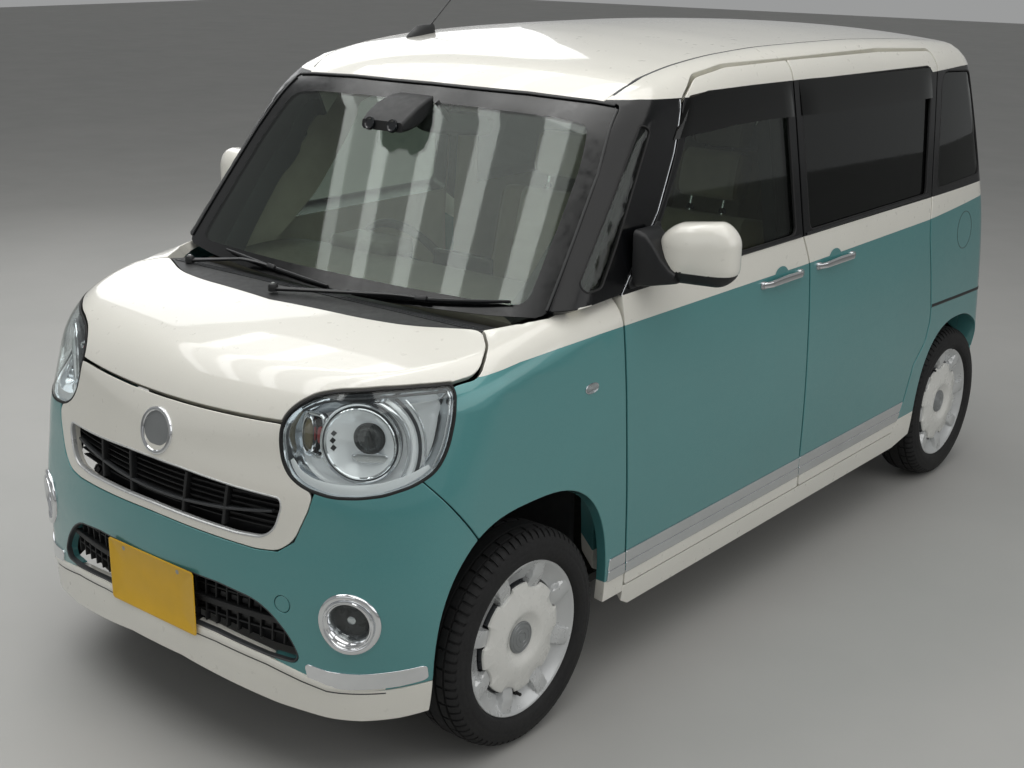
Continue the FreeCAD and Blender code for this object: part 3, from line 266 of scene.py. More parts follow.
class Dom:
    """A flat chart of part of the skin: (u, v) in mm-like units to a ray and back."""

    def __init__(self, kind, F, o=None, level=None):
        self.kind, self.F, self.o, self.level = kind, F, None if o is None else np.array(o, float), level

    def rays(self, uv):
        u, v = uv[:, 0], uv[:, 1]
        if self.kind == "side":
            y0 = np.minimum(u, 1330.0)
            ps = np.radians(np.maximum(u - 1330.0, 0) / 9.0)
            e = np.radians(v / 9.0)
            O = np.stack([np.full(len(u), 200.0), y0, np.full(len(u), 850.0)], -1)
            D = np.stack([np.cos(e) * np.cos(ps), np.cos(e) * np.sin(ps), np.sin(e)], -1)
            return O, D
        if self.kind == "ball":
            p, e = np.radians(u / 11.0), np.radians(v / 11.0)
            D = np.stack([np.cos(e) * np.cos(p), np.cos(e) * np.sin(p), np.sin(e)], -1)
        elif self.kind == "z":
            D = unit(np.stack([u, v, np.full(len(u), self.level)], -1) - self.o)
        elif self.kind == "y":
            D = unit(np.stack([u, np.full(len(u), self.level), v], -1) - self.o)
        elif self.kind == "screen":
            t = (v - 1000.0) / 590.0
            D = unit(np.stack([u, -1140 + 590 * t, v], -1) - self.o)
        return np.broadcast_to(self.o, D.shape).copy(), D

    def uv(self, P):
        x, y, z = P[:, 0], P[:, 1], P[:, 2]
        if self.kind == "side":
            back = y > 1330.0
            ps = np.degrees(np.arctan2(y - 1330.0, x - 200.0))
            r = np.where(back, np.hypot(x - 200.0, y - 1330.0), x - 200.0)
            e = np.degrees(np.arctan2(z - 850.0, r))
            return np.stack([np.where(back, 1330.0 + 9.0 * ps, y), 9.0 * e], -1)
        q = P - self.o
        if self.kind == "ball":
            p = np.degrees(np.arctan2(q[:, 1], q[:, 0]))
            p = np.where(p > 100, p - 360, p) if self.level is None else p
            e = np.degrees(np.arctan2(q[:, 2], np.hypot(q[:, 0], q[:, 1])))
            return np.stack([11.0 * p, 11.0 * e], -1)
        if self.kind == "z":
            k = (self.level - self.o[2]) / q[:, 2]
            return np.stack([self.o[0] + q[:, 0] * k, self.o[1] + q[:, 1] * k], -1)
        if self.kind == "y":
            k = (self.level - self.o[1]) / q[:, 1]
            return np.stack([self.o[0] + q[:, 0] * k, self.o[2] + q[:, 2] * k], -1)
        # screen: plane through (x, -1140 + 590 t, 1000 + 590 t): y - z = -2140
        k = (-2140.0 - (self.o[1] - self.o[2])) / (q[:, 1] - q[:, 2])
        return np.stack([self.o[0] + q[:, 0] * k, self.o[2] + q[:, 2] * k], -1)

    def valid(self, P):
        q = P if self.o is None else P - self.o
        if self.kind == "side":
            return P[:, 0] > 300.0
        if self.kind == "ball":
            return np.hypot(q[:, 0], q[:, 1]) > 100.0
        if self.kind == "z":
            return q[:, 2] > 50.0
        if self.kind == "y":
            return q[:, 1] > 50.0
        return q[:, 1] - q[:, 2] < -50.0

    def at(self, uv, depth=0.0):
        """Points at a depth under the skin, the normals, and the step per mm."""
        O, D = self.rays(np.asarray(uv, float))
        P, _ = hit(self.F, O, D)
        N = grad(self.F, P)
        k = np.maximum((N * D).sum(-1, keepdims=True), 0.4)
        return P - D / k * depth, N, D / k


D_SIDE = Dom("side", top)
D_NOSE = Dom("ball", low, (0, -1000, 450))
D_HOOD = Dom("z", low, (0, -1040, 300), 1100.0)
D_ROOF = Dom("z", top, (0, 400, -1500), 1600.0)
D_SCREEN = Dom("screen", top, (0, 300, 900))
D_GATE = Dom("y", top, (0, 700, 850), 1700.0)
D_TAIL = Dom("ball", top, (0, 1000, 450), 1)

C40, S40 = math.cos(math.radians(40)), math.sin(math.radians(40))


def view2(P, view):
    """3-D points seen along one of the outline directions."""
    if view == "side":
        return P[:, [1, 2]]
    if view == "front":
        return P[:, [0, 2]]
    if view == "top":
        return P[:, [0, 1]]
    m = -1.0 if view == "diagR" else 1.0
    return np.stack([C40 * P[:, 0] * m + S40 * P[:, 1], P[:, 2]], -1)


def lift(F, pts, view, sign=1):
    """Outline points onto the skin: (3-D points, usable)."""
    p = np.asarray(pts, float)
    n = len(p)
    z = np.zeros(n)
    if view == "side":
        O = np.stack([z, p[:, 0], p[:, 1]], -1)
        D = np.tile([float(sign), 0.0, 0.0], (n, 1))
    elif view == "front":
        O = np.stack([p[:, 0], z + (0.0 if sign < 0 else 700.0), p[:, 1]], -1)
        D = np.tile([0.0, float(sign), 0.0], (n, 1))
    elif view == "top":
        O = np.stack([p[:, 0], p[:, 1], z + 600.0], -1)
        D = np.tile([0.0, 0.0, 1.0], (n, 1))
    else:
        m = -1.0 if view == "diagR" else 1.0
        O = np.stack([(C40 * p[:, 0] + S40 * 950) * m, S40 * p[:, 0] - C40 * 950, p[:, 1]], -1)
        D = np.tile([S40 * m, -C40, 0.0], (n, 1))
    return hit(F, O, D)


# ------------------------------------------------------------------ outlines
def grow(pts, d):
    n = len(pts)
    area = sum(pts[i][0] * pts[(i + 1) % n][1] - pts[(i + 1) % n][0] * pts[i][1] for i in range(n))
    sg = 1.0 if area > 0 else -1.0
    out = []
    for i in range(n):
        p0, p1, p2 = pts[i - 1], pts[i], pts[(i + 1) % n]
        a = (p1[0] - p0[0], p1[1] - p0[1])
        b = (p2[0] - p1[0], p2[1] - p1[1])
        la, lb = math.hypot(*a), math.hypot(*b)
        na = (a[1] / la * sg, -a[0] / la * sg)
        nb = (b[1] / lb * sg, -b[0] / lb * sg)
        k = max(1 + na[0] * nb[0] + na[1] * nb[1], 0.35)
        out.append((p1[0] + (na[0] + nb[0]) / k * d, p1[1] + (na[1] + nb[1]) / k * d) + tuple(p1[2:]))
    return out


def rounded(pts, step=14.0, closed=True):
    """Dense points round a closed outline with its corner radii."""
    n = len(pts)
    cur = []
    for i in range(n):
        p0, p1, p2 = pts[i - 1], pts[i], pts[(i + 1) % n]
        r = p1[2] if len(p1) > 2 else 0.0
        end = not closed and i in (0, n - 1)
        ax, ay = p0[0] - p1[0], p0[1] - p1[1]
        bx, by = p2[0] - p1[0], p2[1] - p1[1]
        la, lb = math.hypot(ax, ay), math.hypot(bx, by)
        ax, ay, bx, by = ax / la, ay / la, bx / lb, by / lb
        ang = math.acos(max(-1.0, min(1.0, ax * bx + ay * by)))
        if r <= 0 or ang > 3.10 or end:
            cur.append([p1[:2]])
            continue
        tl = min(r / math.tan(ang / 2.0), 0.48 * min(la, lb))
        r = tl * math.tan(ang / 2.0)
        mx, my = ax + bx, ay + by
        mm = math.hypot(mx, my)
        cx, cy = p1[0] + mx / mm * r / math.sin(ang / 2), p1[1] + my / mm * r / math.sin(ang / 2)
        ta = (p1[0] + ax * tl, p1[1] + ay * tl)
        tb = (p1[0] + bx * tl, p1[1] + by * tl)
        a0 = math.atan2(ta[1] - cy, ta[0] - cx)
        a1 = math.atan2(tb[1] - cy, tb[0] - cx)
        da = (a1 - a0 + math.pi) % (2 * math.pi) - math.pi
        k = max(2, int(math.ceil(abs(da) * r / step)), int(math.ceil(abs(da) / 0.22)))
        cur.append([(cx + r * math.cos(a0 + da * j / k), cy + r * math.sin(a0 + da * j / k)) for j in range(k + 1)])
    out = []
    for i in range(n if closed else n - 1):
        out += cur[i]
        a, b = cur[i][-1], cur[(i + 1) % n][0]
        k = int(math.ceil(math.hypot(b[0] - a[0], b[1] - a[1]) / step))
        out += [(a[0] + (b[0] - a[0]) * j / k, a[1] + (b[1] - a[1]) * j / k) for j in range(1, k)]
    if not closed:
        out += cur[-1]
    keep = [out[0]]
    for q in out[1:]:
        if math.hypot(q[0] - keep[-1][0], q[1] - keep[-1][1]) > 0.3:
            keep.append(q)
    if closed and math.hypot(keep[0][0] - keep[-1][0], keep[0][1] - keep[-1][1]) < 0.3:
        keep.pop()
    return keep


def both(pts):
    left = [(-p[0],) + tuple(p[1:]) for p in reversed(pts) if p[0] > 1e-6]
    return list(pts) + left


def inside(poly, q):
    """Which points q (n, 2) lie in a closed polygon."""
    poly = np.asarray(poly, float)
    x, y = q[:, 0], q[:, 1]
    res = np.zeros(len(q), bool)
    x1, y1 = poly[-1]
    for x2, y2 in poly:
        c = ((y1 > y) != (y2 > y))
        if c.any():
            xc = (x2 - x1) * (y - y1) / ((y2 - y1) if y2 != y1 else 1e-12) + x1
            res ^= c & (x < xc)
        x1, y1 = x2, y2
    return res


class Cut:
    """One outline in a view: a fence on the skin and an inside test."""

    def __init__(self, pts, view, keep=True, sign=1, step=14.0):
        self.poly = rounded(pts, step)
        self.view, self.sign, self.keep, self.closed = view, sign, keep, True

    def runs(self, dom):
        """Polylines of chart points along the outline, where it is on the body."""
        P, ok = self.where(dom)
        ok = ok & dom.valid(P)
        P = np.where(ok[:, None], P, [500.0, -1600.0, 900.0])
        uv = dom.uv(P)
        n = len(uv)
        if self.closed and ok.all():
            return [np.vstack([uv, uv[:1]])]
        runs, cur = [], []
        order = list(range(n)) + ([0] if self.closed else [])
        for j, i in enumerate(order):
            if ok[i]:
                cur.append(uv[i])
            if (not ok[i] or j == len(order) - 1) and cur:
                if len(cur) > 1:
                    runs.append(np.array(cur))
                cur = []
        return runs

    def where(self, dom):
        return lift(dom.F, self.poly, self.view, self.sign)

    def isin(self, P):
        i = inside(self.poly, view2(P, self.view))
        if self.view == "front":
            i &= P[:, 1] * self.sign > 0
        elif self.view == "diag":
            i &= (P[:, 0] > 0) & (P[:, 1] < -900)
        elif self.view == "diagR":
            i &= (P[:, 0] < 0) & (P[:, 1] < -900)
        return i


class Bore(Cut):
    """A round hole along a slanted axis."""

    def __init__(self, c, d, r, keep=False, n=48, back=100.0):
        self.c, self.d, self.r = np.array(c, float), unit(np.array(d, float)), r
        self.keep, self.closed, self.n, self.back = keep, True, n, back

    def where(self, dom):
        e1 = unit(np.cross(self.d, [0, 0, 1.0]))
        e2 = np.cross(self.d, e1)
        a = np.linspace(0, 2 * math.pi, self.n, endpoint=False)[:, None]
        O = self.c - self.d * self.back + self.r * (np.cos(a) * e1 + np.sin(a) * e2)
        return hit(dom.F, O, np.tile(self.d, (self.n, 1)), step=20.0)

    def isin(self, P):
        q = P - self.c
        t = q @ self.d
        return (np.linalg.norm(q - t[:, None] * self.d, axis=1) < self.r) & (np.abs(t) < 300)


MATS = {}


def new_mesh(name, V, Fc, mats, midx=None, loops=None, smooth=True):
    """An object from mm vertices, with per-corner normals if given."""
    me = bpy.data.meshes.new(name)
    me.from_pydata((np.asarray(V, float) * MM).tolist(), [], [list(map(int, f)) for f in Fc])
    for m in mats:
        me.materials.append(MATS[m])
    if midx is not None:
        me.polygons.foreach_set("material_index", np.asarray(midx, np.int32))
    me.polygons.foreach_set("use_smooth", np.full(len(me.polygons), bool(smooth)))
    me.update()
    if loops is not None:
        me.normals_split_custom_set([tuple(map(float, v)) for v in loops])
    ob = bpy.data.objects.new(name, me)
    bpy.context.scene.collection.objects.link(ob)
    return ob


def add(ob, body, slot=None, replaces=()):
    if replaces:
        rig.replaces(ob, *replaces)
    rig.ride(ob, body)
    if slot:
        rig.slot(ob, slot)
    return ob


def largest(T, cen, cr):
    """Only the largest connected part of a triangle set."""
    par = {}

    def find(a):
        while par[a] != a:
            par[a] = par[par[a]]
            a = par[a]
        return a

    for t in T:
        for v in t:
            par.setdefault(int(v), int(v))
        a, b, c = find(int(t[0])), find(int(t[1])), find(int(t[2]))
        par[b] = a
        par[find(c)] = a
    root = np.array([find(int(t[0])) for t in T])
    ar = np.linalg.norm(cr, axis=1)
    best = max(set(root.tolist()), key=lambda r: ar[root == r].sum())
    m = root == best
    return T[m], cen[m], cr[m]


def panel(name, dom, cuts, d0, d1, box, mats, hem=2.5, pitch=24.0, paint=(), mirror=False,
          inner=1, wall=None, seg=3, twin=False, keep_fn=None, side_tri=None):
    """A closed panel on the skin between two depths.

    cuts: outlines to keep inside or outside of; box: chart window (u0, u1, v0, v1);
    paint: (Cut, material index) areas of the outer face; inner: material of the inner face.
    """
    fences = []
    for c in list(cuts) + [p[0] for p in paint]:
        fences += c.runs(dom)
    u0, u1, v0, v1 = box
    fences = [f for f in fences if len(f) > 1]
    vs, es = [], []
    for f in fences:
        base = len(vs)
        ok = (f[:, 0] > u0 - 60) & (f[:, 0] < u1 + 60) & (f[:, 1] > v0 - 60) & (f[:, 1] < v1 + 60)
        ids = {}
        closed = np.allclose(f[0], f[-1])
        m = len(f) - 1 if closed else len(f)
        for i in range(m):
            if ok[i]:
                ids[i] = len(vs)
                vs.append(tuple(f[i]))
        for i in range(len(f) - 1):
            a, b = i, (i + 1) % m if closed else i + 1
            if a in ids and b in ids and ids[a] != ids[b]:
                es.append((ids[a], ids[b]))
    # samples along the fences, to keep grid points off them
    kd_pts = []
    for a, b in es:
        pa, pb = np.array(vs[a]), np.array(vs[b])
        k = max(1, int(np.linalg.norm(pb - pa) / (pitch * 0.3)))
        for j in range(k + 1):
            kd_pts.append(pa + (pb - pa) * j / k)
    kd = KDTree(len(kd_pts))
    for i, p in enumerate(kd_pts):
        kd.insert((p[0], p[1], 0), i)
    kd.balance()
    gu = np.arange(u0 + pitch / 2, u1, pitch)
    gv = np.arange(v0 + pitch / 2, v1, pitch)
    G = np.array([(a + (pitch / 2 if j % 2 else 0), b) for j, b in enumerate(gv) for a in gu])
    # keep only grid points inside the region, measured on the skin
    O, D = dom.rays(G)
    PG, _ = hit(dom.F, O, D)

    def kept(P):
        k = np.ones(len(P), bool)
        for c in cuts:
            i = c.isin(P)
            k &= i if c.keep else ~i
        if keep_fn is not None:
            k &= keep_fn(P)
        return k

    gk = kept(PG)
    G = G[gk]
    G = [g for g in G if kd.find((g[0], g[1], 0))[2] > pitch * 0.42]
    allv = [Vector(v) for v in vs] + [Vector((g[0], g[1])) for g in G]
    r = delaunay_2d_cdt(allv, es, [], 0, 1e-4)
    UV = np.array([(v.x, v.y) for v in r[0]])
    T = np.array([t for t in r[2] if len(t) == 3], int)
    P, N, S = dom.at(UV)
    cen = P[T].mean(axis=1)
    uvc = UV[T].mean(axis=1)
    O, D = dom.rays(uvc)
    cen, _ = hit(dom.F, O, D)
    k = kept(cen) & (uvc[:, 0] > u0) & (uvc[:, 0] < u1) & (uvc[:, 1] > v0) & (uvc[:, 1] < v1)
    T, cen = T[k], cen[k]
    # drop slivers of nothing
    e1, e2 = P[T[:, 1]] - P[T[:, 0]], P[T[:, 2]] - P[T[:, 0]]
    cr = np.cross(e1, e2)
    ok = np.linalg.norm(cr, axis=1) > 1e-3
    T, cen, cr = T[ok], cen[ok], cr[ok]
    T, cen, cr = largest(T, cen, cr)
    # outward winding
    flip = (cr * N[T].mean(axis=1)).sum(-1) < 0
    T[flip] = T[flip][:, ::-1]
    pm = np.zeros(len(T), int)
    for c, mi in paint:
        i = c.isin(cen)
        pm[i] = mi
    used = np.unique(T)
    remap = -np.ones(len(P), int)
    remap[used] = np.arange(len(used))
    T = remap[T]
    P, N, S = P[used], N[used], S[used]
    # rim edges, in the direction of their face
    ed = {}
    for fi, (a, b, c) in enumerate(T):
        for p, q in ((a, b), (b, c), (c, a)):
            ed[(p, q)] = fi
    rim = [(p, q) for (p, q) in ed if (q, p) not in ed]
    nxt, prv = {}, {}
    for p, q in rim:
        nxt.setdefault(p, []).append(q)
        prv.setdefault(q, []).append(p)
    rv = sorted(nxt)
    idx = {v: i for i, v in enumerate(rv)}
    Tn = np.zeros((len(rv), 3))
    for v in rv:
        tn = np.zeros(3)
        for q in nxt.get(v, []):
            tn += unit(P[q] - P[v])
        for p in prv.get(v, []):
            tn += unit(P[v] - P[p])
        Tn[idx[v]] = tn
    Tn = unit(Tn)
    rvA = np.array(rv, int)
    out = unit(np.cross(Tn, N[rvA]))          # away from the panel along the skin
    P0 = P - S * d0
    V = [P0]
    Vn = [N]
    base = len(P)
    rings = []
    for j in range(1, seg + 1):
        a = math.pi / 2 * j / seg
        R = P0[rvA] + out * (hem * math.sin(a)) - N[rvA] * (hem * (1 - math.cos(a)))
        V.append(R)
        Vn.append(unit(N[rvA] * math.cos(a) + out * math.sin(a)))
        rings.append(base)
        base += len(rv)
    # inner edge of the wall and the inner face
    Pin = P - S * d1
    Ri = P[rvA] + out * hem - S[rvA] * d1
    V += [Ri]
    Vn += [out]
    wall_i = base
    base += len(rv)
    P2 = Pin.copy()
    P2[rvA] = Ri
    V += [P2]
    Vn += [-N]
    in0 = base
    base += len(P2)
    V = np.vstack(V)
    Vn = np.vstack(Vn)
    F_, M_, L_ = [], [], []
    for t, m in zip(T, pm):
        F_.append(tuple(t)); M_.append(m)
    rimm = {}
    for (p, q) in rim:
        rimm[(p, q)] = pm[ed[(p, q)]]
    for (p, q) in rim:
        a, b = idx[p], idx[q]
        m = rimm[(p, q)]
        prev = (p, q)
        for rb in rings:
            cur = (rb + a, rb + b)
            F_.append((prev[1], prev[0], cur[0], cur[1])); M_.append(m)
            prev = cur
        cur = (wall_i + a, wall_i + b)
        F_.append((prev[1], prev[0], cur[0], cur[1])); M_.append(m if wall is None else wall)
    for t in T:
        F_.append((in0 + t[2], in0 + t[1], in0 + t[0])); M_.append(inner)
    for f in F_:
        for v in f:
            L_.append(Vn[v])
    res = []
    for side in ((1, -1) if (mirror or twin) else (1,)):
        if side == 1:
            VV, FF, LL = V, F_, L_
        else:
            VV = V * np.array([-1.0, 1, 1])
            FF = [tuple(reversed(f)) for f in F_]
            LL = []
            k = 0
            for f in F_:
                seq = L_[k:k + len(f)]
                k += len(f)
                LL += [n * np.array([-1.0, 1, 1]) for n in reversed(seq)]
        res.append((VV, FF, LL))
    if twin and len(res) == 2:
        (VA, FA, LA), (VB, FB, LB) = res
        n = len(VA)
        ob = new_mesh(name, np.vstack([VA, VB]), FA + [tuple(v + n for v in f) for f in FB], mats,
                      M_ + M_, LA + LB)
        return weld(ob)
    obs = []
    for i, (VV, FF, LL) in enumerate(res):
        nm = name if len(res) == 1 else name + ("_left", "_right")[i]
        obs.append(weld(new_mesh(nm, VV, FF, mats, M_, LL)))
    return obs[0] if len(obs) == 1 else obs


def weld(ob):
    """Join the doubled rim vertices, so the panel is one closed shell; normals stay per corner."""
    me = ob.data
    n = len(me.vertices)
    co = np.zeros(n * 3)
    me.vertices.foreach_get("co", co)
    co = co.reshape(-1, 3)
    key = np.round(co * 1e6).astype(np.int64)
    _, inv = np.unique(key, axis=0, return_inverse=True)
    inv = inv.ravel()
    first = {}
    newid = np.zeros(n, int)
    pts = []
    for i in range(n):
        k = inv[i]
        if k not in first:
            first[k] = len(pts)
            pts.append(co[i])
        newid[i] = first[k]
    faces, mi, loops = [], [], []
    ln = np.zeros(len(me.loops) * 3)
    me.corner_normals.foreach_get("vector", ln)
    ln = ln.reshape(-1, 3)
    for p in me.polygons:
        f, l = [], []
        for li in p.loop_indices:
            v = newid[me.loops[li].vertex_index]
            if v not in f:
                f.append(v)
                l.append(ln[li])
        if len(f) > 2:
            faces.append(f); mi.append(p.material_index); loops += l
    me2 = bpy.data.meshes.new(me.name + "_w")
    me2.from_pydata([tuple(p) for p in pts], [], faces)
    for m in me.materials:
        me2.materials.append(m)
    me2.polygons.foreach_set("material_index", np.array(mi, np.int32))
    me2.polygons.foreach_set("use_smooth", np.ones(len(me2.polygons), bool))
    me2.update()
    me2.normals_split_custom_set([tuple(v) for v in loops])
    nm = me.name
    ob.data = me2
    bpy.data.meshes.remove(me)
    me2.name = nm
    return ob


# ------------------------------------------------------------------ materials
def lin(c):
    return tuple(((v / 12.92) if v <= 0.04045 else ((v + 0.055) / 1.055) ** 2.4) for v in c)


def hexc(h):
    return lin(tuple(int(h[i:i + 2], 16) / 255 for i in (0, 2, 4))) + (1.0,)


class NT:
    def __init__(self, name):
        self.m = bpy.data.materials.new(name)
        self.m.use_nodes = True
        self.t = self.m.node_tree
        self.t.nodes.clear()
        self.out = self.t.nodes.new("ShaderNodeOutputMaterial")
        self.tc = self.t.nodes.new("ShaderNodeTexCoord")

    def n(self, kind, **k):
        nd = self.t.nodes.new(kind)
        for a, v in k.items():
            if a in nd.inputs.keys():
                nd.inputs[a].default_value = v
            else:
                setattr(nd, a, v)
        return nd

    def l(self, a, b):
        self.t.links.new(a, b)

    def noise(self, scale, detail=3.0, rough=0.55, stretch=None):
        nz = self.n("ShaderNodeTexNoise", Scale=scale, Detail=detail, Roughness=rough)
        src = self.tc.outputs["Object"]
        if stretch:
            mp = self.n("ShaderNodeMapping")
            mp.inputs["Scale"].default_value = stretch
            self.l(src, mp.inputs["Vector"])
            src = mp.outputs[0]
        self.l(src, nz.inputs["Vector"])
        return nz.outputs["Fac"]

    def ramp(self, fac, c0, c1, p0=0.3, p1=0.7):
        r = self.n("ShaderNodeValToRGB")
        r.color_ramp.elements[0].position, r.color_ramp.elements[1].position = p0, p1
        r.color_ramp.elements[0].color, r.color_ramp.elements[1].color = c0, c1
        self.l(fac, r.inputs[0])
        return r.outputs[0]

    def rng(self, fac, a, b, lo=0.3, hi=0.7):
        r = self.n("ShaderNodeMapRange")
        r.inputs[1].default_value, r.inputs[2].default_value = lo, hi
        r.inputs[3].default_value, r.inputs[4].default_value = a, b
        self.l(fac, r.inputs[0])
        return r.outputs[0]


def sh(c, k):
    return tuple(min(1.0, v * k) for v in c[:3]) + (1.0,)


def make(name, color, rough=0.4, vary=0.06, metal=0.0, coat=0.0, scale=9.0, grain=0.0, gscale=900.0,
         rvary=0.05, spec=0.5, sheen=0.0, emit=None, color2=None, stretch=None, coat_rough=0.03, wear=None):
    """A painted, moulded or metal surface: colour and roughness drift, plus a fine grain."""
    t = NT(name)
    p = t.n("ShaderNodeBsdfPrincipled")
    base = t.noise(scale, 4.0, 0.6, stretch)
    col = t.ramp(base, sh(color, 1 - vary), color2 or sh(color, 1 + vary), 0.35, 0.65)
    if wear is not None:
        # dust and scuffs gather low down and in broad patches
        big = t.noise(2.3, 5.0, 0.65)
        mix = t.n("ShaderNodeMix", data_type="RGBA")
        t.l(t.rng(big, 0.0, wear[1], 0.45, 0.72), mix.inputs[0])
        t.l(col, mix.inputs[6])
        mix.inputs[7].default_value = wear[0]
        col = mix.outputs[2]
    t.l(col, p.inputs["Base Color"])
    t.l(t.rng(t.noise(scale * 5, 3.0), max(0.0, rough - rvary), rough + rvary), p.inputs["Roughness"])
    p.inputs["Metallic"].default_value = metal
    p.inputs["Specular IOR Level"].default_value = spec
    if coat:
        p.inputs["Coat Weight"].default_value = coat
        p.inputs["Coat Roughness"].default_value = coat_rough
    if sheen:
        p.inputs["Sheen Weight"].default_value = sheen
    if grain:
        b = t.n("ShaderNodeBump", Strength=grain, Distance=0.0004)
        t.l(t.noise(gscale, 2.0, 0.5, stretch), b.inputs["Height"])
        t.l(b.outputs[0], p.inputs["Normal"])
    if emit:
        p.inputs["Emission Color"].default_value = emit[0]
        p.inputs["Emission Strength"].default_value = emit[1]
    t.l(p.outputs[0], t.out.inputs[0])
    MATS[name] = t.m
    return t.m


def paint(name, color, flake, metal, rough=0.32):
    """Two-coat paint: a flaked base with slight orange peel under clear lacquer."""
    t = NT(name)
    p = t.n("ShaderNodeBsdfPrincipled")
    drift = t.noise(3.1, 4.0, 0.55)
    vor = t.n("ShaderNodeTexVoronoi", Scale=2600.0)
    t.l(t.tc.outputs["Object"], vor.inputs["Vector"])
    mix = t.n("ShaderNodeMix", data_type="RGBA")
    t.l(t.rng(vor.outputs["Distance"], 0.0, 0.55, 0.25, 0.7), mix.inputs[0])
    t.l(t.ramp(drift, sh(color, 0.965), sh(color, 1.03)), mix.inputs[6])
    mix.inputs[7].default_value = flake
    t.l(mix.outputs[2], p.inputs["Base Color"])
    t.l(t.rng(t.noise(40.0), rough - 0.03, rough + 0.04), p.inputs["Roughness"])
    p.inputs["Metallic"].default_value = metal
    p.inputs["Coat Weight"].default_value = 1.0
    p.inputs["Coat Roughness"].default_value = 0.04
    b = t.n("ShaderNodeBump", Strength=0.014, Distance=0.0006)
    t.l(t.noise(190.0, 2.0), b.inputs["Height"])
    t.l(b.outputs[0], p.inputs["Coat Normal"])
    t.l(p.outputs[0], t.out.inputs[0])
    MATS[name] = t.m


def glass(name, tint, rough=0.015, ior=1.45, smear=0.03, body=None, bodyfac=0.0):
    """Thin glazing: what lies behind, tinted, under a clear reflection with faint smears."""
    t = NT(name)
    tr = t.n("ShaderNodeBsdfTransparent")
    t.l(t.ramp(t.noise(4.0, 3.0), sh(tint, 0.97), tint), tr.inputs[0])
    gl = t.n("ShaderNodeBsdfGlossy")
    t.l(t.rng(t.noise(7.0, 5.0), rough, rough + smear), gl.inputs["Roughness"])
    gl.inputs["Color"].default_value = (0.95, 0.97, 0.96, 1)
    f0 = ((ior - 1) / (ior + 1)) ** 2
    lw = t.n("ShaderNodeLayerWeight", Blend=0.5)
    pw = t.n("ShaderNodeMath", operation="POWER")
    pw.inputs[1].default_value = 5.0
    t.l(lw.outputs["Facing"], pw.inputs[0])
    fr = t.n("ShaderNodeMath", operation="MULTIPLY_ADD")
    fr.inputs[1].default_value = 1 - f0
    fr.inputs[2].default_value = f0
    t.l(pw.outputs[0], fr.inputs[0])
    mx = t.n("ShaderNodeMixShader")
    t.l(fr.outputs[0], mx.inputs[0])
    t.l(tr.outputs[0], mx.inputs[1])
    t.l(gl.outputs[0], mx.inputs[2])
    last = mx
    if body is not None:
        df = t.n("ShaderNodeBsdfPrincipled")
        t.l(t.ramp(t.noise(60.0), sh(body, 0.9), sh(body, 1.1)), df.inputs["Base Color"])
        t.l(t.rng(t.noise(30.0), 0.05, 0.12), df.inputs["Roughness"])
        m2 = t.n("ShaderNodeMixShader")
        m2.inputs[0].default_value = bodyfac
        t.l(mx.outputs[0], m2.inputs[1])
        t.l(df.outputs[0], m2.inputs[2])
        last = m2
    t.l(last.outputs[0], t.out.inputs[0])
    MATS[name] = t.m


def cloth(name, color, rough=0.85, weave=900.0):
    """Woven cover: crossed threads in height and shade, with a soft sheen."""
    t = NT(name)
    p = t.n("ShaderNodeBsdfPrincipled")
    w1 = t.n("ShaderNodeTexWave", Scale=weave, Distortion=0.6, bands_direction="X")
    w2 = t.n("ShaderNodeTexWave", Scale=weave, Distortion=0.6, bands_direction="Z")
    for w in (w1, w2):
        t.l(t.tc.outputs["Object"], w.inputs["Vector"])
    ad = t.n("ShaderNodeMath", operation="ADD")
    t.l(w1.outputs["Fac"], ad.inputs[0])
    t.l(w2.outputs["Fac"], ad.inputs[1])
    mix = t.n("ShaderNodeMix", data_type="RGBA")
    t.l(t.rng(ad.outputs[0], 0.0, 0.35, 0.0, 2.0), mix.inputs[0])
    t.l(t.ramp(t.noise(14.0, 4.0), sh(color, 0.9), sh(color, 1.07)), mix.inputs[6])
    mix.inputs[7].default_value = sh(color, 0.6)
    t.l(mix.outputs[2], p.inputs["Base Color"])
    t.l(t.rng(t.noise(50.0), rough - 0.08, rough + 0.08), p.inputs["Roughness"])
    p.inputs["Sheen Weight"].default_value = 0.35
    b = t.n("ShaderNodeBump", Strength=0.35, Distance=0.0005)
    t.l(ad.outputs[0], b.inputs["Height"])
    t.l(b.outputs[0], p.inputs["Normal"])
    t.l(p.outputs[0], t.out.inputs[0])
    MATS[name] = t.m


paint("teal", hexc("458A8C"), hexc("6CA7A6"), 0.25)
paint("white", hexc("E4E2D8"), hexc("F2F0E8"), 0.0, 0.3)
make("inner_teal", hexc("4F8A88"), 0.35, coat=0.6, scale=6)
make("black_gloss", hexc("0B0C0E"), 0.2, vary=0.25, rvary=0.04, spec=0.35)
make("black_satin", hexc("141517"), 0.42, vary=0.2, grain=0.12, gscale=1400)
make("black_plastic", hexc("1B1C1D"), 0.55, vary=0.18, grain=0.12, gscale=1100)
make("grey_plastic", hexc("3A3C3E"), 0.5, vary=0.12, grain=0.08, gscale=900)
make("rubber", hexc("101011"), 0.62, vary=0.2, grain=0.2, gscale=700)
make("frit", hexc("08090A"), 0.2, vary=0.2)
make("tyre", hexc("161617"), 0.78, vary=0.2, grain=0.35, gscale=500, scale=22, wear=(hexc("2C2B29"), 0.4))
make("chrome", hexc("E6E8EA"), 0.07, metal=1.0, vary=0.03, rvary=0.03, scale=12)
make("satin_chrome", hexc("C6C9CC"), 0.24, metal=1.0, vary=0.04, rvary=0.05)
make("silver_plastic", hexc("C9CBCB"), 0.3, metal=0.35, coat=0.3, vary=0.02, scale=5)
make("cover_white", hexc("DEDED9"), 0.28, coat=0.5, vary=0.015, scale=5)
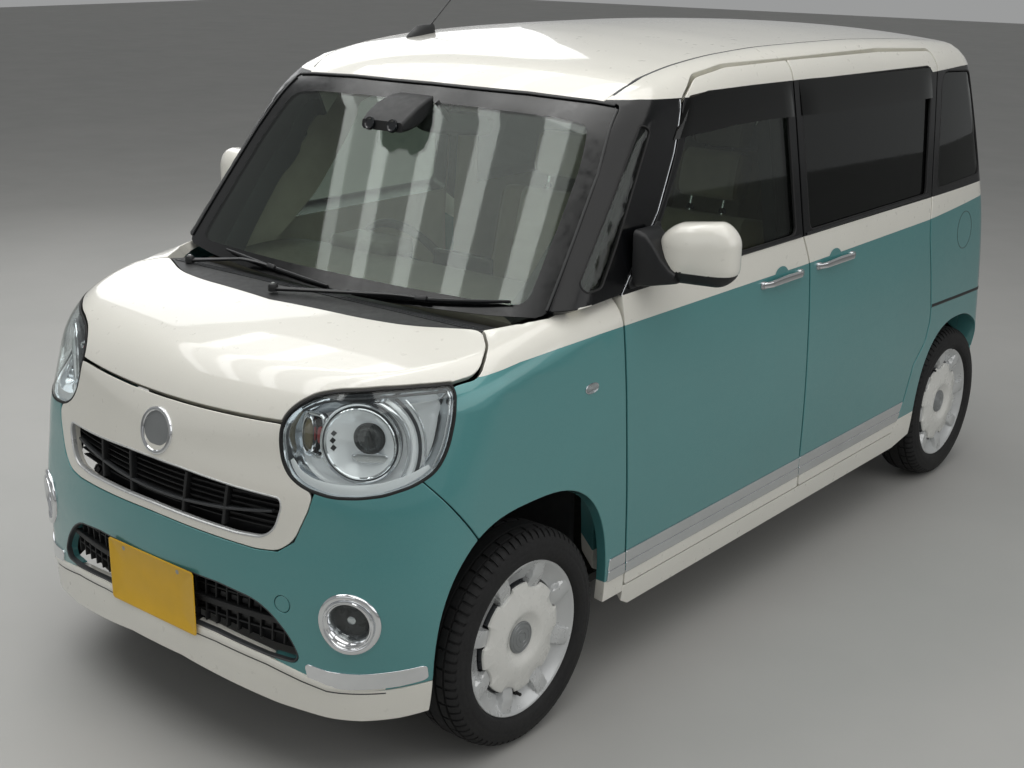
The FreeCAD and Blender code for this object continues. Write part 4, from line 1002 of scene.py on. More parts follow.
make("cap_grey", hexc("8C8F90"), 0.35, metal=0.4, vary=0.05)
make("reflector", hexc("DDE2E6"), 0.1, metal=0.95, vary=0.05, rvary=0.06)
# painted glow: a faint emission brightens the white lamp parts, though no lamp in the scene is lit
make("lamp_white", hexc("EEF0F1"), 0.2, metal=0.12, coat=0.5, vary=0.02, emit=((0.92, 0.95, 0.96, 1), 0.07))
make("lamp_dark", hexc("3A3C3F"), 0.3, metal=0.3, vary=0.1)
make("amber", hexc("6A6148"), 0.25, coat=0.4, vary=0.12)
make("red_plastic", hexc("8E1210"), 0.14, coat=0.8, vary=0.15)
make("sticker_blank", hexc("BFC4C2"), 0.4, vary=0.04)
make("trim_beige", hexc("B9B2A3"), 0.62, vary=0.08, grain=0.08, gscale=650)
make("trim_dark", hexc("4B463E"), 0.6, vary=0.1, grain=0.08, gscale=650)
make("headliner", hexc("CFCBC1"), 0.9, vary=0.05, grain=0.1, gscale=1500)
make("carpet", hexc("2E2C2A"), 0.95, vary=0.2, grain=0.3, gscale=1300, scale=40)
make("cast", hexc("6B6A67"), 0.55, metal=0.6, vary=0.15, grain=0.6, gscale=260)
make("black_steel", hexc("17181A"), 0.45, metal=0.3, vary=0.25, grain=0.3, gscale=300, wear=(hexc("3B332B"), 0.5))
make("steel", hexc("8A8781"), 0.42, metal=0.85, vary=0.12, grain=0.25, gscale=380, wear=(hexc("6B4F38"), 0.45))
make("zinc", hexc("A9ABAA"), 0.35, metal=0.9, vary=0.08, grain=0.1)
make("underbody", hexc("26282A"), 0.75, vary=0.2, grain=0.8, gscale=240, wear=(hexc("4B463F"), 0.45))
make("plate_yellow", hexc("E3B323"), 0.38, vary=0.04, grain=0.08, gscale=300)
make("mirror_glass", hexc("C8CDD0"), 0.03, metal=1.0, vary=0.02, rvary=0.015)
make("screen_dark", hexc("101418"), 0.12, coat=0.5, vary=0.15)
make("ditch_grey", hexc("4A4C4E"), 0.55, vary=0.12, grain=0.3)
cloth("seat_cloth", hexc("C4BCA9"))
cloth("seat_side", hexc("8E8268"), 0.8, 700.0)
glass("glass_clear", hexc("DDE3DE"))
glass("glass_screen", hexc("EFF6F1"), ior=1.5)
glass("glass_dark", hexc("60676A"), ior=1.5)
glass("lens_clear", hexc("FAFCFC"), ior=1.42)
glass("visor_smoke", hexc("6E6864"), ior=1.45)
glass("lens_red", hexc("D0302A"), ior=1.45, body=hexc("7A0C0A"), bodyfac=0.55)
glass("lens_amber", hexc("E08A2A"), ior=1.45, body=hexc("8A3C10"), bodyfac=0.45)


# ------------------------------------------------------------------ shape tools
def frames(pts, ups):
    """Tangent, side and up unit vectors along a path."""
    t = np.zeros_like(pts)
    t[1:-1] = pts[2:] - pts[:-2]
    t[0], t[-1] = pts[1] - pts[0], pts[-1] - pts[-2]
    t = unit(t)
    u = unit(ups - (ups * t).sum(-1, keepdims=True) * t)
    return t, np.cross(t, u), u


def sweep(name, pts, ups, sec, mats, closed=False, midx=None, smooth=True, scale=None, sec_closed=True, taper=0.0):
    """A section (side, up) in mm carried along a path of points with up vectors."""
    pts, ups = np.asarray(pts, float), np.asarray(ups, float)
    if ups.ndim == 1:
        ups = np.tile(ups, (len(pts), 1))
    if closed:
        a = np.vstack([pts[-1:], pts, pts[:1]])
        b = np.vstack([ups[-1:], ups, ups[:1]])
        t, s_, u = [q[1:-1] for q in frames(a, b)]
    else:
        t, s_, u = frames(pts, ups)
    sec = np.asarray(sec, float)
    m, n = len(sec), len(pts)
    k = np.ones(n) if scale is None else np.asarray(scale, float)
    V = (pts[:, None, :] + s_[:, None, :] * sec[None, :, 0:1] * k[:, None, None]
         + u[:, None, :] * sec[None, :, 1:2] * k[:, None, None]).reshape(-1, 3)
    F_, M_ = [], []
    for i in range(n if closed else n - 1):
        j = (i + 1) % n
        for a in range(m if sec_closed else m - 1):
            b = (a + 1) % m
            F_.append((i * m + a, j * m + a, j * m + b, i * m + b))
            M_.append(0 if midx is None else midx[a])
    if not closed and sec_closed:
        F_.append(tuple(range(m)))
        F_.append(tuple(reversed([(n - 1) * m + a for a in range(m)])))
        M_ += [0, 0]
    ob = new_mesh(name, V, F_, mats, M_, smooth=smooth)
    fix(ob)
    return ob


def fix(ob, angle=35.0, bevel=0.0, seg=2):
    """Outward faces, soft shading with crisp corners."""
    bm = bmesh.new()
    bm.from_mesh(ob.data)
    bmesh.ops.recalc_face_normals(bm, faces=bm.faces)
    if bevel:
        ed = [e for e in bm.edges if len(e.link_faces) == 2 and e.calc_face_angle(0) > math.radians(30)]
        if ed:
            bmesh.ops.bevel(bm, geom=ed, offset=bevel * MM, segments=seg, profile=0.5, affect="EDGES")
    for e in bm.edges:
        e.smooth = len(e.link_faces) == 2 and e.calc_face_angle(0) < math.radians(angle)
    for f in bm.faces:
        f.smooth = True
    bm.to_mesh(ob.data)
    bm.free()
    ob.data.update()
    return ob


def rect(w, h, r=0.0, at=(0, 0), k=3):
    """Rounded rectangle section, centred at a point."""
    if r <= 0:
        return [(at[0] + x * w / 2, at[1] + y * h / 2) for x, y in ((-1, -1), (1, -1), (1, 1), (-1, 1))]
    out = []
    for q, (x, y) in enumerate(((1, -1), (1, 1), (-1, 1), (-1, -1))):
        for j in range(k + 1):
            a = math.radians(-90 + 90 * q + 90 * j / k)
            out.append((at[0] + x * (w / 2 - r) + r * math.cos(a), at[1] + y * (h / 2 - r) + r * math.sin(a)))
    return out


def ring(r, n=12, at=(0, 0)):
    return [(at[0] + r * math.cos(2 * math.pi * i / n), at[1] + r * math.sin(2 * math.pi * i / n)) for i in range(n)]


def lathe(name, prof, c, d, mats, n=64, midx=None, closed=False, angle=30.0, up=(0, 0, 1), mod=None, caps=True):
    """A turned piece: profile of (r, h) with h along d from point c."""
    c, d = np.array(c, float), unit(np.array(d, float))
    e1 = np.cross(np.array(up, float), d)
    e1 = unit(e1) if np.linalg.norm(e1) > 1e-6 else np.array([1.0, 0, 0])
    e2 = np.cross(d, e1)
    V, F_, M_ = [], [], []
    m = len(prof)
    for i in range(n):
        a = 2 * math.pi * i / n
        v = e1 * math.cos(a) + e2 * math.sin(a)
        for j, (r, h) in enumerate(prof):
            if mod:
                r, h = mod(i, j, r, h)
            V.append(c + v * r + d * h)
    for i in range(n):
        k = (i + 1) % n
        for j in range(m if closed else m - 1):
            q = (j + 1) % m
            F_.append((i * m + j, k * m + j, k * m + q, i * m + q))
            M_.append(0 if midx is None else midx[j])
    ob = new_mesh(name, V, F_, mats, M_)
    bm = bmesh.new()
    bm.from_mesh(ob.data)
    bmesh.ops.remove_doubles(bm, verts=bm.verts, dist=1e-6)
    if caps and not closed:
        bmesh.ops.holes_fill(bm, edges=[e for e in bm.edges if e.is_boundary], sides=0)
    bm.to_mesh(ob.data)
    bm.free()
    return fix(ob, angle)


def block(name, x0, x1, y0, y1, z0, z1, mats, r=6.0, seg=3, rot=None, pivot=None, taper=None):
    """A moulded block with rounded edges."""
    V = [(x, y, z) for x in (x0, x1) for y in (y0, y1) for z in (z0, z1)]
    F_ = [(0, 1, 3, 2), (4, 6, 7, 5), (0, 4, 5, 1), (2, 3, 7, 6), (0, 2, 6, 4), (1, 5, 7, 3)]
    V = np.array(V, float)
    if taper:
        V = taper(V)
    if rot is not None:
        R = np.array(Euler([math.radians(a) for a in rot]).to_matrix())
        p = np.array(pivot if pivot is not None else V.mean(axis=0), float)
        V = (V - p) @ R.T + p
    ob = new_mesh(name, V, F_, mats)
    return fix(ob, 40, r, seg)


def loft(name, rings, mats, closed_ends=True, midx=None, angle=40.0, subsurf=0):
    """Rings of equal point count joined in order."""
    n = len(rings[0])
    V = np.vstack([np.asarray(r, float) for r in rings])
    F_, M_ = [], []
    for i in range(len(rings) - 1):
        for j in range(n):
            k = (j + 1) % n
            F_.append((i * n + j, i * n + k, (i + 1) * n + k, (i + 1) * n + j))
            M_.append(0 if midx is None else midx[i])
    if closed_ends:
        F_.append(tuple(range(n)))
        F_.append(tuple(reversed(range((len(rings) - 1) * n, len(rings) * n))))
        M_ += [M_[0], M_[-1]]
    ob = new_mesh(name, V, F_, mats, M_)
    fix(ob, angle)
    if subsurf:
        md = ob.modifiers.new("smooth", "SUBSURF")
        md.levels = md.render_levels = subsurf
    return ob


def mirrored(ob, name):
    """A copy on the other side of the car."""
    me = ob.data.copy()
    me.name = name
    has = me.has_custom_normals
    ln = None
    n = len(me.loops)
    if has:
        ln = np.zeros(n * 3)
        me.corner_normals.foreach_get("vector", ln)
        ln = ln.reshape(-1, 3)
    V = np.zeros(len(me.vertices) * 3)
    me.vertices.foreach_get("co", V)
    V = V.reshape(-1, 3)
    V[:, 0] *= -1
    faces, mi, loops = [], [], []
    for p in me.polygons:
        li = list(p.loop_indices)
        faces.append([me.loops[i].vertex_index for i in reversed(li)])
        mi.append(p.material_index)
        if has:
            loops += [ln[i] * np.array([-1, 1, 1]) for i in reversed(li)]
    m2 = bpy.data.meshes.new(name)
    m2.from_pydata(V.tolist(), [], faces)
    for m in me.materials:
        m2.materials.append(m)
    m2.polygons.foreach_set("material_index", np.array(mi, np.int32))
    m2.polygons.foreach_set("use_smooth", np.ones(len(m2.polygons), bool))
    m2.update()
    if has:
        m2.normals_split_custom_set([tuple(v) for v in loops])
    bpy.data.meshes.remove(me)
    o2 = bpy.data.objects.new(name, m2)
    bpy.context.scene.collection.objects.link(o2)
    for md in ob.modifiers:
        nm = o2.modifiers.new(md.name, md.type)
        if md.type == "SUBSURF":
            nm.levels = nm.render_levels = md.levels
    if not has:
        fix(o2, 40)
    return o2


def pair(ob, body, slot, body2=None, replaces=None, replaces2=None, name=None):
    """The piece and its mirror image, each riding on its body."""
    base = name or ob.name
    ob.name = base + "_left"
    o2 = mirrored(ob, base + "_right")
    if replaces:
        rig.replaces(ob, *replaces)
    if replaces2:
        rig.replaces(o2, *replaces2)
    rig.ride(ob, body)
    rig.slot(ob, slot)
    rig.ride(o2, body2 or body)
    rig.slot(o2, slot)
    return ob, o2


def on_skin(F, pts, view, depth=0.0, sign=1):
    """Points on the body and their normals, from an outline direction."""
    P, ok = lift(F, np.asarray(pts, float), view, sign)
    P = P[ok]
    N = grad(F, P)
    return P - N * depth, N


def dense(pts, step=14.0, closed=False):
    """Dense points along an open or closed line with corner radii."""
    if closed:
        return rounded(pts, step)
    p0, p1 = pts[0], pts[-1]
    q = rounded([(p0[0], p0[1])] + list(pts[1:-1]) + [(p1[0], p1[1])], step)
    # cut off the closing run
    d = [math.hypot(a[0] - p1[0], a[1] - p1[1]) for a in q]
    k = d.index(min(d))
    return q[:k + 1]


def strip(name, F, pts, view, sec, mats, depth=0.0, sign=1, closed=False, step=14.0, midx=None, smooth=True, scale=None):
    """A section laid along a line on the skin; its up direction is the skin normal."""
    q = dense(pts, step, closed)
    P, N = on_skin(F, q, view, depth, sign)
    sc = None if scale is None else [scale(i / (len(P) - 1)) for i in range(len(P))]
    return sweep(name, P, N, sec, mats, closed, midx, smooth, sc)


# ------------------------------------------------------------------ door lines
G = 3.5
HEM = 2.4
FRONT_DOOR = [(-733, 281, 14), (-739, 372), (-776, 1001), (-781, 1076, 6), (-595, 1253, 500),
              (-508, 1385, 400), (-452, 1520, 60), (-360, 1571, 110), (-200, 1588, 300),
              (117, 1588, 5), (141, 1078, 0), (171, 998, 60), (184, 683), (190, 345),
              (201, 281, 8)]
SLIDE_DOOR = [(117, 1588, 5), (141, 1078, 0), (171, 998, 60), (184, 683), (190, 345),
              (201, 281, 8), (868, 281, 18), (922, 373, 90), (944, 430, 60), (973, 504, 60),
              (1050, 569, 50), (1074, 640, 40), (1074, 686, 0), (1013, 973, 300),
              (1100, 1500, 40), (1080, 1562, 30), (700, 1580, 400)]
APERTURE = FRONT_DOOR[:9] + [(700, 1582, 400)] + SLIDE_DOOR[15:5:-1]
FRONT_HOLE = [(-690, 335, 60), (-735, 1040, 20), (-560, 1225, 500), (-455, 1400, 300),
              (-395, 1515, 60), (-250, 1548, 200), (80, 1552, 40), (100, 1000, 300), (130, 335, 60)]
SLIDE_HOLE = [(235, 335, 60), (225, 1000, 300), (165, 1552, 40), (600, 1546, 300),
              (1036, 1526, 34), (1060, 1400, 200), (985, 1000, 300), (1015, 700, 80),
              (930, 560, 80), (860, 335, 90)]
FRONT_GLASS = [(-726, 1092, 12), (-588, 1232, 300), (-478, 1382, 200), (-405, 1522, 40),
               (78, 1524, 25), (100, 1092, 25)]
SLIDE_GLASS = [(180, 1094, 25), (158, 1524, 25), (1048, 1512, 30), (1040, 1400, 200),
               (990, 1096, 25)]
REAR_QUARTER = [(1075, 1104, 25), (1140, 1490, 60), (1400, 1476, 60), (1450, 1300, 200),
                (1478, 1110, 40)]
SLOPE_QUARTER = [(-946, 1101, 22), (-856, 1106, 26), (-785, 1196, 200), (-606, 1458, 18),
                 (-634, 1474, 14), (-700, 1396, 400)]
SCREEN = both([(0, 1034), (250, 1036), (520, 1044), (640, 1052), (664, 1062, 20), (645, 1221, 600),
               (627, 1363, 600), (588, 1510, 24), (515, 1517, 300), (319, 1525, 500), (0, 1528)])
HOOD_TOP = both([(0, -1283), (292, -1257, 900), (426, -1229, 600), (584, -1146, 40),
                 (651, -1207, 150), (694, -1281, 60), (667, -1349, 30), (625, -1406, 200),
                 (567, -1460, 200), (485, -1510, 200), (434, -1535, 100), (401, -1560, 60),
                 (380, -1800), (0, -1800)])
GATE = both([(0, 452), (560, 452, 70), (590, 620, 200), (612, 1000, 400), (612, 1180, 300),
             (590, 1380, 300), (558, 1510, 40), (558, 1700), (0, 1700)])
GATE_GLASS = both([(0, 1080), (560, 1080, 60), (520, 1500, 60), (0, 1500)])
HEAD3D = [(381, -1600, 834), (377, -1591, 868), (384, -1578, 894), (401, -1560, 916),
          (434, -1535, 939), (485, -1510, 952), (567, -1460, 963), (625, -1406, 968),
          (667, -1349, 970), (683, -1352, 952), (694, -1367, 902), (696, -1390, 838),
          (690, -1422, 791), (665, -1470, 765), (624, -1523, 747), (582, -1556, 740),
          (518, -1586, 735), (457, -1601, 744), (416, -1607, 764), (392, -1605, 795)]
HEAD = [(C40 * x + S40 * y, z, 200) for x, y, z in HEAD3D]
HEAD[8] = HEAD[8][:2] + (12,)
PANEL = both([(0, 866), (129, 867), (256, 870), (392, 874), (400, 780), (440, 755), (479, 733, 20),
              (470, 694, 60), (438, 618, 90), (397, 588, 60), (338, 582, 200), (241, 585, 400),
              (59, 591), (0, 592)])
SMILE = both([(0, 724), (101, 723, 300), (276, 715, 300), (398, 712, 14), (403, 690, 40),
              (387, 636, 60), (356, 611, 60), (281, 606, 200), (58, 611), (0, 612)])
LOWGRILLE = both([(0, 478), (113, 478), (232, 475, 300), (339, 460, 200), (385, 434, 150),
                  (435, 385, 200), (464, 322, 20), (367, 325), (216, 344), (120, 349), (0, 349)])
LIP = both([(0, 349), (120, 349), (216, 345, 200), (367, 324, 300), (464, 299, 200),
            (526, 285, 200), (640, 283), (740, 296), (740, 217), (652, 203), (596, 200),
            (523, 202), (397, 208, 300), (257, 225, 300), (97, 245), (0, 246)])
FENDER = [(-736.5, 262), (-742.5, 372), (-779.5, 1001), (-784, 1075), (-870, 1073, 300),
          (-976, 1066, 100), (-1040, 1068), (-1146, 1046, 4), (-1210, 1026, 150),
          (-1284, 983, 60), (-1349, 972), (-1353, 950), (-1368, 902, 200), (-1392, 838, 200),
          (-1424, 791, 100), (-1452, 774), (-1326, 612), (-1300, 560), (-1137, 400), (-840, 340),
          (-832, 262)]
BUMPER_CUT = [(-1457, 778), (-1331, 612), (-1305, 560), (-1137, 300), (-1137, 100), (-700, 100),
              (-700, 1200), (-1500, 1200), (-1500, 780)]
TAIL_LAMP = [(640, 655, 24), (735, 655), (735, 1046), (640, 1046, 40), (634, 850, 600)]
SIDE_ALL = [(-790, 266), (-815, 700), (-830, 1000), (-900, 1060), (-1012, 1071), (-1030, 1085),
            (-1000, 1130), (-820, 1330), (-640, 1530), (-560, 1640), (-400, 1700), (1600, 1700),
            (1600, 1560), (1720, 1000), (1720, 640), (1648, 606, 20), (1577, 412),
            (1560, 366), (1560, 262), (1040, 262), (1020, 236), (900, 214), (-700, 214), (-737, 236)]
GROWN = grow(APERTURE, G)
POCKET = GROWN[3:] + [(-736.5, 277.5), (-736.5, 150), (-1100, 150), (-1100, 1068), (-1012, 1068)]


def arch(cy, a, b, n, cz=278.5, zmin=60, k=41):
    pts = [(cy - a, zmin)]
    for i in range(k):
        t = math.pi * (1 - i / (k - 1.0))
        c, q = math.cos(t), math.sin(t)
        pts.append((cy + a * math.copysign(abs(c) ** (2.0 / n), c), cz + b * abs(q) ** (2.0 / n)))
    pts.append((cy + a, zmin))
    return pts


ARCH_F = arch(-1137, 312, 366, 2.8)
ARCH_R = arch(1313, 292, 333, 2.4)

# paint lines, seen from the side
WHITE_UP = [(-1420, 972), (-1272.6, 978.5), (-1162, 989), (-1026, 994.5), (-876, 998.5), (-765, 999),
            (161, 999), (1005, 1008), (1450, 1028), (1800, 1046), (1800, 1900), (-1420, 1900)]
WHITE_LOW = [(-900, 100), (1800, 100), (1800, 321), (-900, 321)]
BLACK = [(-1250, 1030), (-1020, 1051), (-943, 1075), (-774, 1075), (-212, 1081), (1800, 1081), (1800, 1496),
         (1306, 1496), (1060, 1491), (1040, 1508), (574, 1517), (222, 1527), (-106, 1532), (-330, 1533, 60),
         (-400, 1522, 30), (-588, 1528), (-640, 1521), (-900, 1521)]
TWO_TONE = [(Cut(WHITE_UP, "side"), 2), (Cut(WHITE_LOW, "side"), 2), (Cut(BLACK, "side"), 3)]
SIDE_MATS = ["teal", "trim_beige", "white", "black_gloss"]
JAMB_MATS = ["teal", "inner_teal", "white", "black_gloss"]
P1 = 20.0 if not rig.quick() else 34.0


def hole(pts, d=0.0, view="side", **k):
    return Cut(grow(pts, d + HEM), view, keep=False, **k)


def edge(pts, d=0.0, view="side", **k):
    return Cut(grow(pts, d - HEM), view, **k)


# ---------------------------------------------------------------- outer panels
SIDE_BOX = (-1060, 1330 + 92 * 9, -560, 640)
d_front = panel("front_door_skin", D_SIDE, [edge(FRONT_DOOR, -G), hole(FRONT_GLASS)], 0, 60,
                (-830, 240, -460, 560), SIDE_MATS, HEM, P1, TWO_TONE, mirror=True)
for ob, sd in zip(d_front, ("left", "right")):
    add(ob, sd + "_front_door", "paint_teal", ["front_door_" + sd])
d_slide = panel("sliding_door_skin", D_SIDE, [edge(SLIDE_DOOR, -G), hole(SLIDE_GLASS), hole(ARCH_R)], 0, 60,
                (80, 1140, -460, 560), SIDE_MATS, HEM, P1, TWO_TONE, mirror=True)
add(d_slide[0], "body", "paint_teal", ["sliding_doors"])
add(d_slide[1], "body", "paint_teal")

ROOF_SIDE = [(0, -800), (540, -800), (540, -620), (566, -540), (566, 1900), (0, 1900)]
GATE_ROOM = grow(GATE, 6.5)
out_cuts = [Cut(SIDE_ALL, "side"), hole(POCKET), hole(REAR_QUARTER), hole(SLOPE_QUARTER), hole(ARCH_R),
            Cut(grow(SCREEN, 3 + HEM), "front", keep=False, sign=-1), Cut(grow(GATE_ROOM, HEM), "front", keep=False, sign=1),
            Cut(grow([(1537, 655, 20), (1526, 1046, 20), (1900, 1046), (1900, 655)], 1.5 + HEM), "side", keep=False)]


def high_side(P):
    """Above 1450 the roof panel begins inside this line."""
    x = np.abs(P[:, 0])
    lim = np.interp(P[:, 1], [-800, -620, -540, 1900], [540, 540, 566, 566])
    return (P[:, 2] < 1450) | (x > lim + HEM)


class RoofLine(Cut):
    """Where the side meets the roof panel, seen from above, as a fence on the side chart."""

    def __init__(self, d):
        self.keep, self.closed, self.d = False, False, d
        self.poly = [(x + d, y) for x, y in [(540, -700), (540, -620), (566, -540)]] + [(566 + d, y) for y in range(-500, 1560, 24)]

    def where(self, dom):
        return lift(dom.F, self.poly, "top")

    def isin(self, P):
        return ~high_side(P)


sides_out = panel("side_outer", D_SIDE, out_cuts + [RoofLine(HEM)], 0, 66, SIDE_BOX, JAMB_MATS, HEM, P1,
                  TWO_TONE, mirror=True)
add(sides_out[0], "body", "paint_teal", ["body_sides"])
add(sides_out[1], "body", "paint_teal")
in_cuts = [Cut(SIDE_ALL, "side"), hole(FRONT_HOLE), hole(SLIDE_HOLE), hole(REAR_QUARTER), hole(SLOPE_QUARTER), hole(ARCH_R),
           Cut(grow(SCREEN, 3 + HEM), "front", keep=False, sign=-1), Cut(grow(GATE_ROOM, HEM), "front", keep=False, sign=1),
           Cut([(1480, 190), (1900, 190), (1900, 452), (1480, 452)], "side", keep=False)]
sides_in = panel("side_frame", D_SIDE, in_cuts + [RoofLine(HEM)], 66.3, 108, (-1060, 1330 + 60 * 9, -560, 640),
                 ["teal", "trim_beige", "white", "black_satin"], HEM, P1 * 1.4, TWO_TONE, mirror=True)
for ob in sides_in:
    add(ob, "body", "paint_teal")

roof = panel("roof_skin", D_ROOF, [Cut(grow(both([(0, -720), (400, -720), (531, -660), (559, -556), (559, 1441), (0, 1441)]), -HEM), "top"),
                                   Cut(grow(SCREEN, 3 + HEM), "front", keep=False, sign=-1)], 0, 34,
             (-640, 640, -800, 1560), ["white", "headliner"], HEM, P1 * 1.3)
add(roof, "body", "paint_white", ["roof_panel"])

hood_cuts = [Cut(grow(HOOD_TOP, -2 - HEM), "top"), Cut(grow(HEAD, 6 + HEM), "diag", keep=False),
             Cut(grow(HEAD, 6 + HEM), "diagR", keep=False),
             Cut(grow(both([(0, 873.5), (129, 874.5), (256, 877.5), (376, 881.5), (760, 884), (760, 400), (0, 400)]), HEM), "front", keep=False, sign=-1)]
hood = panel("hood_skin", D_HOOD, hood_cuts, 0, 18, (-900, 900, -2300, -1130), ["white", "underbody"], HEM, P1)
add(hood, "hood", "paint_white", ["hood"])

NB_L = (-80 * 11, 24 * 11, -27 * 11, 52 * 11)
fender_in = [(0, -1300), (588, -1150), (600, -1130), (650, -1040), (664, -1000), (668, -780), (0, -780)]
fen = panel("fender_skin", D_NOSE, [edge(FENDER), hole(ARCH_F), Cut(grow(HOOD_TOP, 4 + HEM), "top", keep=False),
                                    Cut(grow(HEAD, 2.5 + HEM), "diag", keep=False), Cut(grow(fender_in, HEM), "top", keep=False),
                                    Cut(grow(SCREEN, 3 + HEM), "front", keep=False, sign=-1)],
            0, 24, NB_L, JAMB_MATS, HEM, P1, [TWO_TONE[0], TWO_TONE[1]], mirror=True)
add(fen[0], "body", "paint_teal", ["front_fenders"])
add(fen[1], "body", "paint_teal")

NB = (-173 * 11, -7 * 11, -27 * 11, 53 * 11)
gp = panel("grille_panel_skin", D_NOSE, [Cut(grow(PANEL, -HEM), "front", sign=-1), Cut(grow(SMILE, HEM), "front", keep=False, sign=-1),
                                         Cut(grow(HEAD, 2.5 + HEM), "diag", keep=False), Cut(grow(HEAD, 2.5 + HEM), "diagR", keep=False)],
           0, 22, NB, ["white", "black_satin"], HEM, P1 * 0.8)
add(gp, "body", "paint_white", ["grille_panel"])

pan_cut = both([(0, 1000), (392, 1000), (402, 778), (442, 751)] + [(p[0], p[1]) for p in grow(PANEL, 2.0)[6:13]] + [(0, 590)])
FOG_C, FOG_D = np.array([579.0, -1594, 448]), unit(np.array([0.42, -0.905, -0.06]))
MIR = np.array([-1.0, 1, 1])


bump = panel("front_bumper_skin", D_NOSE, [
    Cut(grow(BUMPER_CUT, HEM), "side", keep=False), Cut(grow(BUMPER_CUT, HEM), "side", keep=False, sign=-1),
    Cut(grow(ARCH_F, HEM), "side", keep=False), Cut(grow(ARCH_F, HEM), "side", keep=False, sign=-1),
    Cut(grow(HEAD, 2.5 + HEM), "diag", keep=False), Cut(grow(HEAD, 2.5 + HEM), "diagR", keep=False),
    Cut(grow(pan_cut, HEM), "front", keep=False, sign=-1), Cut(grow(LOWGRILLE, HEM), "front", keep=False, sign=-1),
    Cut(grow(LIP, 1 + HEM), "front", keep=False, sign=-1),
    Bore(FOG_C, FOG_D, 60 + HEM), Bore(FOG_C * MIR, FOG_D * MIR, 60 + HEM), Bore((415, -1650, 464), (0, -1, 0), 21 + HEM, back=60)],
    0, 26, NB, ["teal", "black_satin"], HEM, P1 * 0.9, keep_fn=lambda P: P[:, 2] > 262)
add(bump, "body", "paint_teal", ["front_bumper"])

lip = panel("front_lip_skin", D_NOSE, [Cut(grow(LIP, -HEM), "front", sign=-1), Cut(grow(ARCH_F, HEM), "side", keep=False),
                                       Cut(grow(ARCH_F, HEM), "side", keep=False, sign=-1)],
            0, 26, NB, ["white", "black_satin"], HEM, P1 * 0.7, keep_fn=lambda P: P[:, 1] < -1337)
add(lip, "body", "paint_white", ["front_lip"])

gate = panel("tailgate_skin", D_GATE, [Cut(grow(GATE, -HEM), "front", sign=1), Cut(grow(GATE_GLASS, HEM), "front", keep=False, sign=1)],
             0, 29, (-774.4, 774.4, 380, 1840), ["teal", "trim_beige", "white", "black_gloss"], HEM, P1 * 0.8,
             [(Cut(both([(0, 1038), (700, 1032), (700, 1900), (0, 1900)]), "front", sign=1), 2),
              (Cut(both([(0, 1066), (640, 1066), (640, 1498), (0, 1512)]), "front", sign=1), 3)],
             keep_fn=lambda P: P[:, 1] > 1450)
add(gate, "tailgate", "paint_teal", ["tailgate"])

rear = panel("rear_bumper_skin", D_TAIL, [
    Cut(grow([(1575, 205), (1575, 300), (1586, 420, 60), (1653, 602, 20), (1800, 602), (1800, 205)], -HEM), "side"),
    Cut(grow([(1575, 205), (1575, 300), (1586, 420, 60), (1653, 602, 20), (1800, 602), (1800, 205)], -HEM), "side", sign=-1),
    Cut(grow(GATE, 6.5 + HEM), "front", keep=False, sign=1), hole(ARCH_R), hole(ARCH_R, sign=-1)],
    0, 26, (4 * 11, 176 * 11, -25 * 11, 31 * 11), ["teal", "black_satin", "white"], HEM, P1,
    [(Cut(both([(0, 321), (900, 321), (900, 100), (0, 100)]), "front", sign=1), 2)])
add(rear, "body", "paint_teal", ["rear_bumper"])

# --------------------------------------------------------------------- glazing
CLEAR = both([(0, 1106), (300, 1106), (520, 1104), (584, 1092), (622, 984), (599, 744), (569, 677), (0, 1480)])
inner_edge = both([(0, 1074), (400, 1072), (560, 1070), (606, 1078, 40), (592, 1240, 400), (574, 1380, 400), (542, 1468, 40), (430, 1480, 200),
                   (230, 1486, 300), (0, 1488)])
screen = panel("windscreen_glass", D_SCREEN, [Cut(SCREEN, "front", sign=-1)], 3, 8, (-760, 760, 940, 1660),
               ["frit", "glass_screen"], 0.8, P1, [(Cut(inner_edge, "front", sign=-1), 1)])
add(screen, "body", "clear_glass", ["windscreen"])
gl = panel("front_door_pane", D_SIDE, [Cut(grow(FRONT_GLASS, -1.8), "side")], 10, 15, (-830, 240, 100, 560), ["glass_clear", "glass_clear"], 0.8, P1 * 1.6, mirror=True)
for ob, sd in zip(gl, ("left", "right")):
    add(ob, sd + "_front_door", "clear_glass", ["front_door_glass_" + sd])
gl = panel("sliding_door_pane", D_SIDE, [Cut(grow(SLIDE_GLASS, -1.8), "side")], 10, 15, (80, 1140, 100, 560), ["glass_dark", "glass_dark"], 0.8, P1 * 1.6, mirror=True)
add(gl[0], "body", "dark_glass", ["sliding_door_glass"])
add(gl[1], "body", "dark_glass")
gl = panel("rear_quarter_pane", D_SIDE, [Cut(grow(REAR_QUARTER, -1.8), "side")], 4, 9, (1040, 1330 + 50 * 9, 100, 560), ["glass_dark", "glass_dark"], 0.8, P1 * 1.6, mirror=True)
add(gl[0], "body", "dark_glass", ["quarter_glass"])
add(gl[1], "body", "dark_glass")
gl = panel("slope_quarter_pane", D_SIDE, [Cut(grow(SLOPE_QUARTER, -1.8), "side")], 4, 9, (-1010, -560, 100, 560), ["glass_clear", "glass_clear"], 0.8, P1 * 1.6, mirror=True)
for ob in gl:
    bm = bmesh.new()
    bm.from_mesh(ob.data)
    free = [v for v in bm.verts if all(len(e.link_faces) == 2 and e.calc_face_angle(0) < 0.4 for e in v.link_edges)]
    for _ in range(12):
        bmesh.ops.smooth_vert(bm, verts=free, factor=0.5, use_axis_x=True, use_axis_y=True, use_axis_z=True)
    bm.to_mesh(ob.data)
    bm.free()
add(gl[0], "body", "clear_glass")
add(gl[1], "body", "clear_glass")
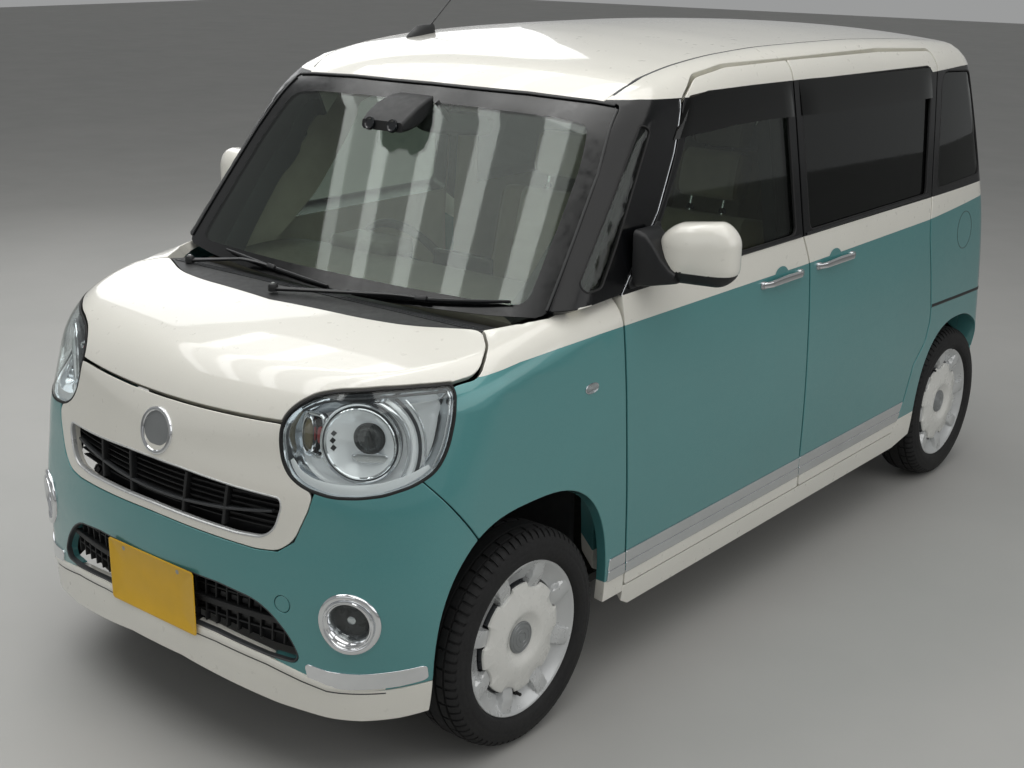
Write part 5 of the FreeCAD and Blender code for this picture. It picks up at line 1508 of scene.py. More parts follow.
gl = panel("tailgate_pane", D_GATE, [Cut(grow(GATE_GLASS, -1.8), "front", sign=1)], 8, 13, (-704, 704, 900, 1780), ["glass_dark", "glass_dark"], 0.8, P1 * 1.6)
add(gl, "tailgate", "dark_glass", ["tailgate_glass"])


# ---------------------------------------------------------------- road wheels
def tyre_mesh(name, cx, cy, out):
    """A tyre with ribs, grooves, shoulder blocks and sidewall rings."""
    R, w = 278.3, 77.2
    prof = [(-50, 180, 0), (-52, 196.8, 0), (-60, 199.4, 0), (-66, 201.5, 0), (-72.5, 207, 0), (-74.6, 209.4, 0), (-74.9, 211.6, 0), (-76.4, 214.5, 0),
            (-77.2, 226, 0), (-77.0, 233, 0), (-76.0, 235, 0), (-76.4, 237.5, 0), (-74.6, 247, 0), (-73.4, 249, 0), (-73.0, 251, 0),
            (-71, 257, 0), (-69.2, 260.5, 2), (-66.6, 264.8, 2), (-63, 268.6, 2), (-59, 271.4, 2), (-54, 273.8, 2), (-48.6, 275.6, 2),
            (-48.2, 269.8, 0), (-42.4, 270.6, 0), (-42.0, 276.9, 1), (-34, 277.8, 1), (-24.6, 278.1, 1), (-24.2, 271.6, 0), (-17.6, 271.8, 0),
            (-17.2, 278.2, 0), (-8, 278.3, 0), (0, 278.3, 0)]
    prof = prof + [(-x, r, g) for x, r, g in reversed(prof[:-1])]
    n = 72
    offs = [0.0, 0.68, 0.70, 0.98]
    V, F_ = [], []
    m = len(prof)
    ang = [(i + o) * 2 * math.pi / n for i in range(n) for o in offs]
    A = len(ang)
    for k, a in enumerate(ang):
        q = k % 4
        for x, r, g in prof:
            sh_ = 0.0
            if g and q in (2, 3):
                deep = {2: 5.2, 1: 4.2}[g]
                blk = (k // 4) % 2
                r2 = r - (deep if (g == 2 or blk == 0) else 0.0)
            else:
                r2 = r
            skew = math.radians(1.6) * (abs(x) / 60.0) * (1 if x > 0 else -1) if g else 0.0
            V.append((cx + x, cy + r2 * math.cos(a + skew), 278.5 + r2 * math.sin(a + skew)))
    for k in range(A):
        j = (k + 1) % A
        for i in range(m - 1):
            F_.append((k * m + i, j * m + i, j * m + i + 1, k * m + i + 1))
        F_.append((k * m + m - 1, j * m + m - 1, j * m, k * m))
    ob = new_mesh(name, V, F_, ["tyre"])
    return fix(ob, 38)


def cover_mesh(name, cx, cy, out, spin=0.0):
    """Domed white centre bitten by eight raised petals, a dished silver ring, and between the petals a recess in dark
    material: painted shade standing in for slots.
    """
    nth = 400
    back = [(194.6, 58.6), (188, 55.4), (176, 47.0), (164, 38.5), (150, 31.0), (126, 31.0), (97, 40.0), (60, 44.0), (0.0, 44.0)]
    fr = [0.012, 0.05, 0.09, 0.14, 0.16, 0.20, 0.26, 0.33, 0.41, 0.50, 0.59, 0.68, 0.77, 0.85, 0.91, 0.96]
    cols = []
    for i in range(nth):
        th = 2 * math.pi * i / nth
        ph = ((th + math.pi / 8) % (math.pi / 4)) - math.pi / 8
        bite = max(0.0, 1.0 - (abs(ph) * 136.0 / 27.0) ** 2) ** 0.5
        soft_ = 1.0 / (1.0 + math.exp((abs(ph) * 136.0 - 27.0) / 1.6))
        rd = 143.0 - 15.0 * bite * soft_ ** 0.3
        col = [(0.0, 50.0, 0), (41.5, 50.0, 0), (44.0, 50.6, 0), (50, 53.0, 0), (58, 57.0, 0), (64.0, 60.6, 0), (69.0, 62.6, 0), (74.0, 63.1, 0),
               (84, 62.6, 0), (97, 61.0, 0), (110, 58.6, 0), (rd - 10.0, 55.6, 0), (rd - 5.0, 54.2, 0), (rd - 2.0, 52.8, 0), (rd - 0.6, 50.8, 0), (rd, 48.4, 0)]
        for k, f in enumerate(fr):
            r = rd + (193.5 - rd) * f
            x = min(1.0, max(0.0, (r - 150.0) / 43.0))
            low_ = 34.5 if r < 149.5 else 38.5 + 23.5 * x ** 1.45
            # painted shade: inside r 149 the recess between petals takes the dark lamp material in place of open slots
            mt = 3 if r < 149.0 else 2
            arc_ = abs(ph) * r
            half = 24.5 - 3.0 * min(1.0, max(0.0, (140.0 - r) / 14.0)) - 3.0 * min(1.0, max(0.0, (r - 176.0) / 16.0))
            e_ = min(1.0, max(0.0, (half - arc_) / 4.2))
            e_ = e_ * e_ * (3 - 2 * e_)
            y_ = min(1.0, max(0.0, (r - 126.0) / 32.0))
            top_ = 45.0 + 14.2 * y_ ** 0.75 + 2.2 * min(1.0, max(0.0, (r - 158.0) / 30.0))
            top_ -= 2.6 * min(1.0, arc_ / 24.0) ** 2
            h = low_ + max(0.0, top_ - low_) * e_
            col.append((r, h, 2 if e_ > 0.03 else mt))
        col += [(195.4, 63.4, 2), (197.6, 64.0, 2), (199.2, 63.2, 2), (199.6, 61.4, 2), (198.6, 60.4, 2)]
        cols.append(col)
    m = len(cols[0])
    L = m + len(back)
    V, F_, M_ = [], [], []
    for i in range(nth):
        th = 2 * math.pi * i / nth + spin
        for r, h in [(q[0], q[1]) for q in cols[i]] + back:
            V.append((cx + out * h, cy + r * math.cos(th), 278.5 + r * math.sin(th)))
    for i in range(nth):
        j = (i + 1) % nth
        for k in range(L - 1):
            F_.append((i * L + k, j * L + k, j * L + k + 1, i * L + k + 1))
            if k < m - 1:
                a, b = cols[i][k], cols[i][k + 1]
                M_.append(3 if (a[2] == 3 and b[2] == 3) or (a[2] == 0 and b[2] == 3) else max(x_[2] for x_ in (a, b) if x_[2] != 3) if a[2] != 0 else (2 if b[2] == 2 else 0))
            else:
                M_.append(2)
    ob = new_mesh(name, V, F_, ["cover_white", "cap_grey", "silver_plastic", "lamp_dark"], M_)
    bm = bmesh.new()
    bm.from_mesh(ob.data)
    bmesh.ops.remove_doubles(bm, verts=bm.verts, dist=1e-6)
    bmesh.ops.dissolve_degenerate(bm, edges=bm.edges, dist=1e-6)
    bm.to_mesh(ob.data)
    bm.free()
    return fix(ob, 24)


def rim_mesh(name, cx, cy, out):
    prof = [(24.8, 8), (62, 8), (80, 22), (152, 20), (161, -20), (168, -58), (172, -62), (178, -65.6), (194, -65.6), (195.3, -64.5), (195.3, -61),
            (194, -59.9), (179, -56), (177.4, -54), (172.5, -30), (172.5, 20), (177.4, 45), (179, 49), (194.2, 54.5), (195.0, 57.5), (192, 57.5), (186, 53),
            (178, 47.5), (172, 42), (166, 34), (150, 28), (126, 29), (97, 36), (60, 36), (34, 36), (24.8, 35)]
    prof = [(r, h * 1.0) for r, h in prof]
    ob = lathe(name, prof, (cx, cy, 278.5), (out, 0, 0), ["steel"], n=96, closed=True)
    return ob


for tag, x, y, out, bd in (("front_left", 652.5, -1137, 1, "front_left_wheel"), ("front_right", -652.5, -1137, -1, "front_right_wheel"),
                           ("rear_left", 647.5, 1318, 1, "rear_left_wheel"), ("rear_right", -647.5, 1318, -1, "rear_right_wheel")):
    add(tyre_mesh("tyre_tread_" + tag, x, y, out), bd, "tyre", ["tyre_" + tag])
    add(rim_mesh("steel_rim_" + tag, x, y, out), bd, "wheel_silver", ["wheel_" + tag])
    add(cover_mesh("wheel_cover_" + tag, x, y, out, math.radians(25.0 if "front" in tag else 6.0)), bd, "wheel_silver")
    # centre cap ring and valve
    add(lathe("wheel_cap_" + tag, [(0.01, 57.0), (10, 57.0), (11, 56.0), (13, 56.0), (14, 57.4), (22, 57.0), (23, 55.8), (25.5, 55.7), (26.5, 56.8), (33, 55.8), (34, 54.4), (36, 54.2), (37, 55.2), (39.6, 54.2), (41.2, 52.2), (41.4, 49.5), (0.01, 49.5)], (x, y, 278.5), (out, 0, 0), ["cap_grey"], n=64), bd, "wheel_silver")
    a_ = math.radians(-93 if "front" in tag else 118)
    add(lathe("valve_" + tag, [(0.01, 61), (3.0, 61), (4.2, 59.5), (4.2, 48), (6.0, 46.5), (6.0, 33), (0.01, 33)],
              (x, y + 152 * math.cos(a_), 278.5 + 152 * math.sin(a_)), (out, 0, 0), ["rubber"], n=16), bd, "tyre")


# ------------------------------------------------------------------- lamp tools
def dense(pts, step=14.0, closed=False):
    return rounded(list(pts), step, closed)


def shoot(F, P, D, back=160.0):
    """Points carried along a direction to the skin from inside."""
    P = np.asarray(P, float)
    D = np.tile(unit(np.asarray(D, float)), (len(P), 1))
    return hit(F, P - D * back, D)[0]


def plane(d, up=(0, 0, 1)):
    d = unit(np.asarray(d, float))
    e1 = unit(np.cross(np.asarray(up, float), d))
    return d, e1, np.cross(d, e1)


def circle(c, d, r, n=64, b=None, a0=0.0, a1=360.0, up=(0, 0, 1)):
    d, e1, e2 = plane(d, up)
    full = abs(a1 - a0) >= 359.9
    k = n if full else n - 1
    return np.array([np.asarray(c, float) + e1 * r * math.cos(math.radians(a0 + (a1 - a0) * i / k))
                     + e2 * (b or r) * math.sin(math.radians(a0 + (a1 - a0) * i / k)) for i in range(n)])


def oval(name, c, d, a, b, prof, mats, n=48, midx=None, up=(0, 0, 1), sq=2.0, angle=35):
    """Oval rings: profile of (scale, h); sq above 2 squares the oval off."""
    d, e1, e2 = plane(d, up)
    rings_ = []
    for k, h in prof:
        rr = []
        for i in range(n):
            t = 2 * math.pi * i / n
            cc, ss = math.cos(t), math.sin(t)
            x = math.copysign(abs(cc) ** (2 / sq), cc) * a * k
            y = math.copysign(abs(ss) ** (2 / sq), ss) * b * k
            rr.append(np.asarray(c, float) + e1 * x + e2 * y + d * h)
        rings_.append(rr)
    return loft(name, rings_, mats, True, midx, angle)


def side_strip(name, F, pts, view, sec, mats, body, slot, depth=0.0, sign=1, closed=False, step=14.0, rep=None, body2=None, midx=None, scale=None):
    ob = strip(name, F, pts, view, sec, mats, depth, sign, closed, step, midx, True, scale)
    return pair(ob, body, slot, body2, rep)


# ------------------------------------------------------------------- headlights
lens = panel("headlight_lens", D_NOSE, [Cut(grow(HEAD, -1.4), "diag")], 1.0, 4.6, NB_L, ["lens_clear", "lens_clear"], 0.8, P1 * 0.8, mirror=True)
add(lens[0], "body", "lamp_lens", ["headlights"])
add(lens[1], "body", "lamp_lens")
side_strip("headlight_seal", low, grow(HEAD, 1.4), "diag", rect(6.0, 9, 1.4, (0, -4.2)), ["rubber"], "body", "black_plastic", 0.0, closed=True, step=12)

hp = rounded(grow(HEAD, -2.4), 11.0)
hc = np.mean(np.array(hp), axis=0)


def head_ring(d, k):
    q = [(hc[0] + (a[0] - hc[0]) * k, hc[1] + (a[1] - hc[1]) * k) for a in hp]
    P, N = on_skin(low, q, "diag", 0.0)
    return P - N * d


r_in = [head_ring(6, 1.0), head_ring(20, 0.975), head_ring(38, 0.95), head_ring(54, 0.91), head_ring(62, 0.86), head_ring(66, 0.7), head_ring(70, 0.45), head_ring(74, 0.2), head_ring(75, 0.04)]
r_out = [head_ring(79, 0.04), head_ring(78, 0.2), head_ring(75, 0.45), head_ring(72, 0.72), head_ring(68, 0.88), head_ring(58, 0.94), head_ring(40, 0.98), head_ring(20, 0.995), head_ring(7, 1.0)]
nb_ = len(r_in)
bowl = loft("headlight_bowl", list(reversed(r_in)) + list(reversed(r_out)), ["lamp_white", "reflector", "lamp_dark"], True,
            [0, 0, 0, 0, 0, 1, 1, 1, 2] + [2] * 8, 50)
pair(bowl, "body", "lamp_lens")
HC, HX = np.array([549.0, -1484.5, 854]), unit(np.array([0.50, -0.86, 0.05]))
d_, e1_, e2_ = plane(HX)
HR = HC - e1_ * 20 - e2_ * 13
pair(lathe("headlight_projector_lens", [(0.01, 19), (9, 18.2), (18, 15.4), (24, 11.4), (28.0, 6.0), (29.0, 2), (29.0, -4), (0.01, -4)], HC, HX, ["lens_clear"], n=64), "body", "lamp_lens")
pair(lathe("headlight_projector_core", [(0.01, -7), (12, -8), (22, -9), (29.4, -6), (31.5, 4.6), (34.5, 6.6), (36.5, 5.6), (38, 2.0), (38, -26), (0.01, -26)], HC, HX, ["lamp_dark", "chrome", "black_satin"], n=64,
           midx=[0, 0, 0, 1, 2, 2, 1, 1, 0]), "body", "lamp_lens")
# the shield across the lens, and the curved ledge below the projector
pair(block("headlight_shield", -4.5, 4.5, -3, 3, -24, 20, ["black_satin"], 1.5, 2, (0, -14, 30), (0, 0, 0), None), "body", "lamp_lens")
for ob in [o for o in bpy.data.objects if o.name.startswith("headlight_shield")]:
    sx = -1.0 if ob.name.endswith("right") else 1.0
    ob.data.transform(Matrix.Translation(Vector((HC[0] * sx * MM, (HC[1] - 2) * MM, HC[2] * MM))))
ql = HC - e2_ * 46 + e1_ * 2
pair(oval("headlight_ledge", ql, HX, 46, 13, [(0.96, -12), (1.0, -1), (0.97, 3.2), (0.9, 5.0), (0.7, 5.6), (0.05, 6.0)], ["chrome"], sq=2.2), "body", "lamp_lens")
# wide dish, its crest rings and grooves
BZ = [(20, -20), (34, -16), (48, -9), (60, -1), (70, 6.5), (77, 12), (79.5, 14.5), (81.5, 15.0), (83.0, 13.4), (83.4, 8), (85.4, 7.6), (86.6, 11), (89.4, 12.4),
      (92, 11.4), (93.4, 8), (93.8, -2), (91.5, -14), (70, -10), (40, -26), (20, -27)]
BM = [0, 0, 0, 0, 0, 1, 1, 1, 2, 2, 1, 1, 1, 1, 2, 2, 2, 2, 2, 2]
pair(lathe("headlight_bezel", BZ, HR, HX, ["lamp_white", "chrome", "lamp_dark"], n=96, midx=BM, closed=True), "body", "lamp_lens")
for k in range(3):
    a_ = math.radians(163 + 15 * k)
    q = HR + e1_ * 66 * math.cos(a_) + e2_ * 66 * math.sin(a_) + HX * 2.0
    v_ = e1_ * math.cos(a_) + e2_ * math.sin(a_)
    nv = unit(HX - v_ * 0.62)
    pair(lathe("headlight_vent_%d" % k, [(0.01, 3.4), (6.6, 3.4), (7.4, 2.6), (7.4, -4), (0.01, -4)], q, nv, ["black_satin"], n=4), "body", "lamp_lens")
# inner end: a chrome frame with a dark oval and a small red lamp behind it
nq = unit(np.array([0.08, -1.0, 0.1]))
pair(oval("headlight_side_frame", (430, -1541, 848), nq, 32, 50, [(0.80, -12), (0.86, 0), (0.92, 3.4), (1.0, 3.6), (1.05, 0), (1.05, -12), (0.80, -13)], ["chrome"], sq=4.6), "body", "lamp_lens")
pair(oval("headlight_oval_rim", (417, -1546, 848), nq, 17, 42, [(0.55, -4), (0.9, -2), (0.94, 3), (1.0, 4), (1.05, 2), (1.06, -6), (0.6, -7)], ["chrome"], sq=2.2), "body", "lamp_lens")
pair(oval("headlight_side_lamp", (417, -1547, 848), nq, 14.5, 37, [(0.02, 9), (0.35, 8), (0.65, 6), (0.86, 3), (0.98, -1), (0.98, -3)], ["amber"], sq=2.2), "body", "lamp_lens")
pair(oval("headlight_red_lamp", (445, -1539, 850), nq, 9, 20, [(0.02, 3), (0.6, 2.4), (0.9, 0), (0.98, -4)], ["red_plastic"], sq=3.0), "body", "lamp_lens")
# large arcs behind the dish, towards the outer end
uc_, zc_ = C40 * HR[0] + S40 * HR[1], HR[2]
for k, (r_, w_, mt, dp) in enumerate(((112, 9, "chrome", 26), (124, 10, "lamp_white", 25), (137, 8, "lamp_dark", 22), (149, 5, "chrome", 20))):
    arc_p = [(uc_ + r_ * math.cos(math.radians(a)), zc_ + r_ * math.sin(math.radians(a))) for a in range(-60, 101, 4)]
    ok_ = inside(np.array([q[:2] for q in rounded(grow(HEAD, -9), 8.0)], float), np.array(arc_p, float))
    arc_p = [q for q, g_ in zip(arc_p, ok_) if g_]
    if len(arc_p) > 4:
        side_strip("headlight_arc_%d" % k, low, arc_p, "diag", rect(w_, 4, 1.6), [mt], "body", "lamp_lens", dp, closed=False, step=9)
# a band along the bottom in the glowing lamp white, bright partly by painted glow, and a dark band up the outer edge
side_strip("headlight_lower_band", low, grow(HEAD, -15)[12:20], "diag", rect(23, 3, 1.2), ["lamp_white"], "body", "lamp_lens", 15, closed=False, step=12,
           scale=lambda t: 0.4 + 0.6 * math.sin(math.pi * min(1, max(0, t))) ** 0.6)
side_strip("headlight_outer_band", low, grow(HEAD, -8)[8:13], "diag", rect(5, 3, 1.2), ["chrome"], "body", "lamp_lens", 13, closed=False, step=12)
side_strip("headlight_upper_band", low, grow(HEAD, -8)[3:9], "diag", rect(6, 3, 1.2), ["lamp_dark"], "body", "lamp_lens", 12, closed=False, step=12)

# --------------------------------------------------------------------- fog lamps
add_fog = lathe("fog_lamp_lens", [(0.01, -9.0), (18, -9.8), (32, -11.6), (40, -14.2), (41, -16), (41, -18.5), (38, -18.0), (0.01, -12.5)], FOG_C, FOG_D, ["lens_clear"], n=72, angle=60)
pair(add_fog, "body", "lamp_lens", None, ["fog_lamps"])
pair(lathe("fog_lamp_cone", [(60.5, -5), (60, 3.0), (58, 5.0), (55.5, 4.6), (53.5, 2.2), (50.5, 1.2), (47.0, -4), (43.8, -12), (42.6, -15.5), (41.2, -19), (41.2, -31), (46, -31), (58, -12)],
           FOG_C, FOG_D, ["chrome"], n=96, closed=True), "body", "lamp_lens")
pair(lathe("fog_lamp_bowl", [(41, -19), (40, -28), (33, -39), (22, -45), (10, -48), (0.01, -48), (0.01, -51), (12, -51), (25, -48), (36, -41), (43.5, -30), (44, -19)],
           FOG_C, FOG_D, ["lamp_dark"], n=72, midx=[0] * 11), "body", "lamp_lens")
pair(lathe("fog_lamp_inner_ring", [(27, -20), (29, -18), (32, -18), (33.4, -21), (33.4, -32), (30, -34), (27, -32)], FOG_C - FOG_D * 2, FOG_D, ["satin_chrome"], n=64, closed=True), "body", "lamp_lens")
pair(lathe("fog_lamp_bulb_cap", [(0.01, -17), (8, -18), (13.5, -21), (15, -27), (15, -40), (9, -48), (0.01, -48)], FOG_C, FOG_D, ["chrome"], n=32), "body", "lamp_lens")
fp_, f1_, f2_ = plane(FOG_D)
for k, (a_, b_) in enumerate(((-18, 10), (14, 14))):
    q = FOG_C + f1_ * a_ + f2_ * b_ - FOG_D * 33
    pair(lathe("fog_lamp_facet_%d" % k, [(0.01, 5), (6, 4), (11, 0), (12, -8), (0.01, -8)], q, unit(FOG_D + f1_ * 0.3 - f2_ * 0.3), ["reflector"], n=6), "body", "lamp_lens")
fr = circle(FOG_C, FOG_D, 66.2, 80)
Pf = shoot(low, fr, FOG_D)
ob = sweep("fog_lamp_ring", Pf, grad(low, Pf), [(-8.4, -5), (8.4, -5), (8.4, 1.4), (7.4, 4.4), (4.4, 7.0), (1, 8.0), (-3.4, 7.6), (-6.4, 6.0), (-8.4, 2.4)], ["chrome"], closed=True)
pair(ob, "body", "lamp_lens")

# --------------------------------------------------------- emblem, tow cover, side lamps
P_, N_m = on_skin(low, [(0, 788)], "front", 0.0, -1)
EC, EN = P_[0], N_m[0]
add(lathe("emblem_ring", [(47, -4), (47, 2.2), (49, 4.2), (53, 5.0), (56.5, 4.0), (58, 1.2), (58, -6), (47, -6)], EC, EN, ["chrome"], n=96, closed=True), "body", "lamp_lens")
add(lathe("emblem_disc", [(0.01, 1.4), (20, 1.2), (38, 0.6), (47.2, -0.6), (47.2, -6), (0.01, -6)], EC, EN, ["cap_grey"], n=96), "body", "black_plastic")
P_, N_m = on_skin(low, [(415, 464)], "front", 0.0, -1)
add(lathe("tow_cover", [(0.01, -0.6), (16, -0.7), (19.0, -1.0), (19.9, -2.2), (19.9, -12), (0.01, -12)], P_[0], N_m[0], ["teal"], n=48), "body", "paint_teal")
P_, N_m = on_skin(low, [(-912, 871)], "side", 0.0)
pair(oval("side_repeater_rim", P_[0], N_m[0], 27, 13.5, [(0.9, -6), (1.0, -1), (0.985, 1.6), (0.9, 2.6), (0.8, 1.6), (0.1, 1.2)], ["satin_chrome"], sq=2.2), "body", "black_plastic")
pair(oval("side_repeater_lens", P_[0], N_m[0], 22, 10, [(0.98, -1), (1.0, 2.4), (0.94, 5.0), (0.75, 7.0), (0.45, 8.2), (0.05, 8.6)], ["lens_clear"], sq=2.2), "body", "lamp_lens")

# --------------------------------------------------------------------- tail lamps
TB = (15 * 11, 88 * 11, 2 * 11, 46 * 11)
TL2 = [(1537, 655, 20), (1526, 1046, 20), (1900, 1046), (1900, 655)]
TL3 = Cut(grow(GATE_ROOM, HEM), "front", keep=False, sign=1)
tl = panel("tail_lamp_lens", D_TAIL, [Cut(grow(TL2, -1.0), "side"), TL3], -0.5, 3.5, TB,
           ["lens_red", "lens_red"], 0.8, P1 * 0.9, mirror=True)
add(tl[0], "body", "red_lens", ["tail_lights"])
add(tl[1], "body", "red_lens")
tb = panel("tail_lamp_tray", D_TAIL, [Cut(grow(TL2, -3.0), "side"), TL3], 26, 30, TB,
           ["reflector", "lamp_dark"], 0.8, P1 * 0.9, mirror=True)
add(tb[0], "body", "red_lens")
add(tb[1], "body", "red_lens")
for k, (z_, mt) in enumerate(((740, "lens_clear"), (850, "lens_amber"), (958, "lens_red"))):
    P_, N_m = on_skin(top, [(672, z_)], "front", 8.0, 1)
    pair(oval("tail_lamp_cell_%d" % k, P_[0], N_m[0], 27, 40, [(0.98, -14), (1.0, -2), (0.92, 3), (0.7, 5), (0.4, 6), (0.05, 6.2)], [mt], sq=3.0), "body", "red_lens")


# ---------------------------------------------------------------- grille details
def span(poly, z):
    """Half width of a mirrored outline at a height."""
    q = rounded(poly, 6.0)
    best = 0.0
    for i in range(len(q)):
        a, b = q[i - 1], q[i]
        if (a[1] - z) * (b[1] - z) <= 0 and a[1] != b[1]:
            best = max(best, a[0] + (b[0] - a[0]) * (z - a[1]) / (b[1] - a[1]))
    return best


def keep_in(poly, pts):
    """The points that lie inside an outline."""
    m = inside(np.array([p[:2] for p in rounded(poly, 8.0)], float), np.array(pts, float))
    return [p for p, k in zip(pts, m) if k]


back = panel("grille_upper_back", D_NOSE, [Cut(grow(SMILE, 9), "front", sign=-1)], 52, 57, NB, ["black_satin", "black_satin"], 0.8, P1 * 1.3)
add(back, "body", "black_plastic", ["grille_inserts"])
back = panel("grille_lower_back", D_NOSE, [Cut(grow(LOWGRILLE, 7), "front", sign=-1)], 56, 61, NB, ["black_satin", "black_satin"], 0.8, P1 * 1.3)
add(back, "body", "black_plastic")
inner_s, inner_l = grow(SMILE, -3), grow(LOWGRILLE, -3)
sl = [(-1.3, -9), (1.3, -9), (1.6, 5), (0.9, 8.5), (-0.9, 8.5), (-1.6, 5)]
for k in range(7):
    z_ = 628.0 + k * 14.0
    xm = span(inner_s, z_)
    if xm < 60:
        continue
    pts = [(-xm + 2 * xm * i / 40.0, z_ + 0.00002 * (-xm + 2 * xm * i / 40.0) ** 2) for i in range(41)]
    pts = keep_in(inner_s, pts)
    add(strip("grille_slat_%d" % k, low, pts, "front", sl, ["black_plastic"], 32, -1, False, 18), "body", "black_plastic")
for sx in (-1, 1):
    for k, x_ in enumerate((104.0, 236.0)):
        pts = [(sx * (x_ + (z_ - 660) * 0.10), z_) for z_ in range(614, 722, 9)]
        pts = keep_in(inner_s, pts)
        add(strip("grille_bar_%s_%d" % ("l" if sx > 0 else "r", k), low, pts, "front", rect(9, 20, 2.5), ["black_plastic"], 20, -1, False, 9), "body", "black_plastic")
# the lighter bevelled rim round the smile
rim_sec = [(-3.2, -12), (2.6, -12), (2.6, -2.0), (0.6, 0.8), (-2.0, 1.0), (-3.2, -0.6)]
add(strip("grille_smile_rim", low, grow(SMILE, -0.6), "front", rim_sec, ["silver_plastic"], 0.0, -1, True, 11), "body", "lamp_lens")
# curved inner rail
pts = [(-372 + 744 * i / 48.0, 640 + 34 * ((-372 + 744 * i / 48.0) / 372.0) ** 2) for i in range(49)]
pts = keep_in(grow(SMILE, -6), pts)
add(strip("grille_inner_rail", low, pts, "front", rect(6.5, 13, 2.4), ["grey_plastic"], 16, -1, False, 16), "body", "black_plastic")

# lower opening: one broad bar, two rows of cells
for k, (z_, w_, h_) in enumerate(((412, 15, 22), (446, 5, 12), (378, 5, 12))):
    xm = span(inner_l, z_)
    pts = [(-xm + 2 * xm * i / 44.0, z_) for i in range(45)]
    pts = keep_in(inner_l, pts)
    add(strip("lower_grille_bar_%d" % k, low, pts, "front", rect(w_, h_, 2.4), ["black_plastic"], 22 if k == 0 else 28, -1, False, 18), "body", "black_plastic")
cells = []
for k in range(-12, 13):
    x_ = k * 34.0
    pts = [(x_ * (1 + 0.0002 * (z_ - 410)), z_) for z_ in range(352, 476, 9)]
    pts = keep_in(inner_l, pts)
    if len(pts) > 3:
        add(strip("lower_grille_rib_%02d" % (k + 12), low, pts, "front", rect(4.6, 14, 1.4), ["black_plastic"], 27, -1, False, 9), "body", "black_plastic")
for row, z_ in enumerate((395.0, 430.0)):
    for k in range(-11, 11):
        x_ = (k + 0.5) * 34.0
        if abs(x_) < 60 or not keep_in(grow(LOWGRILLE, -16), [(x_, z_)]):
            continue
        P_, N_m = on_skin(low, [(x_, z_)], "front", 36.0, -1)
        add(oval("lower_grille_block_%d_%02d" % (row, k + 11), P_[0], N_m[0], 10.5, 8.5, [(1.0, -8), (1.0, 4), (0.8, 7.5)], ["black_satin"], n=16, sq=6.0), "body", "black_plastic")
rim2 = [(-2.6, -14), (2.2, -14), (2.2, -1.6), (0.4, 0.6), (-1.8, 0.6), (-2.6, -0.8)]
add(strip("lower_grille_rim", low, grow(LOWGRILLE, -0.6), "front", rim2, ["grey_plastic"], 0.0, -1, True, 12), "body", "black_plastic")

# lip: a light ledge above a grey strip, painted shade of the crease under the ledge
lip_up = [(-640, 276), (-526, 271), (-464, 281), (-367, 301), (-216, 318), (-120, 322), (0, 322), (120, 322), (216, 318), (367, 301), (464, 281), (526, 271), (640, 276)]
add(strip("lip_groove", low, lip_up, "front", [(-1.5, -4), (1.5, -4), (1.5, 0.2), (0.8, 0.4), (-0.8, 0.4), (-1.5, 0.2)], ["grey_plastic"], -0.1, -1, False, 16), "body", "black_plastic")
led = [(x, z + 12) for x, z in lip_up]
add(strip("lip_ledge", low, led, "front", [(-10, -4), (9, -4), (9, 0.5), (7.5, 3.2), (3, 4.6), (-5, 4.2), (-9, 2.4), (-10, 0.3)], ["white"], -0.1, -1, False, 16,
          scale=lambda t: (0.25 + 0.75 * min(1.0, 10 * t, 10 * (1 - t))) * (0.12 + 0.88 * min(1.0, max(0.0, abs(t - 0.5) - 0.10) / 0.06))), "body", "paint_white")

# chrome trims at the bumper corners
COR = [(468, 331, 8), (526, 324), (599, 326), (662, 333), (697, 338, 6), (697, 301, 10), (660, 293), (580, 286), (502, 283), (480, 292, 12)]
ct = panel("corner_trim", D_NOSE, [Cut(grow(COR, -1.0), "front", sign=-1)], -3.6, 3.0, NB_L, ["chrome", "black_plastic"], 1.4, P1 * 0.6, mirror=True, keep_fn=lambda P: P[:, 1] < -1330)
add(ct[0], "body", "lamp_lens")
add(ct[1], "body", "lamp_lens")

# ------------------------------------------------------------------- side trims
SILL_Z = (321.0, 388.0)


def band(name, poly, F, dom, box, mats, d0, d1, slot, bodies, hem=1.2, pitch=None, keep_fn=None):
    ps = panel(name, dom, [Cut(poly, "side")], d0, d1, box, mats, hem, pitch or P1, mirror=True, keep_fn=keep_fn)
    for ob_, bd_ in zip(ps, bodies):
        add(ob_, bd_, slot)
    return ps


for nm_, za, zb, dd in (("sill_chrome_low", 326, 352, -5.0), ("sill_chrome_high", 354.5, 384, -3.6)):
    k_ = (za - 326) / 58.0, (zb - 326) / 58.0
    band(nm_ + "_door", [(-735.0 - 3.6 * k_[0], za, 2), (184 - 3 * k_[0], za, 2), (184 - 3 * k_[1], zb, 2), (-735 - 3.6 * k_[1], zb, 2)], top, D_SIDE, (-830, 240, -460, 560),
         ["chrome", "black_plastic"], dd, 2, "lamp_lens", ("left_front_door", "right_front_door"), 1.8)
    band(nm_ + "_slide", [(192 - 4 * k_[0], za, 2), (884 + 31 * k_[0], za, 2), (884 + 31 * k_[1], zb, 2), (192 - 4 * k_[1], zb, 2)], top, D_SIDE, (80, 1140, -460, 560),
         ["chrome", "black_plastic"], dd, 2, "lamp_lens", ("body", "body"), 1.8)
    band(nm_ + "_fender", [(-818 + 4 * k_[0], za, 2), (-743 - 3 * k_[0], za, 2), (-743 - 3 * k_[1], zb, 2), (-818 + 6 * k_[1], zb, 2)], top, D_SIDE, (-900, 240, -460, 560),
         ["chrome", "black_plastic"], dd, 2, "lamp_lens", ("body", "body"), 1.8)
band("sill_moulding_door", [(-734, 288, 6), (194, 288, 6), (188, 318, 4), (-735, 318, 4)], top, D_SIDE, (-830, 240, -460, 560), ["white", "black_plastic"], -3.0, 2, "paint_white",
     ("left_front_door", "right_front_door"), 2.4)
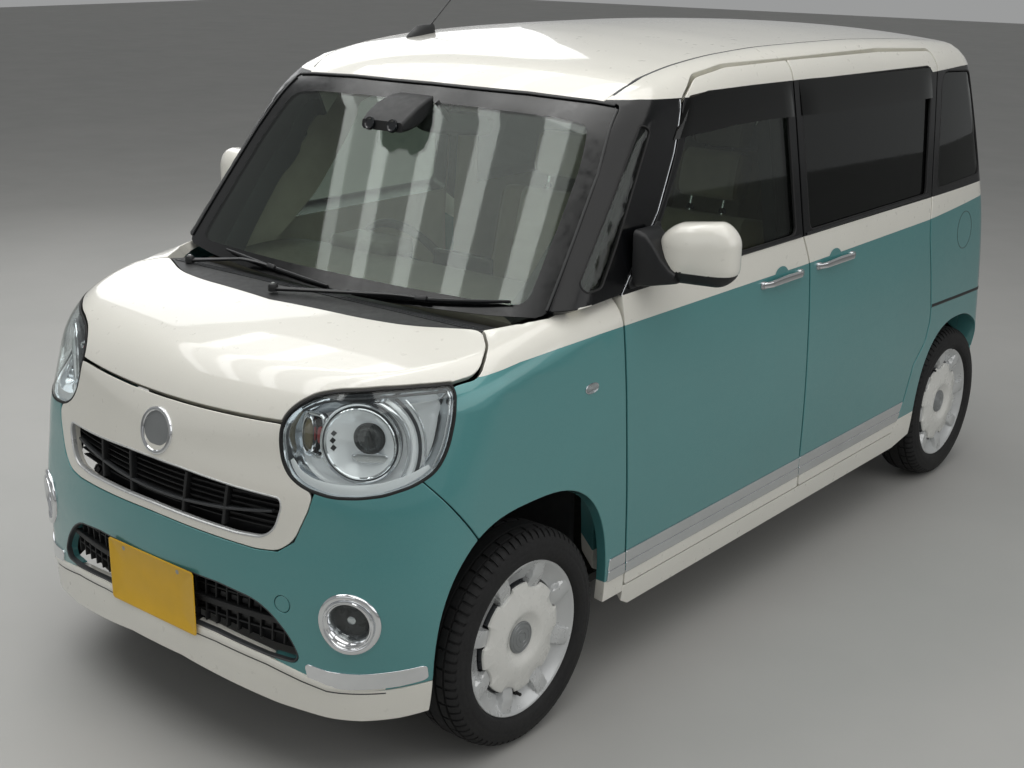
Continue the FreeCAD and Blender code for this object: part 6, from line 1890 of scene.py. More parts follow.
band("sill_moulding_slide", [(206, 288, 6), (866, 288, 6), (880, 318, 6), (199, 318, 4)], top, D_SIDE, (80, 1140, -460, 560), ["white", "black_plastic"], -3.0, 2, "paint_white", ("body", "body"), 2.4)

# black weather strips along the belt and the door frame lines
wst = [(-4, -3), (4, -3), (4.2, 1.0), (2.5, 3.4), (-2.5, 3.4), (-4.2, 1.0)]
o2 = strip("belt_strip_door", top, [(-690, 1086), (-560, 1086), (-300, 1086), (0, 1086), (122, 1086)], "side", wst, ["black_satin"], 0.0, 1, False, 30)
pair(o2, "left_front_door", "black_plastic", "right_front_door")
o2 = strip("belt_strip_slide", top, [(156, 1087), (400, 1088), (700, 1090), (1000, 1093)], "side", wst, ["black_satin"], 0.0, 1, False, 30)
pair(o2, "body", "black_plastic")
run = [(-3.2, -6), (3.2, -6), (3.4, -0.5), (2, 1.2), (-2, 1.2), (-3.4, -0.5)]
o2 = strip("run_channel_door", top, grow(FRONT_GLASS, 0.4), "side", run, ["rubber"], 1.0, 1, True, 16)
pair(o2, "left_front_door", "black_plastic", "right_front_door")
o2 = strip("run_channel_slide", top, grow(SLIDE_GLASS, 0.4), "side", run, ["rubber"], 1.0, 1, True, 16)
pair(o2, "body", "black_plastic")
o2 = strip("quarter_seal", top, grow(REAR_QUARTER, 0.2), "side", [(-2.4, -6), (2.4, -6), (2.6, -0.6), (1.4, 0.9), (-1.4, 0.9), (-2.6, -0.6)], ["rubber"], 0.4, 1, True, 16)
pair(o2, "body", "black_plastic")
o2 = strip("slope_quarter_seal", top, grow(SLOPE_QUARTER, 0.2), "side", [(-2.4, -8), (2.4, -8), (2.6, -0.6), (1.4, 0.9), (-1.4, 0.9), (-2.6, -0.6)], ["rubber"], 0.4, 1, True, 12)
pair(o2, "body", "black_plastic")
# bright line up the front edge of the door frame
o2 = strip("frame_bright_line", top, [(-783, 1074), (-690, 1167), (-602, 1256), (-555, 1328), (-514, 1392), (-484, 1460), (-462, 1520)], "side",
           [(-1.4, -2), (1.4, -2), (1.5, 1.2), (0, 2.0), (-1.5, 1.2)], ["satin_chrome"], 0.0, 1, False, 14)
pair(o2, "left_front_door", "lamp_lens", "right_front_door")

# smoked visors over the door glass, standing off on the frame
def visor(name, up_line, low_line, bodies):
    """A thin bowed sheet between two lines on the side."""
    n = 40
    def at(line, t):
        xs = [p[0] for p in line]
        y = xs[0] + (xs[-1] - xs[0]) * t
        return y, float(np.interp(y, xs, [p[1] for p in line]))
    rows = 9
    grid, gn = [], []
    for i in range(n + 1):
        t = i / n
        yu, zu = at(up_line, t)
        yl, zl = at(low_line, t)
        pts = [(yu + (yl - yu) * s_ / rows, zu + (zl - zu) * s_ / rows) for s_ in range(rows + 1)]
        P_, N_m = on_skin(top, pts, "side", 0.0)
        o_ = np.array([0.6 + 8.6 * math.sin(math.pi * 0.5 * min(1.0, 1.25 * s_ / rows)) for s_ in range(rows + 1)])
        e_ = min(1.0, 12 * t, 12 * (1 - t)) ** 0.5
        grid.append(P_ + N_m * (o_ * (0.25 + 0.75 * e_))[:, None])
        gn.append(N_m)
    V = []
    for i in range(n + 1):
        V += [tuple(p) for p in grid[i]]
    for i in range(n + 1):
        V += [tuple(p - q * 2.2) for p, q in zip(grid[i], gn[i])]
    R_ = rows + 1
    A = (n + 1) * R_
    F_, M_ = [], []
    for i in range(n):
        for j in range(rows):
            a, b = i * R_ + j, (i + 1) * R_ + j
            F_ += [(a, b, b + 1, a + 1), (A + a, A + a + 1, A + b + 1, A + b)]
            M_ += [1 if j == rows - 1 else 0] * 2
        for j in (0, rows):
            a, b = i * R_ + j, (i + 1) * R_ + j
            F_.append((a, b, A + b, A + a))
            M_.append(1 if j else 0)
    for i in (0, n):
        for j in range(rows):
            a = i * R_ + j
            F_.append((a, a + 1, A + a + 1, A + a))
            M_.append(0)
    ob = new_mesh(name, V, F_, ["visor_smoke", "visor_smoke"], M_)
    fix(ob, 40)
    return pair(ob, bodies[0], "dark_glass", bodies[1])


visor("side_visor_front", [(-470, 1478), (-420, 1526), (-330, 1532), (-221, 1531), (-24, 1530), (98, 1528)], [(-512, 1424), (-433, 1429), (-337, 1430), (-221, 1435), (-24, 1433), (112, 1428)],
      ("left_front_door", "right_front_door"))
visor("side_visor_rear", [(150, 1528), (222, 1526), (574, 1516), (1044, 1507)], [(158, 1427), (248, 1424), (590, 1417), (1048, 1408)], ("body", "body"))

# door handles: a teal recess with a chrome bar across it
def handle(name, y0, y1, z, bodies, key):
    yc = (y0 + y1) / 2
    P_, N_m = on_skin(top, [(yc, z)], "side", 0.0)
    c_, n_ = P_[0], N_m[0]
    dish = oval(name + "_dish", c_ - n_ * 0.2, n_, 40, 35, [(1.06, 0.6), (1.0, 0.9), (0.97, -0.2), (0.9, -5), (0.72, -11), (0.4, -14.5), (0.04, -15.5), (0.04, -18), (0.5, -17), (1.0, -6), (1.05, -2)], ["teal"], n=56, sq=2.1)
    pair(dish, bodies[0], "paint_teal", bodies[1])
    n = 34
    path, sc_ = [], []
    for i in range(n + 1):
        t = i / n
        y = y0 + (y1 - y0) * t
        Pq, Nq = on_skin(top, [(y, z + 2.5 * math.sin(math.pi * t))], "side", 0.0)
        lift_ = 17.0 * min(1.0, math.sin(math.pi * min(1, max(0, t))) * 2.4) ** 0.75
        path.append(Pq[0] + Nq[0] * (1.5 + lift_))
        sc_.append(0.78 + 0.22 * math.sin(math.pi * t))
    bar = sweep(name + "_bar", path, n_, [(x * 1.0, y * 1.0) for x, y in rect(21, 11, 4.6, (0, 0), 4)], ["chrome"], scale=sc_)
    pair(bar, bodies[0], "lamp_lens", bodies[1])
    for tag, yy in (("a", y0 + 9), ("b", y1 - 9)):
        Pq, Nq = on_skin(top, [(yy, z)], "side", 0.0)
        pair(oval(name + "_foot_" + tag, Pq[0], Nq[0], 13, 11.5, [(1.06, -2), (1.04, 2.0), (0.96, 6.0), (0.82, 9.5)], ["satin_chrome"], n=28, sq=3.0), bodies[0], "lamp_lens", bodies[1])
    if key:
        Pq, Nq = on_skin(top, [(y1 - 13, z + 1)], "side", 0.0)
        pair(lathe(name + "_key", [(0.01, 12.2), (2.0, 12.2), (2.2, 13.4), (6.6, 13.4), (7.6, 12.2), (7.6, 4), (0.01, 4)], Pq[0], Nq[0], ["satin_chrome"], n=28), bodies[0], "lamp_lens", bodies[1])


handle("door_handle_front", -112, 118, 980, ("left_front_door", "right_front_door"), True)
handle("door_handle_rear", 214, 446, 981, ("body", "body"), False)

# fuel lid: a fine ring-shaped groove on the left, drawn as a thin dark line, and its blank lid
lid = [(1321 + 66 * math.cos(math.radians(a)) ** 1, 927 + 66 * math.sin(math.radians(a))) for a in range(0, 360, 10)]
add(strip("fuel_lid_line", top, lid, "side", rect(2.0, 2.2, 0.5), ["black_satin"], 0.6, 1, True, 10), "body", "black_plastic")
# sliding door rails
o2 = strip("slide_rail", top, [(1078, 695), (1230, 690), (1400, 684), (1556, 678)], "side", [(-5.5, -3), (5.5, -3), (5.5, 0.4), (2, 0.8), (-2, 0.8), (-5.5, 0.4)], ["black_satin"], 0.0, 1, False, 24)
pair(o2, "body", "black_plastic")

# roof ditch strips with fine ribs
ditch = [(549, -603), (554, -575), (562.5, -500), (562.5, -300), (562.5, 0), (562.5, 500), (562.5, 1000), (562.5, 1430)]
q = dense(ditch, 9.0)
P_, N_m = on_skin(top, q, "top", 0.0)
n_ = len(P_)
o2 = sweep("roof_ditch_strip", P_ - N_m * 3.0, N_m, [(-4.2, -3), (4.2, -3), (4.2, 1.2), (2.4, 2.6), (-2.4, 2.6), (-4.2, 1.2)], ["ditch_grey"],
           scale=[1.0 + (0.05 if i % 2 else -0.05) for i in range(n_)])
pair(o2, "body", "black_plastic")
# black trim along the top of the windscreen
tl_ = [(-575, 1514), (-515, 1519), (-319, 1527), (0, 1530), (319, 1527), (515, 1519), (575, 1514)]
add(strip("screen_top_trim", top, tl_, "front", [(-4.6, -2), (4.6, -2), (4.6, 1.0), (2.0, 2.4), (-2.0, 2.4), (-4.6, 1.0)], ["black_satin"], 0.0, -1, False, 16), "body", "black_plastic")
for nm_, mt_, dx in (("screen_side_trim", "black_satin", 0), ):
    o2 = strip(nm_, top, [(661, 1070), (655, 1140), (646, 1221), (636, 1300), (628, 1363), (608, 1440), (589, 1504)], "front", [(-3.4, -2), (3.4, -2), (3.4, 1.0), (1.6, 2.2), (-1.6, 2.2), (-3.4, 1.0)], [mt_], 0.0, -1, False, 14)
    pair(o2, "body", "black_plastic")


# ----------------------------------------------------------------- door mirrors
def mirror_piece(name, mats, rows, w=194.0, h=162.0, r=50.0, midx=None, sq=None):
    """Rings of the mirror's outline carried front to rear: rows of (scale, depth, shift in z)."""
    base = []
    for a, b in rect(w, h, r, (0, 0), 9):
        ti = min(1.0, max(0.0, (12.0 - a) / 109.0)) ** 1.5
        to = min(1.0, max(0.0, (a - 30.0) / 67.0)) ** 2
        b2 = b - max(0.0, b) * (0.34 * ti + 0.16 * to) + max(0.0, -b) * 0.10 * to
        base.append((a * (1.09 if a < 0 else 1.0), b2))
    n = len(base)
    rings_ = []
    for k, y_, dz in rows:
        rr = []
        for a, b in base:
            p = np.array([860 + a * k - 762, y_, 1180 + b * k + dz])
            c_, s_ = math.cos(math.radians(10)), math.sin(math.radians(10))
            rr.append((762 + p[0] * c_ - p[1] * s_, -670 + p[0] * s_ + p[1] * c_, p[2]))
        rings_.append(rr)
    return loft(name, rings_, mats, True, midx, 38)


cap = mirror_piece("mirror_cap", ["white", "black_plastic"],
                   [(0.04, -35.6, 0), (0.22, -35.0, 0), (0.42, -33.2, 0), (0.60, -30.0, 0), (0.75, -25.2, 0), (0.86, -19.0, 0), (0.935, -11.0, 0), (0.98, -1.0, 0), (1.0, 10, 0),
                    (1.0, 22, 0), (0.992, 31.0, 0), (0.975, 34.6, 0), (0.95, 35.6, 0), (0.925, 35.0, 0), (0.915, 33.0, 0), (0.905, 24.0, 0), (0.6, 24.0, 0), (0.04, 24.0, 0)])
bm = bmesh.new()
bm.from_mesh(cap.data)
for z_ in (1135.5, 1133.0):
    bmesh.ops.bisect_plane(bm, geom=bm.verts[:] + bm.edges[:] + bm.faces[:], plane_co=(0, 0, z_ * MM), plane_no=(0, 0, 1), dist=1e-6)
for f in bm.faces:
    c_ = f.calc_center_median()
    f.material_index = 1 if c_.z < 1.1342 else 0
for v in bm.verts:
    if 1.1328 < v.co.z < 1.1332:
        c_ = Vector((0.861, -0.668, v.co.z))
        d_ = v.co - c_
        d_.z = 0
        if d_.length > 0.01:
            v.co -= d_ * 0.012
for e in bm.edges:
    e.smooth = len(e.link_faces) == 2 and e.calc_face_angle(0) < math.radians(38)
bm.to_mesh(cap.data)
bm.free()
pair(cap, "left_front_door", "paint_white", "right_front_door", ["mirror_left"], ["mirror_right"])
g_ = mirror_piece("mirror_pane", ["mirror_glass"], [(0.9, 25.0, 0), (0.9, 28.4, 0), (0.88, 29.2, 0)], r=46)
pair(g_, "left_front_door", "lamp_lens", "right_front_door")
arm_rings = []
for x_, y0_, y1_, z0_, z1_ in ((719, -738, -628, 1090, 1232), (732, -736, -634, 1091, 1230), (748, -730, -642, 1092, 1222), (764, -722, -650, 1094, 1200), (782, -712, -656, 1097, 1166), (802, -704, -656, 1100, 1140), (816, -698, -656, 1103, 1130)):
    yc_, zc_ = (y0_ + y1_) / 2, (z0_ + z1_) / 2
    arm_rings.append([(x_, yc_ + a, zc_ + b) for a, b in rect(y1_ - y0_, z1_ - z0_, 12, (0, 0), 5)])
pair(loft("mirror_arm", arm_rings, ["black_satin"], True, None, 45), "left_front_door", "black_plastic", "right_front_door")
sail_ = panel("mirror_sail", D_SIDE, [Cut([(-762, 1086, 8), (-600, 1243, 12), (-592, 1086, 8)], "side")], -6.5, -0.5, (-830, -540, -100, 400), ["black_satin", "black_plastic"], 2.0, P1 * 0.7, mirror=True)
add(sail_[0], "left_front_door", "black_plastic")
add(sail_[1], "right_front_door", "black_plastic")


# ------------------------------------------------------------ wipers and cowl
def quad_curve(x0, z0, xm, zm, x1, z1, n=28):
    c = np.polyfit([x0, xm, x1], [z0, zm, z1], 2)
    xs = np.linspace(x0, x1, n)
    return [(float(x), float(np.polyval(c, x))) for x in xs]


def wiper(tag, pivot, elbow, x0, z0, xm, zm, x1, z1, rep=None):
    bl = quad_curve(x0, z0, xm, zm, x1, z1)
    P_, N_m = on_skin(top, bl, "front", 0.0, -1)
    ob = sweep("wiper_rubber_" + tag, P_ + N_m * 3.2, N_m, [(-1.2, -2.6), (1.2, -2.6), (2.2, 1.0), (3.4, 4.2), (-3.4, 4.2), (-2.2, 1.0)], ["rubber"])
    add(ob, "body", "black_plastic", rep)
    ob = sweep("wiper_blade_" + tag, P_ + N_m * 9.0, N_m, [(-5.6, -2.2), (5.6, -2.2), (5.2, 0.6), (2.4, 4.6), (-1.4, 5.2), (-4.6, 2.4)], ["black_satin"],
               scale=[0.55 + 0.45 * min(1.0, 6 * i / 27.0, 6 * (27 - i) / 27.0) for i in range(28)])
    add(ob, "body", "black_plastic")
    hk, hn = on_skin(top, [(xm, zm)], "front", -15.0, -1)
    e_ = np.array(elbow, float)
    p_ = np.array(pivot, float)
    path = np.vstack([p_ + (e_ - p_) * t for t in (0.0, 0.25, 0.5, 0.75)] + [e_ + (hk[0] - e_) * t + np.array([0, 0, 5.0 * math.sin(math.pi * t)]) * 0.4 for t in (0.0, 0.25, 0.5, 0.75, 1.0)])
    ob = sweep("wiper_arm_" + tag, path, np.array([0, -0.25, 1.0]), rect(13, 7, 2.4), ["black_satin"], scale=[1.25, 1.1, 1.0, 0.95, 0.9, 0.8, 0.72, 0.66, 0.62])
    add(ob, "body", "black_plastic")
    add(block("wiper_hook_" + tag, -17, 17, -6.5, 6.5, -7, 4, ["black_satin"], 2.5, 2), "body", "black_plastic")
    o_ = bpy.data.objects["wiper_hook_" + tag]
    t_ = unit(P_[15] - P_[12])
    s_ = np.cross(hn[0], t_)
    M4 = Matrix(((t_[0], s_[0], hn[0][0], hk[0][0] * MM), (t_[1], s_[1], hn[0][1], hk[0][1] * MM), (t_[2], s_[2], hn[0][2], hk[0][2] * MM), (0, 0, 0, 1)))
    o_.data.transform(M4)
    add(lathe("wiper_cap_" + tag, [(0.01, 14.2), (6, 13.8), (10, 12), (12.6, 8), (13.0, 2), (13.0, -6), (0.01, -6)], pivot, (0, 0, 1), ["black_plastic"], n=36), "body", "black_plastic")
    add(lathe("wiper_nut_" + tag, [(0.01, 15.8), (4.5, 15.8), (5.4, 15.0), (5.4, 12), (0.01, 12)], pivot, (0, 0, 1), ["zinc"], n=6), "body", "black_plastic")


wiper("right", (-492, -1146, 1042), (-330, -1098, 1062), -433, 1062, -204, 1052, 25, 1041, ["wipers"])
wiper("left", (-66, -1216, 1044), (196, -1118, 1056), 97, 1041, 332, 1052, 566, 1076)

bm = bmesh.new()


def bar(bm_, x0, x1, y0, y1, z0f, z1f):
    vs = [bm_.verts.new((x * MM, y * MM, (f(y) + d) * MM)) for d, f in ((0.0, z0f), (0.0, z1f)) for x, y in ((x0, y0), (x1, y0), (x1, y1), (x0, y1))]
    for q in ((3, 2, 1, 0), (4, 5, 6, 7), (0, 1, 5, 4), (1, 2, 6, 5), (2, 3, 7, 6), (3, 0, 4, 7)):
        bm_.faces.new([vs[i] for i in q])


cz = lambda y: float(np.interp(y, [-1277, -1150, -1104, -1060], [1030, 1034, 1026, 1020]))
for i in range(118):
    x_ = -548 + i * 9.4
    if 96 < abs(x_) < 118:
        continue
    bar(bm, x_ - 1.7, x_ + 1.7, -1146, -1109, lambda y: cz(y) - 1.5, lambda y: cz(y) + 1.6)
for y_ in (-1148, -1128, -1107):
    bar(bm, -553, 553, y_ - 1.6, y_ + 1.6, lambda y: cz(y) - 1.5, lambda y: cz(y) + 2.2)
me = bpy.data.meshes.new("cowl_mesh")
bm.to_mesh(me)
bm.free()
me.materials.append(MATS["grey_plastic"])
cm_ = bpy.data.objects.new("cowl_mesh", me)
bpy.context.scene.collection.objects.link(cm_)
add(fix(cm_, 30), "body", "black_plastic")
for k, (x_, y_) in enumerate(((-314, -1238), (191, -1240))):
    add(oval("washer_nozzle_%d" % k, (x_, y_, cz(y_)), (0, 0, 1), 13, 9, [(1.0, -3), (1.0, 2), (0.9, 5.5), (0.6, 8), (0.1, 9)], ["black_plastic"], n=28, sq=2.6), "body", "black_plastic")

# ---------------------------------------------------------------------- antenna
foot = [(-358, 1, 2.5), (-352, 8, 9), (-335, 17, 15), (-310, 29, 20), (-285, 39, 21), (-262, 44, 20), (-248, 43, 15), (-240, 34, 8), (-238, 22, 3)]
rings_ = []
for y_, h_, w_ in foot:
    zr = float(on_skin(top, [(-400, y_)], "top", 0.0)[0][0][2])
    rr = []
    for i in range(24):
        a_ = 2 * math.pi * i / 24
        s_ = math.sin(a_)
        rr.append((-400 + w_ * math.cos(a_), y_, zr - 1.0 + max(0.0, s_) ** 0.75 * min(h_, 1651.0 - zr)))
    rings_.append(rr)
add(loft("antenna_foot", rings_, ["black_plastic"], True, None, 50), "body", "black_plastic", ["roof_antenna"])
ln = math.radians(38)
ad = np.array([0, math.cos(ln), math.sin(ln)])
add(lathe("antenna_mast", [(0.01, -6), (3.4, -6), (3.4, 16), (2.9, 20), (2.3, 40), (1.9, 178), (2.9, 180), (3.2, 183), (2.4, 185.6), (0.01, 186)], (-400, -258, 1643), ad, ["black_satin"], n=20), "body", "black_plastic")


# ----------------------------------------------------------------- number plates
def plate_mesh(name, y, sgn, z0, node_):
    w_, h_ = 330.0, 165.0
    o = rect(w_, h_, 9, (0, z0 + h_ / 2), 5)
    def ring_(k, dy):
        return [((x * (w_ / 2 - k) / (w_ / 2)), y + sgn * dy, z0 + h_ / 2 + (z - z0 - h_ / 2) * (h_ / 2 - k) / (h_ / 2)) for x, z in o]
    ob = loft(name, [ring_(0, 1.5), ring_(0, 0.5), ring_(1.0, 0.0), ring_(4.6, 0.0), ring_(6.0, 0.75), ring_(60, 0.75)], ["plate_yellow"], True, None, 50)
    on_ = "tailgate" if sgn < 0 else "body"
    add(ob, on_, "plate_paint", [node_])
    for i, x_ in enumerate((-105, 105)):
        add(lathe(name + "_bolt_%d" % i, [(0.01, 0.3), (3.5, 0.0), (5.8, -0.6), (6.2, -1.6), (2.8, -1.8), (2.8, -9), (0.01, -9)], (x_, y, z0 + h_ - 15), (0, -sgn, 0), ["zinc"], n=24), on_, "plate_paint")


plate_mesh("front_plate_face", -1697.4, 1, 318, "front_plate")
plate_mesh("rear_plate_face", 1690.1, -1, 612, "rear_plate")
add(block("front_plate_bracket", -150, 150, -1696.0, -1655, 330, 352, ["black_plastic"], 3, 2), "body", "black_plastic")


# --------------------------------------------------------------------- the cabin
def soft(name, c, half, r, rot=0.0, crown=18.0, bolster=16.0, seams_x=(), seams_y=(), face=(0, 0, 1), mats=("seat_cloth", "seat_side"),
         nx=44, ny=40, nz=12, inset=0.62, body="body", rep=None, fill=0.6):
    """A stuffed form: a rounded block whose showing face swells between its seams."""
    hx, hy, hz = half

    def lines(h, n):
        e = [-h, -h + r * 0.12, -h + r * 0.3, -h + r * 0.6, -h + r]
        m = list(np.linspace(-h + r, h - r, max(3, n - 8)))[1:-1]
        return e + m + [-v for v in reversed(e)]

    X, Y, Z = lines(hx, nx), lines(hy, ny), lines(hz, nz)
    idx, V, F_ = {}, [], []

    def vid(x, y, z):
        k = (round(x, 3), round(y, 3), round(z, 3))
        if k not in idx:
            idx[k] = len(V)
            V.append(k)
        return idx[k]

    for (A, B, mk) in ((X, Y, lambda a, b, s: (a, b, s * hz)), (X, Z, lambda a, b, s: (a, s * hy, b)), (Y, Z, lambda a, b, s: (s * hx, a, b))):
        for s in (-1, 1):
            for i in range(len(A) - 1):
                for j in range(len(B) - 1):
                    F_.append([vid(*mk(A[i], B[j], s)), vid(*mk(A[i + 1], B[j], s)), vid(*mk(A[i + 1], B[j + 1], s)), vid(*mk(A[i], B[j + 1], s))])
    P = np.array(V, float)
    h = np.array([hx, hy, hz])
    core = np.clip(P, -(h - r), h - r)
    d = P - core
    L = np.linalg.norm(d, axis=1, keepdims=True)
    P = core + np.where(L > 1e-6, d / np.maximum(L, 1e-6) * r, 0)
    u, v, w = P[:, 0] / hx, P[:, 1] / hy, P[:, 2] / hz
    show = np.clip((w + 0.1) / 1.1, 0, 1) ** 0.7
    up = crown * (1 - u ** 2) * (1 - v ** 2) - crown * 0.55
    up = up + bolster * np.exp(-((np.abs(u) - 0.80) / 0.13) ** 2) * (1 - 0.35 * v ** 2) - bolster * 0.5
    for sx in seams_x:
        up = up - 7.5 * np.exp(-((P[:, 0] - sx) / 5.0) ** 2)
    for sy in seams_y:
        up = up - 6.5 * np.exp(-((P[:, 1] - sy) / 5.0) ** 2) * (np.abs(u) < inset + 0.02)
    for sx in (-inset * hx, inset * hx):
        up = up - 9.0 * np.exp(-((P[:, 0] - sx) / 5.5) ** 2)
    # soft folds
    up = up + 1.6 * np.sin(P[:, 0] * 0.043 + P[:, 1] * 0.021) * np.cos(P[:, 1] * 0.037) * (1 - u ** 2)
    P[:, 2] += up * show
    # the long sides bulge a little
    P[:, 0] += np.sign(u) * 3.0 * np.clip(1 - w ** 2, 0, 1) * (np.abs(u) > 0.9)
    mi = []
    for f in F_:
        uu = np.mean([abs(V[i][0]) / hx for i in f])
        ww = np.mean([V[i][2] / hz for i in f])
        mi.append(0 if (uu < inset and ww > 0.5) else 1)
    q = math.radians(rot)
    R = np.array([[1, 0, 0], [0, math.cos(q), -math.sin(q)], [0, math.sin(q), math.cos(q)]])
    W = P @ R.T + np.array(c, float)
    ob = new_mesh(name, W, F_, list(mats), mi)
    fix(ob, 70)
    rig.padded(ob, fill=fill)
    add(ob, body, "seat_fabric", rep)
    # piping along the edge of the showing face
    for s in (-1, 1):
        ys = np.linspace(-hy + r * 0.7, hy - r * 0.7, 30)
        x_ = s * (hx - r * 0.28)
        pts = np.array([[x_, y, hz - r * 0.3 + (crown * (1 - (x_ / hx) ** 2) * (1 - (y / hy) ** 2) - crown * 0.55 - bolster * 0.5 + bolster * math.exp(-((abs(x_ / hx) - 0.8) / 0.13) ** 2)) * 0.75] for y in ys])
        ob = sweep(name + ("_piping_l" if s > 0 else "_piping_r"), pts @ R.T + np.array(c, float), R @ np.array([0, 0, 1.0]), ring(3.0, 8), ["seat_side"])
        add(ob, body, "seat_fabric")


def seat(tag, cx, y0, z0, w, back_h, rep=None):
    soft("seat_cushion_" + tag, (cx, y0 + 246, z0 + 78), (w / 2 - 6, 240, 66), 46, 0.0, 16, 16, (), (-150, -70, 10, 90, 165), rep=rep)
    q = 14.0
    zc, yc = back_h / 2 - 4, 55.0
    a_ = math.radians(q)
    # centre of the back in its leaning frame, whose showing face looks forward and slightly up
    ox = np.array([cx, y0 + 430, z0 + 110])
    uy = np.array([0, math.cos(a_), -math.sin(a_)])
    uz = np.array([0, math.sin(a_), math.cos(a_)])
    c = ox + uy * yc + uz * zc
    # local y runs up the back, local z looks forward
    soft("seat_back_" + tag, c, (w / 2 - 8, back_h / 2 - 8, 48), 40, 90 - q, 12, 14, (), tuple(np.linspace(-back_h * 0.36, back_h * 0.36, 7)), nx=40, ny=46)
    hc_ = ox + uy * (10 + 45) + uz * (back_h + 25 + 85)
    soft("headrest_" + tag, hc_, (122, 78, 40), 34, 90 - q, 7, 4, (), (), nx=26, ny=22, inset=0.8)
    for i, s in enumerate((-60, 60)):
        p0 = ox + uy * 52 + uz * (back_h - 26) + np.array([s, 0, 0])
        add(lathe("headrest_post_%s_%d" % (tag, i), [(0.01, 0), (5.5, 0), (5.5, 70), (0.01, 70)], p0, uz, ["chrome"], n=18), "body", "steel")
        add(lathe("headrest_guide_%s_%d" % (tag, i), [(0.01, 0), (12, 0), (12, 8), (9, 16), (0.01, 16)], p0 + uz * 18, uz, ["black_plastic"], n=20), "body", "black_plastic")


seat("driver", -290, -330, 450, 500, 560, ["front_seats"])
seat("passenger", 290, -330, 450, 500, 560)
seat("rear_right", -265, 640, 480, 500, 540, ["rear_seat"])
seat("rear_left", 265, 640, 480, 500, 540)
for tag, cx, ya, yb, z0, z1 in (("driver", -290, -290, 120, 262, 458), ("passenger", 290, -290, 120, 262, 458), ("rear_right", -265, 690, 870, 301, 488), ("rear_left", 265, 690, 870, 301, 488)):
    for s in (-1, 1):
        add(block("seat_rail_%s_%s" % (tag, "a" if s > 0 else "b"), cx + s * 175 - 16, cx + s * 175 + 16, ya, yb, z0, z0 + 26, ["black_steel"], 4, 2), "body", "black_steel")
    add(block("seat_plinth_" + tag, cx - 188, cx + 188, ya + 14, yb - 10, z0 + 20, z1, ["trim_dark"], 16, 3), "body", "trim_plastic")
for tag, cx in (("driver", -290), ("passenger", 290)):
    s = 1 if cx > 0 else -1
    add(block("seat_side_cover_" + tag, cx + s * 246 - 9, cx + s * 246 + 9, -300, 190, 436, 512, ["trim_dark"], 8, 3), "body", "trim_plastic")
    add(block("recline_lever_" + tag, cx + s * 258 - 5, cx + s * 258 + 5, 60, 160, 486, 506, ["black_plastic"], 5, 3), "body", "black_plastic")

# dashboard: a soft upper roll over a lighter lower face, carried across the cabin
top_prof = [(-1000, 1004), (-992, 1018), (-900, 1024), (-780, 1029), (-700, 1027), (-650, 1020), (-610, 1008), (-578, 990), (-560, 968), (-556, 944), (-566, 930), (-600, 926), (-800, 960), (-1000, 990)]
low_prof = [(-568, 934), (-556, 925), (-548, 900), (-553, 850), (-566, 800), (-590, 750), (-622, 708), (-650, 696), (-800, 696), (-800, 930)]


def across(name, prof, mats, x0, x1, n, bow, midx=None):
    rings_ = []
    for i in range(n + 1):
        x = x0 + (x1 - x0) * i / n
        e = 1 - 0.012 * max(0.0, abs(x) / abs(x1) - 0.9) / 0.1
        rings_.append([(x, y + bow * (x / 600.0) ** 2, 700 + (z - 700) * e) for y, z in prof])
    return loft(name, rings_, mats, True, midx, 42)


add(across("dash_upper", top_prof, ["trim_dark"], -588, 588, 40, -14), "body", "trim_plastic", ["dashboard"])
add(across("dash_lower", low_prof, ["trim_beige"], -584, 584, 40, -14), "body", "trim_plastic")
add(across("dash_band", [(-552, 930), (-545, 922), (-543, 908), (-546, 900), (-560, 900), (-566, 928)], ["silver_plastic"], -560, 560, 30, -14), "body", "trim_plastic")
add(block("dash_cluster_hood", -420, -180, -690, -560, 1012, 1058, ["trim_dark"], 18, 4), "body", "trim_plastic")
add(block("dash_cluster_face", -404, -196, -562, -556, 966, 1046, ["screen_dark"], 5, 2), "body", "trim_plastic")
for k, x_ in enumerate((-362, -238)):
    add(lathe("dash_dial_%d" % k, [(28, 0), (31, 3), (34, 3), (35, 0), (35, -4), (28, -4)], (x_, -555, 1006), (0, 1, 0.1), ["chrome"], n=48, closed=True), "body", "trim_plastic")
add(block("dash_screen_frame", -112, 112, -566, -544, 905, 1040, ["black_gloss"], 10, 3), "body", "trim_plastic")
add(block("dash_screen", -98, 98, -546, -541, 922, 1028, ["screen_dark"], 3, 2), "body", "trim_plastic")
for k, (xa, xb) in enumerate(((-560, -450), (-128, -20), (20, 128), (450, 560))):
    zc = 958 if abs(xa) > 300 else 882
    yf = -556 + (0 if abs(xa) < 300 else -10)
    add(block("dash_vent_%d" % k, xa, xb, yf - 6, yf + 8, zc - 27, zc + 27, ["black_plastic"], 7, 3), "body", "trim_plastic")
    for j in range(4):
        add(block("dash_vent_%d_vane_%d" % (k, j), xa + 8, xb - 8, yf + 5, yf + 13, zc - 18 + 11 * j, zc - 15 + 11 * j, ["grey_plastic"], 1.0, 1, (18, 0, 0)), "body", "trim_plastic")
for k, x_ in enumerate((-60, 0, 60)):
    add(lathe("dash_knob_%d" % k, [(0.01, 24), (14, 24), (17, 21), (19, 4), (22, 0), (0.01, 0)], (x_, -556, 812), (0, 1, 0.15), ["black_plastic"], n=28), "body", "trim_plastic")
    add(lathe("dash_knob_ring_%d" % k, [(21, 0), (24, 2), (24, 4), (21, 5)], (x_, -556, 812), (0, 1, 0.15), ["chrome"], n=36, closed=True), "body", "trim_plastic")
add(block("glove_box", 175, 545, -572, -560, 735, 868, ["trim_beige"], 6, 3), "body", "trim_plastic")
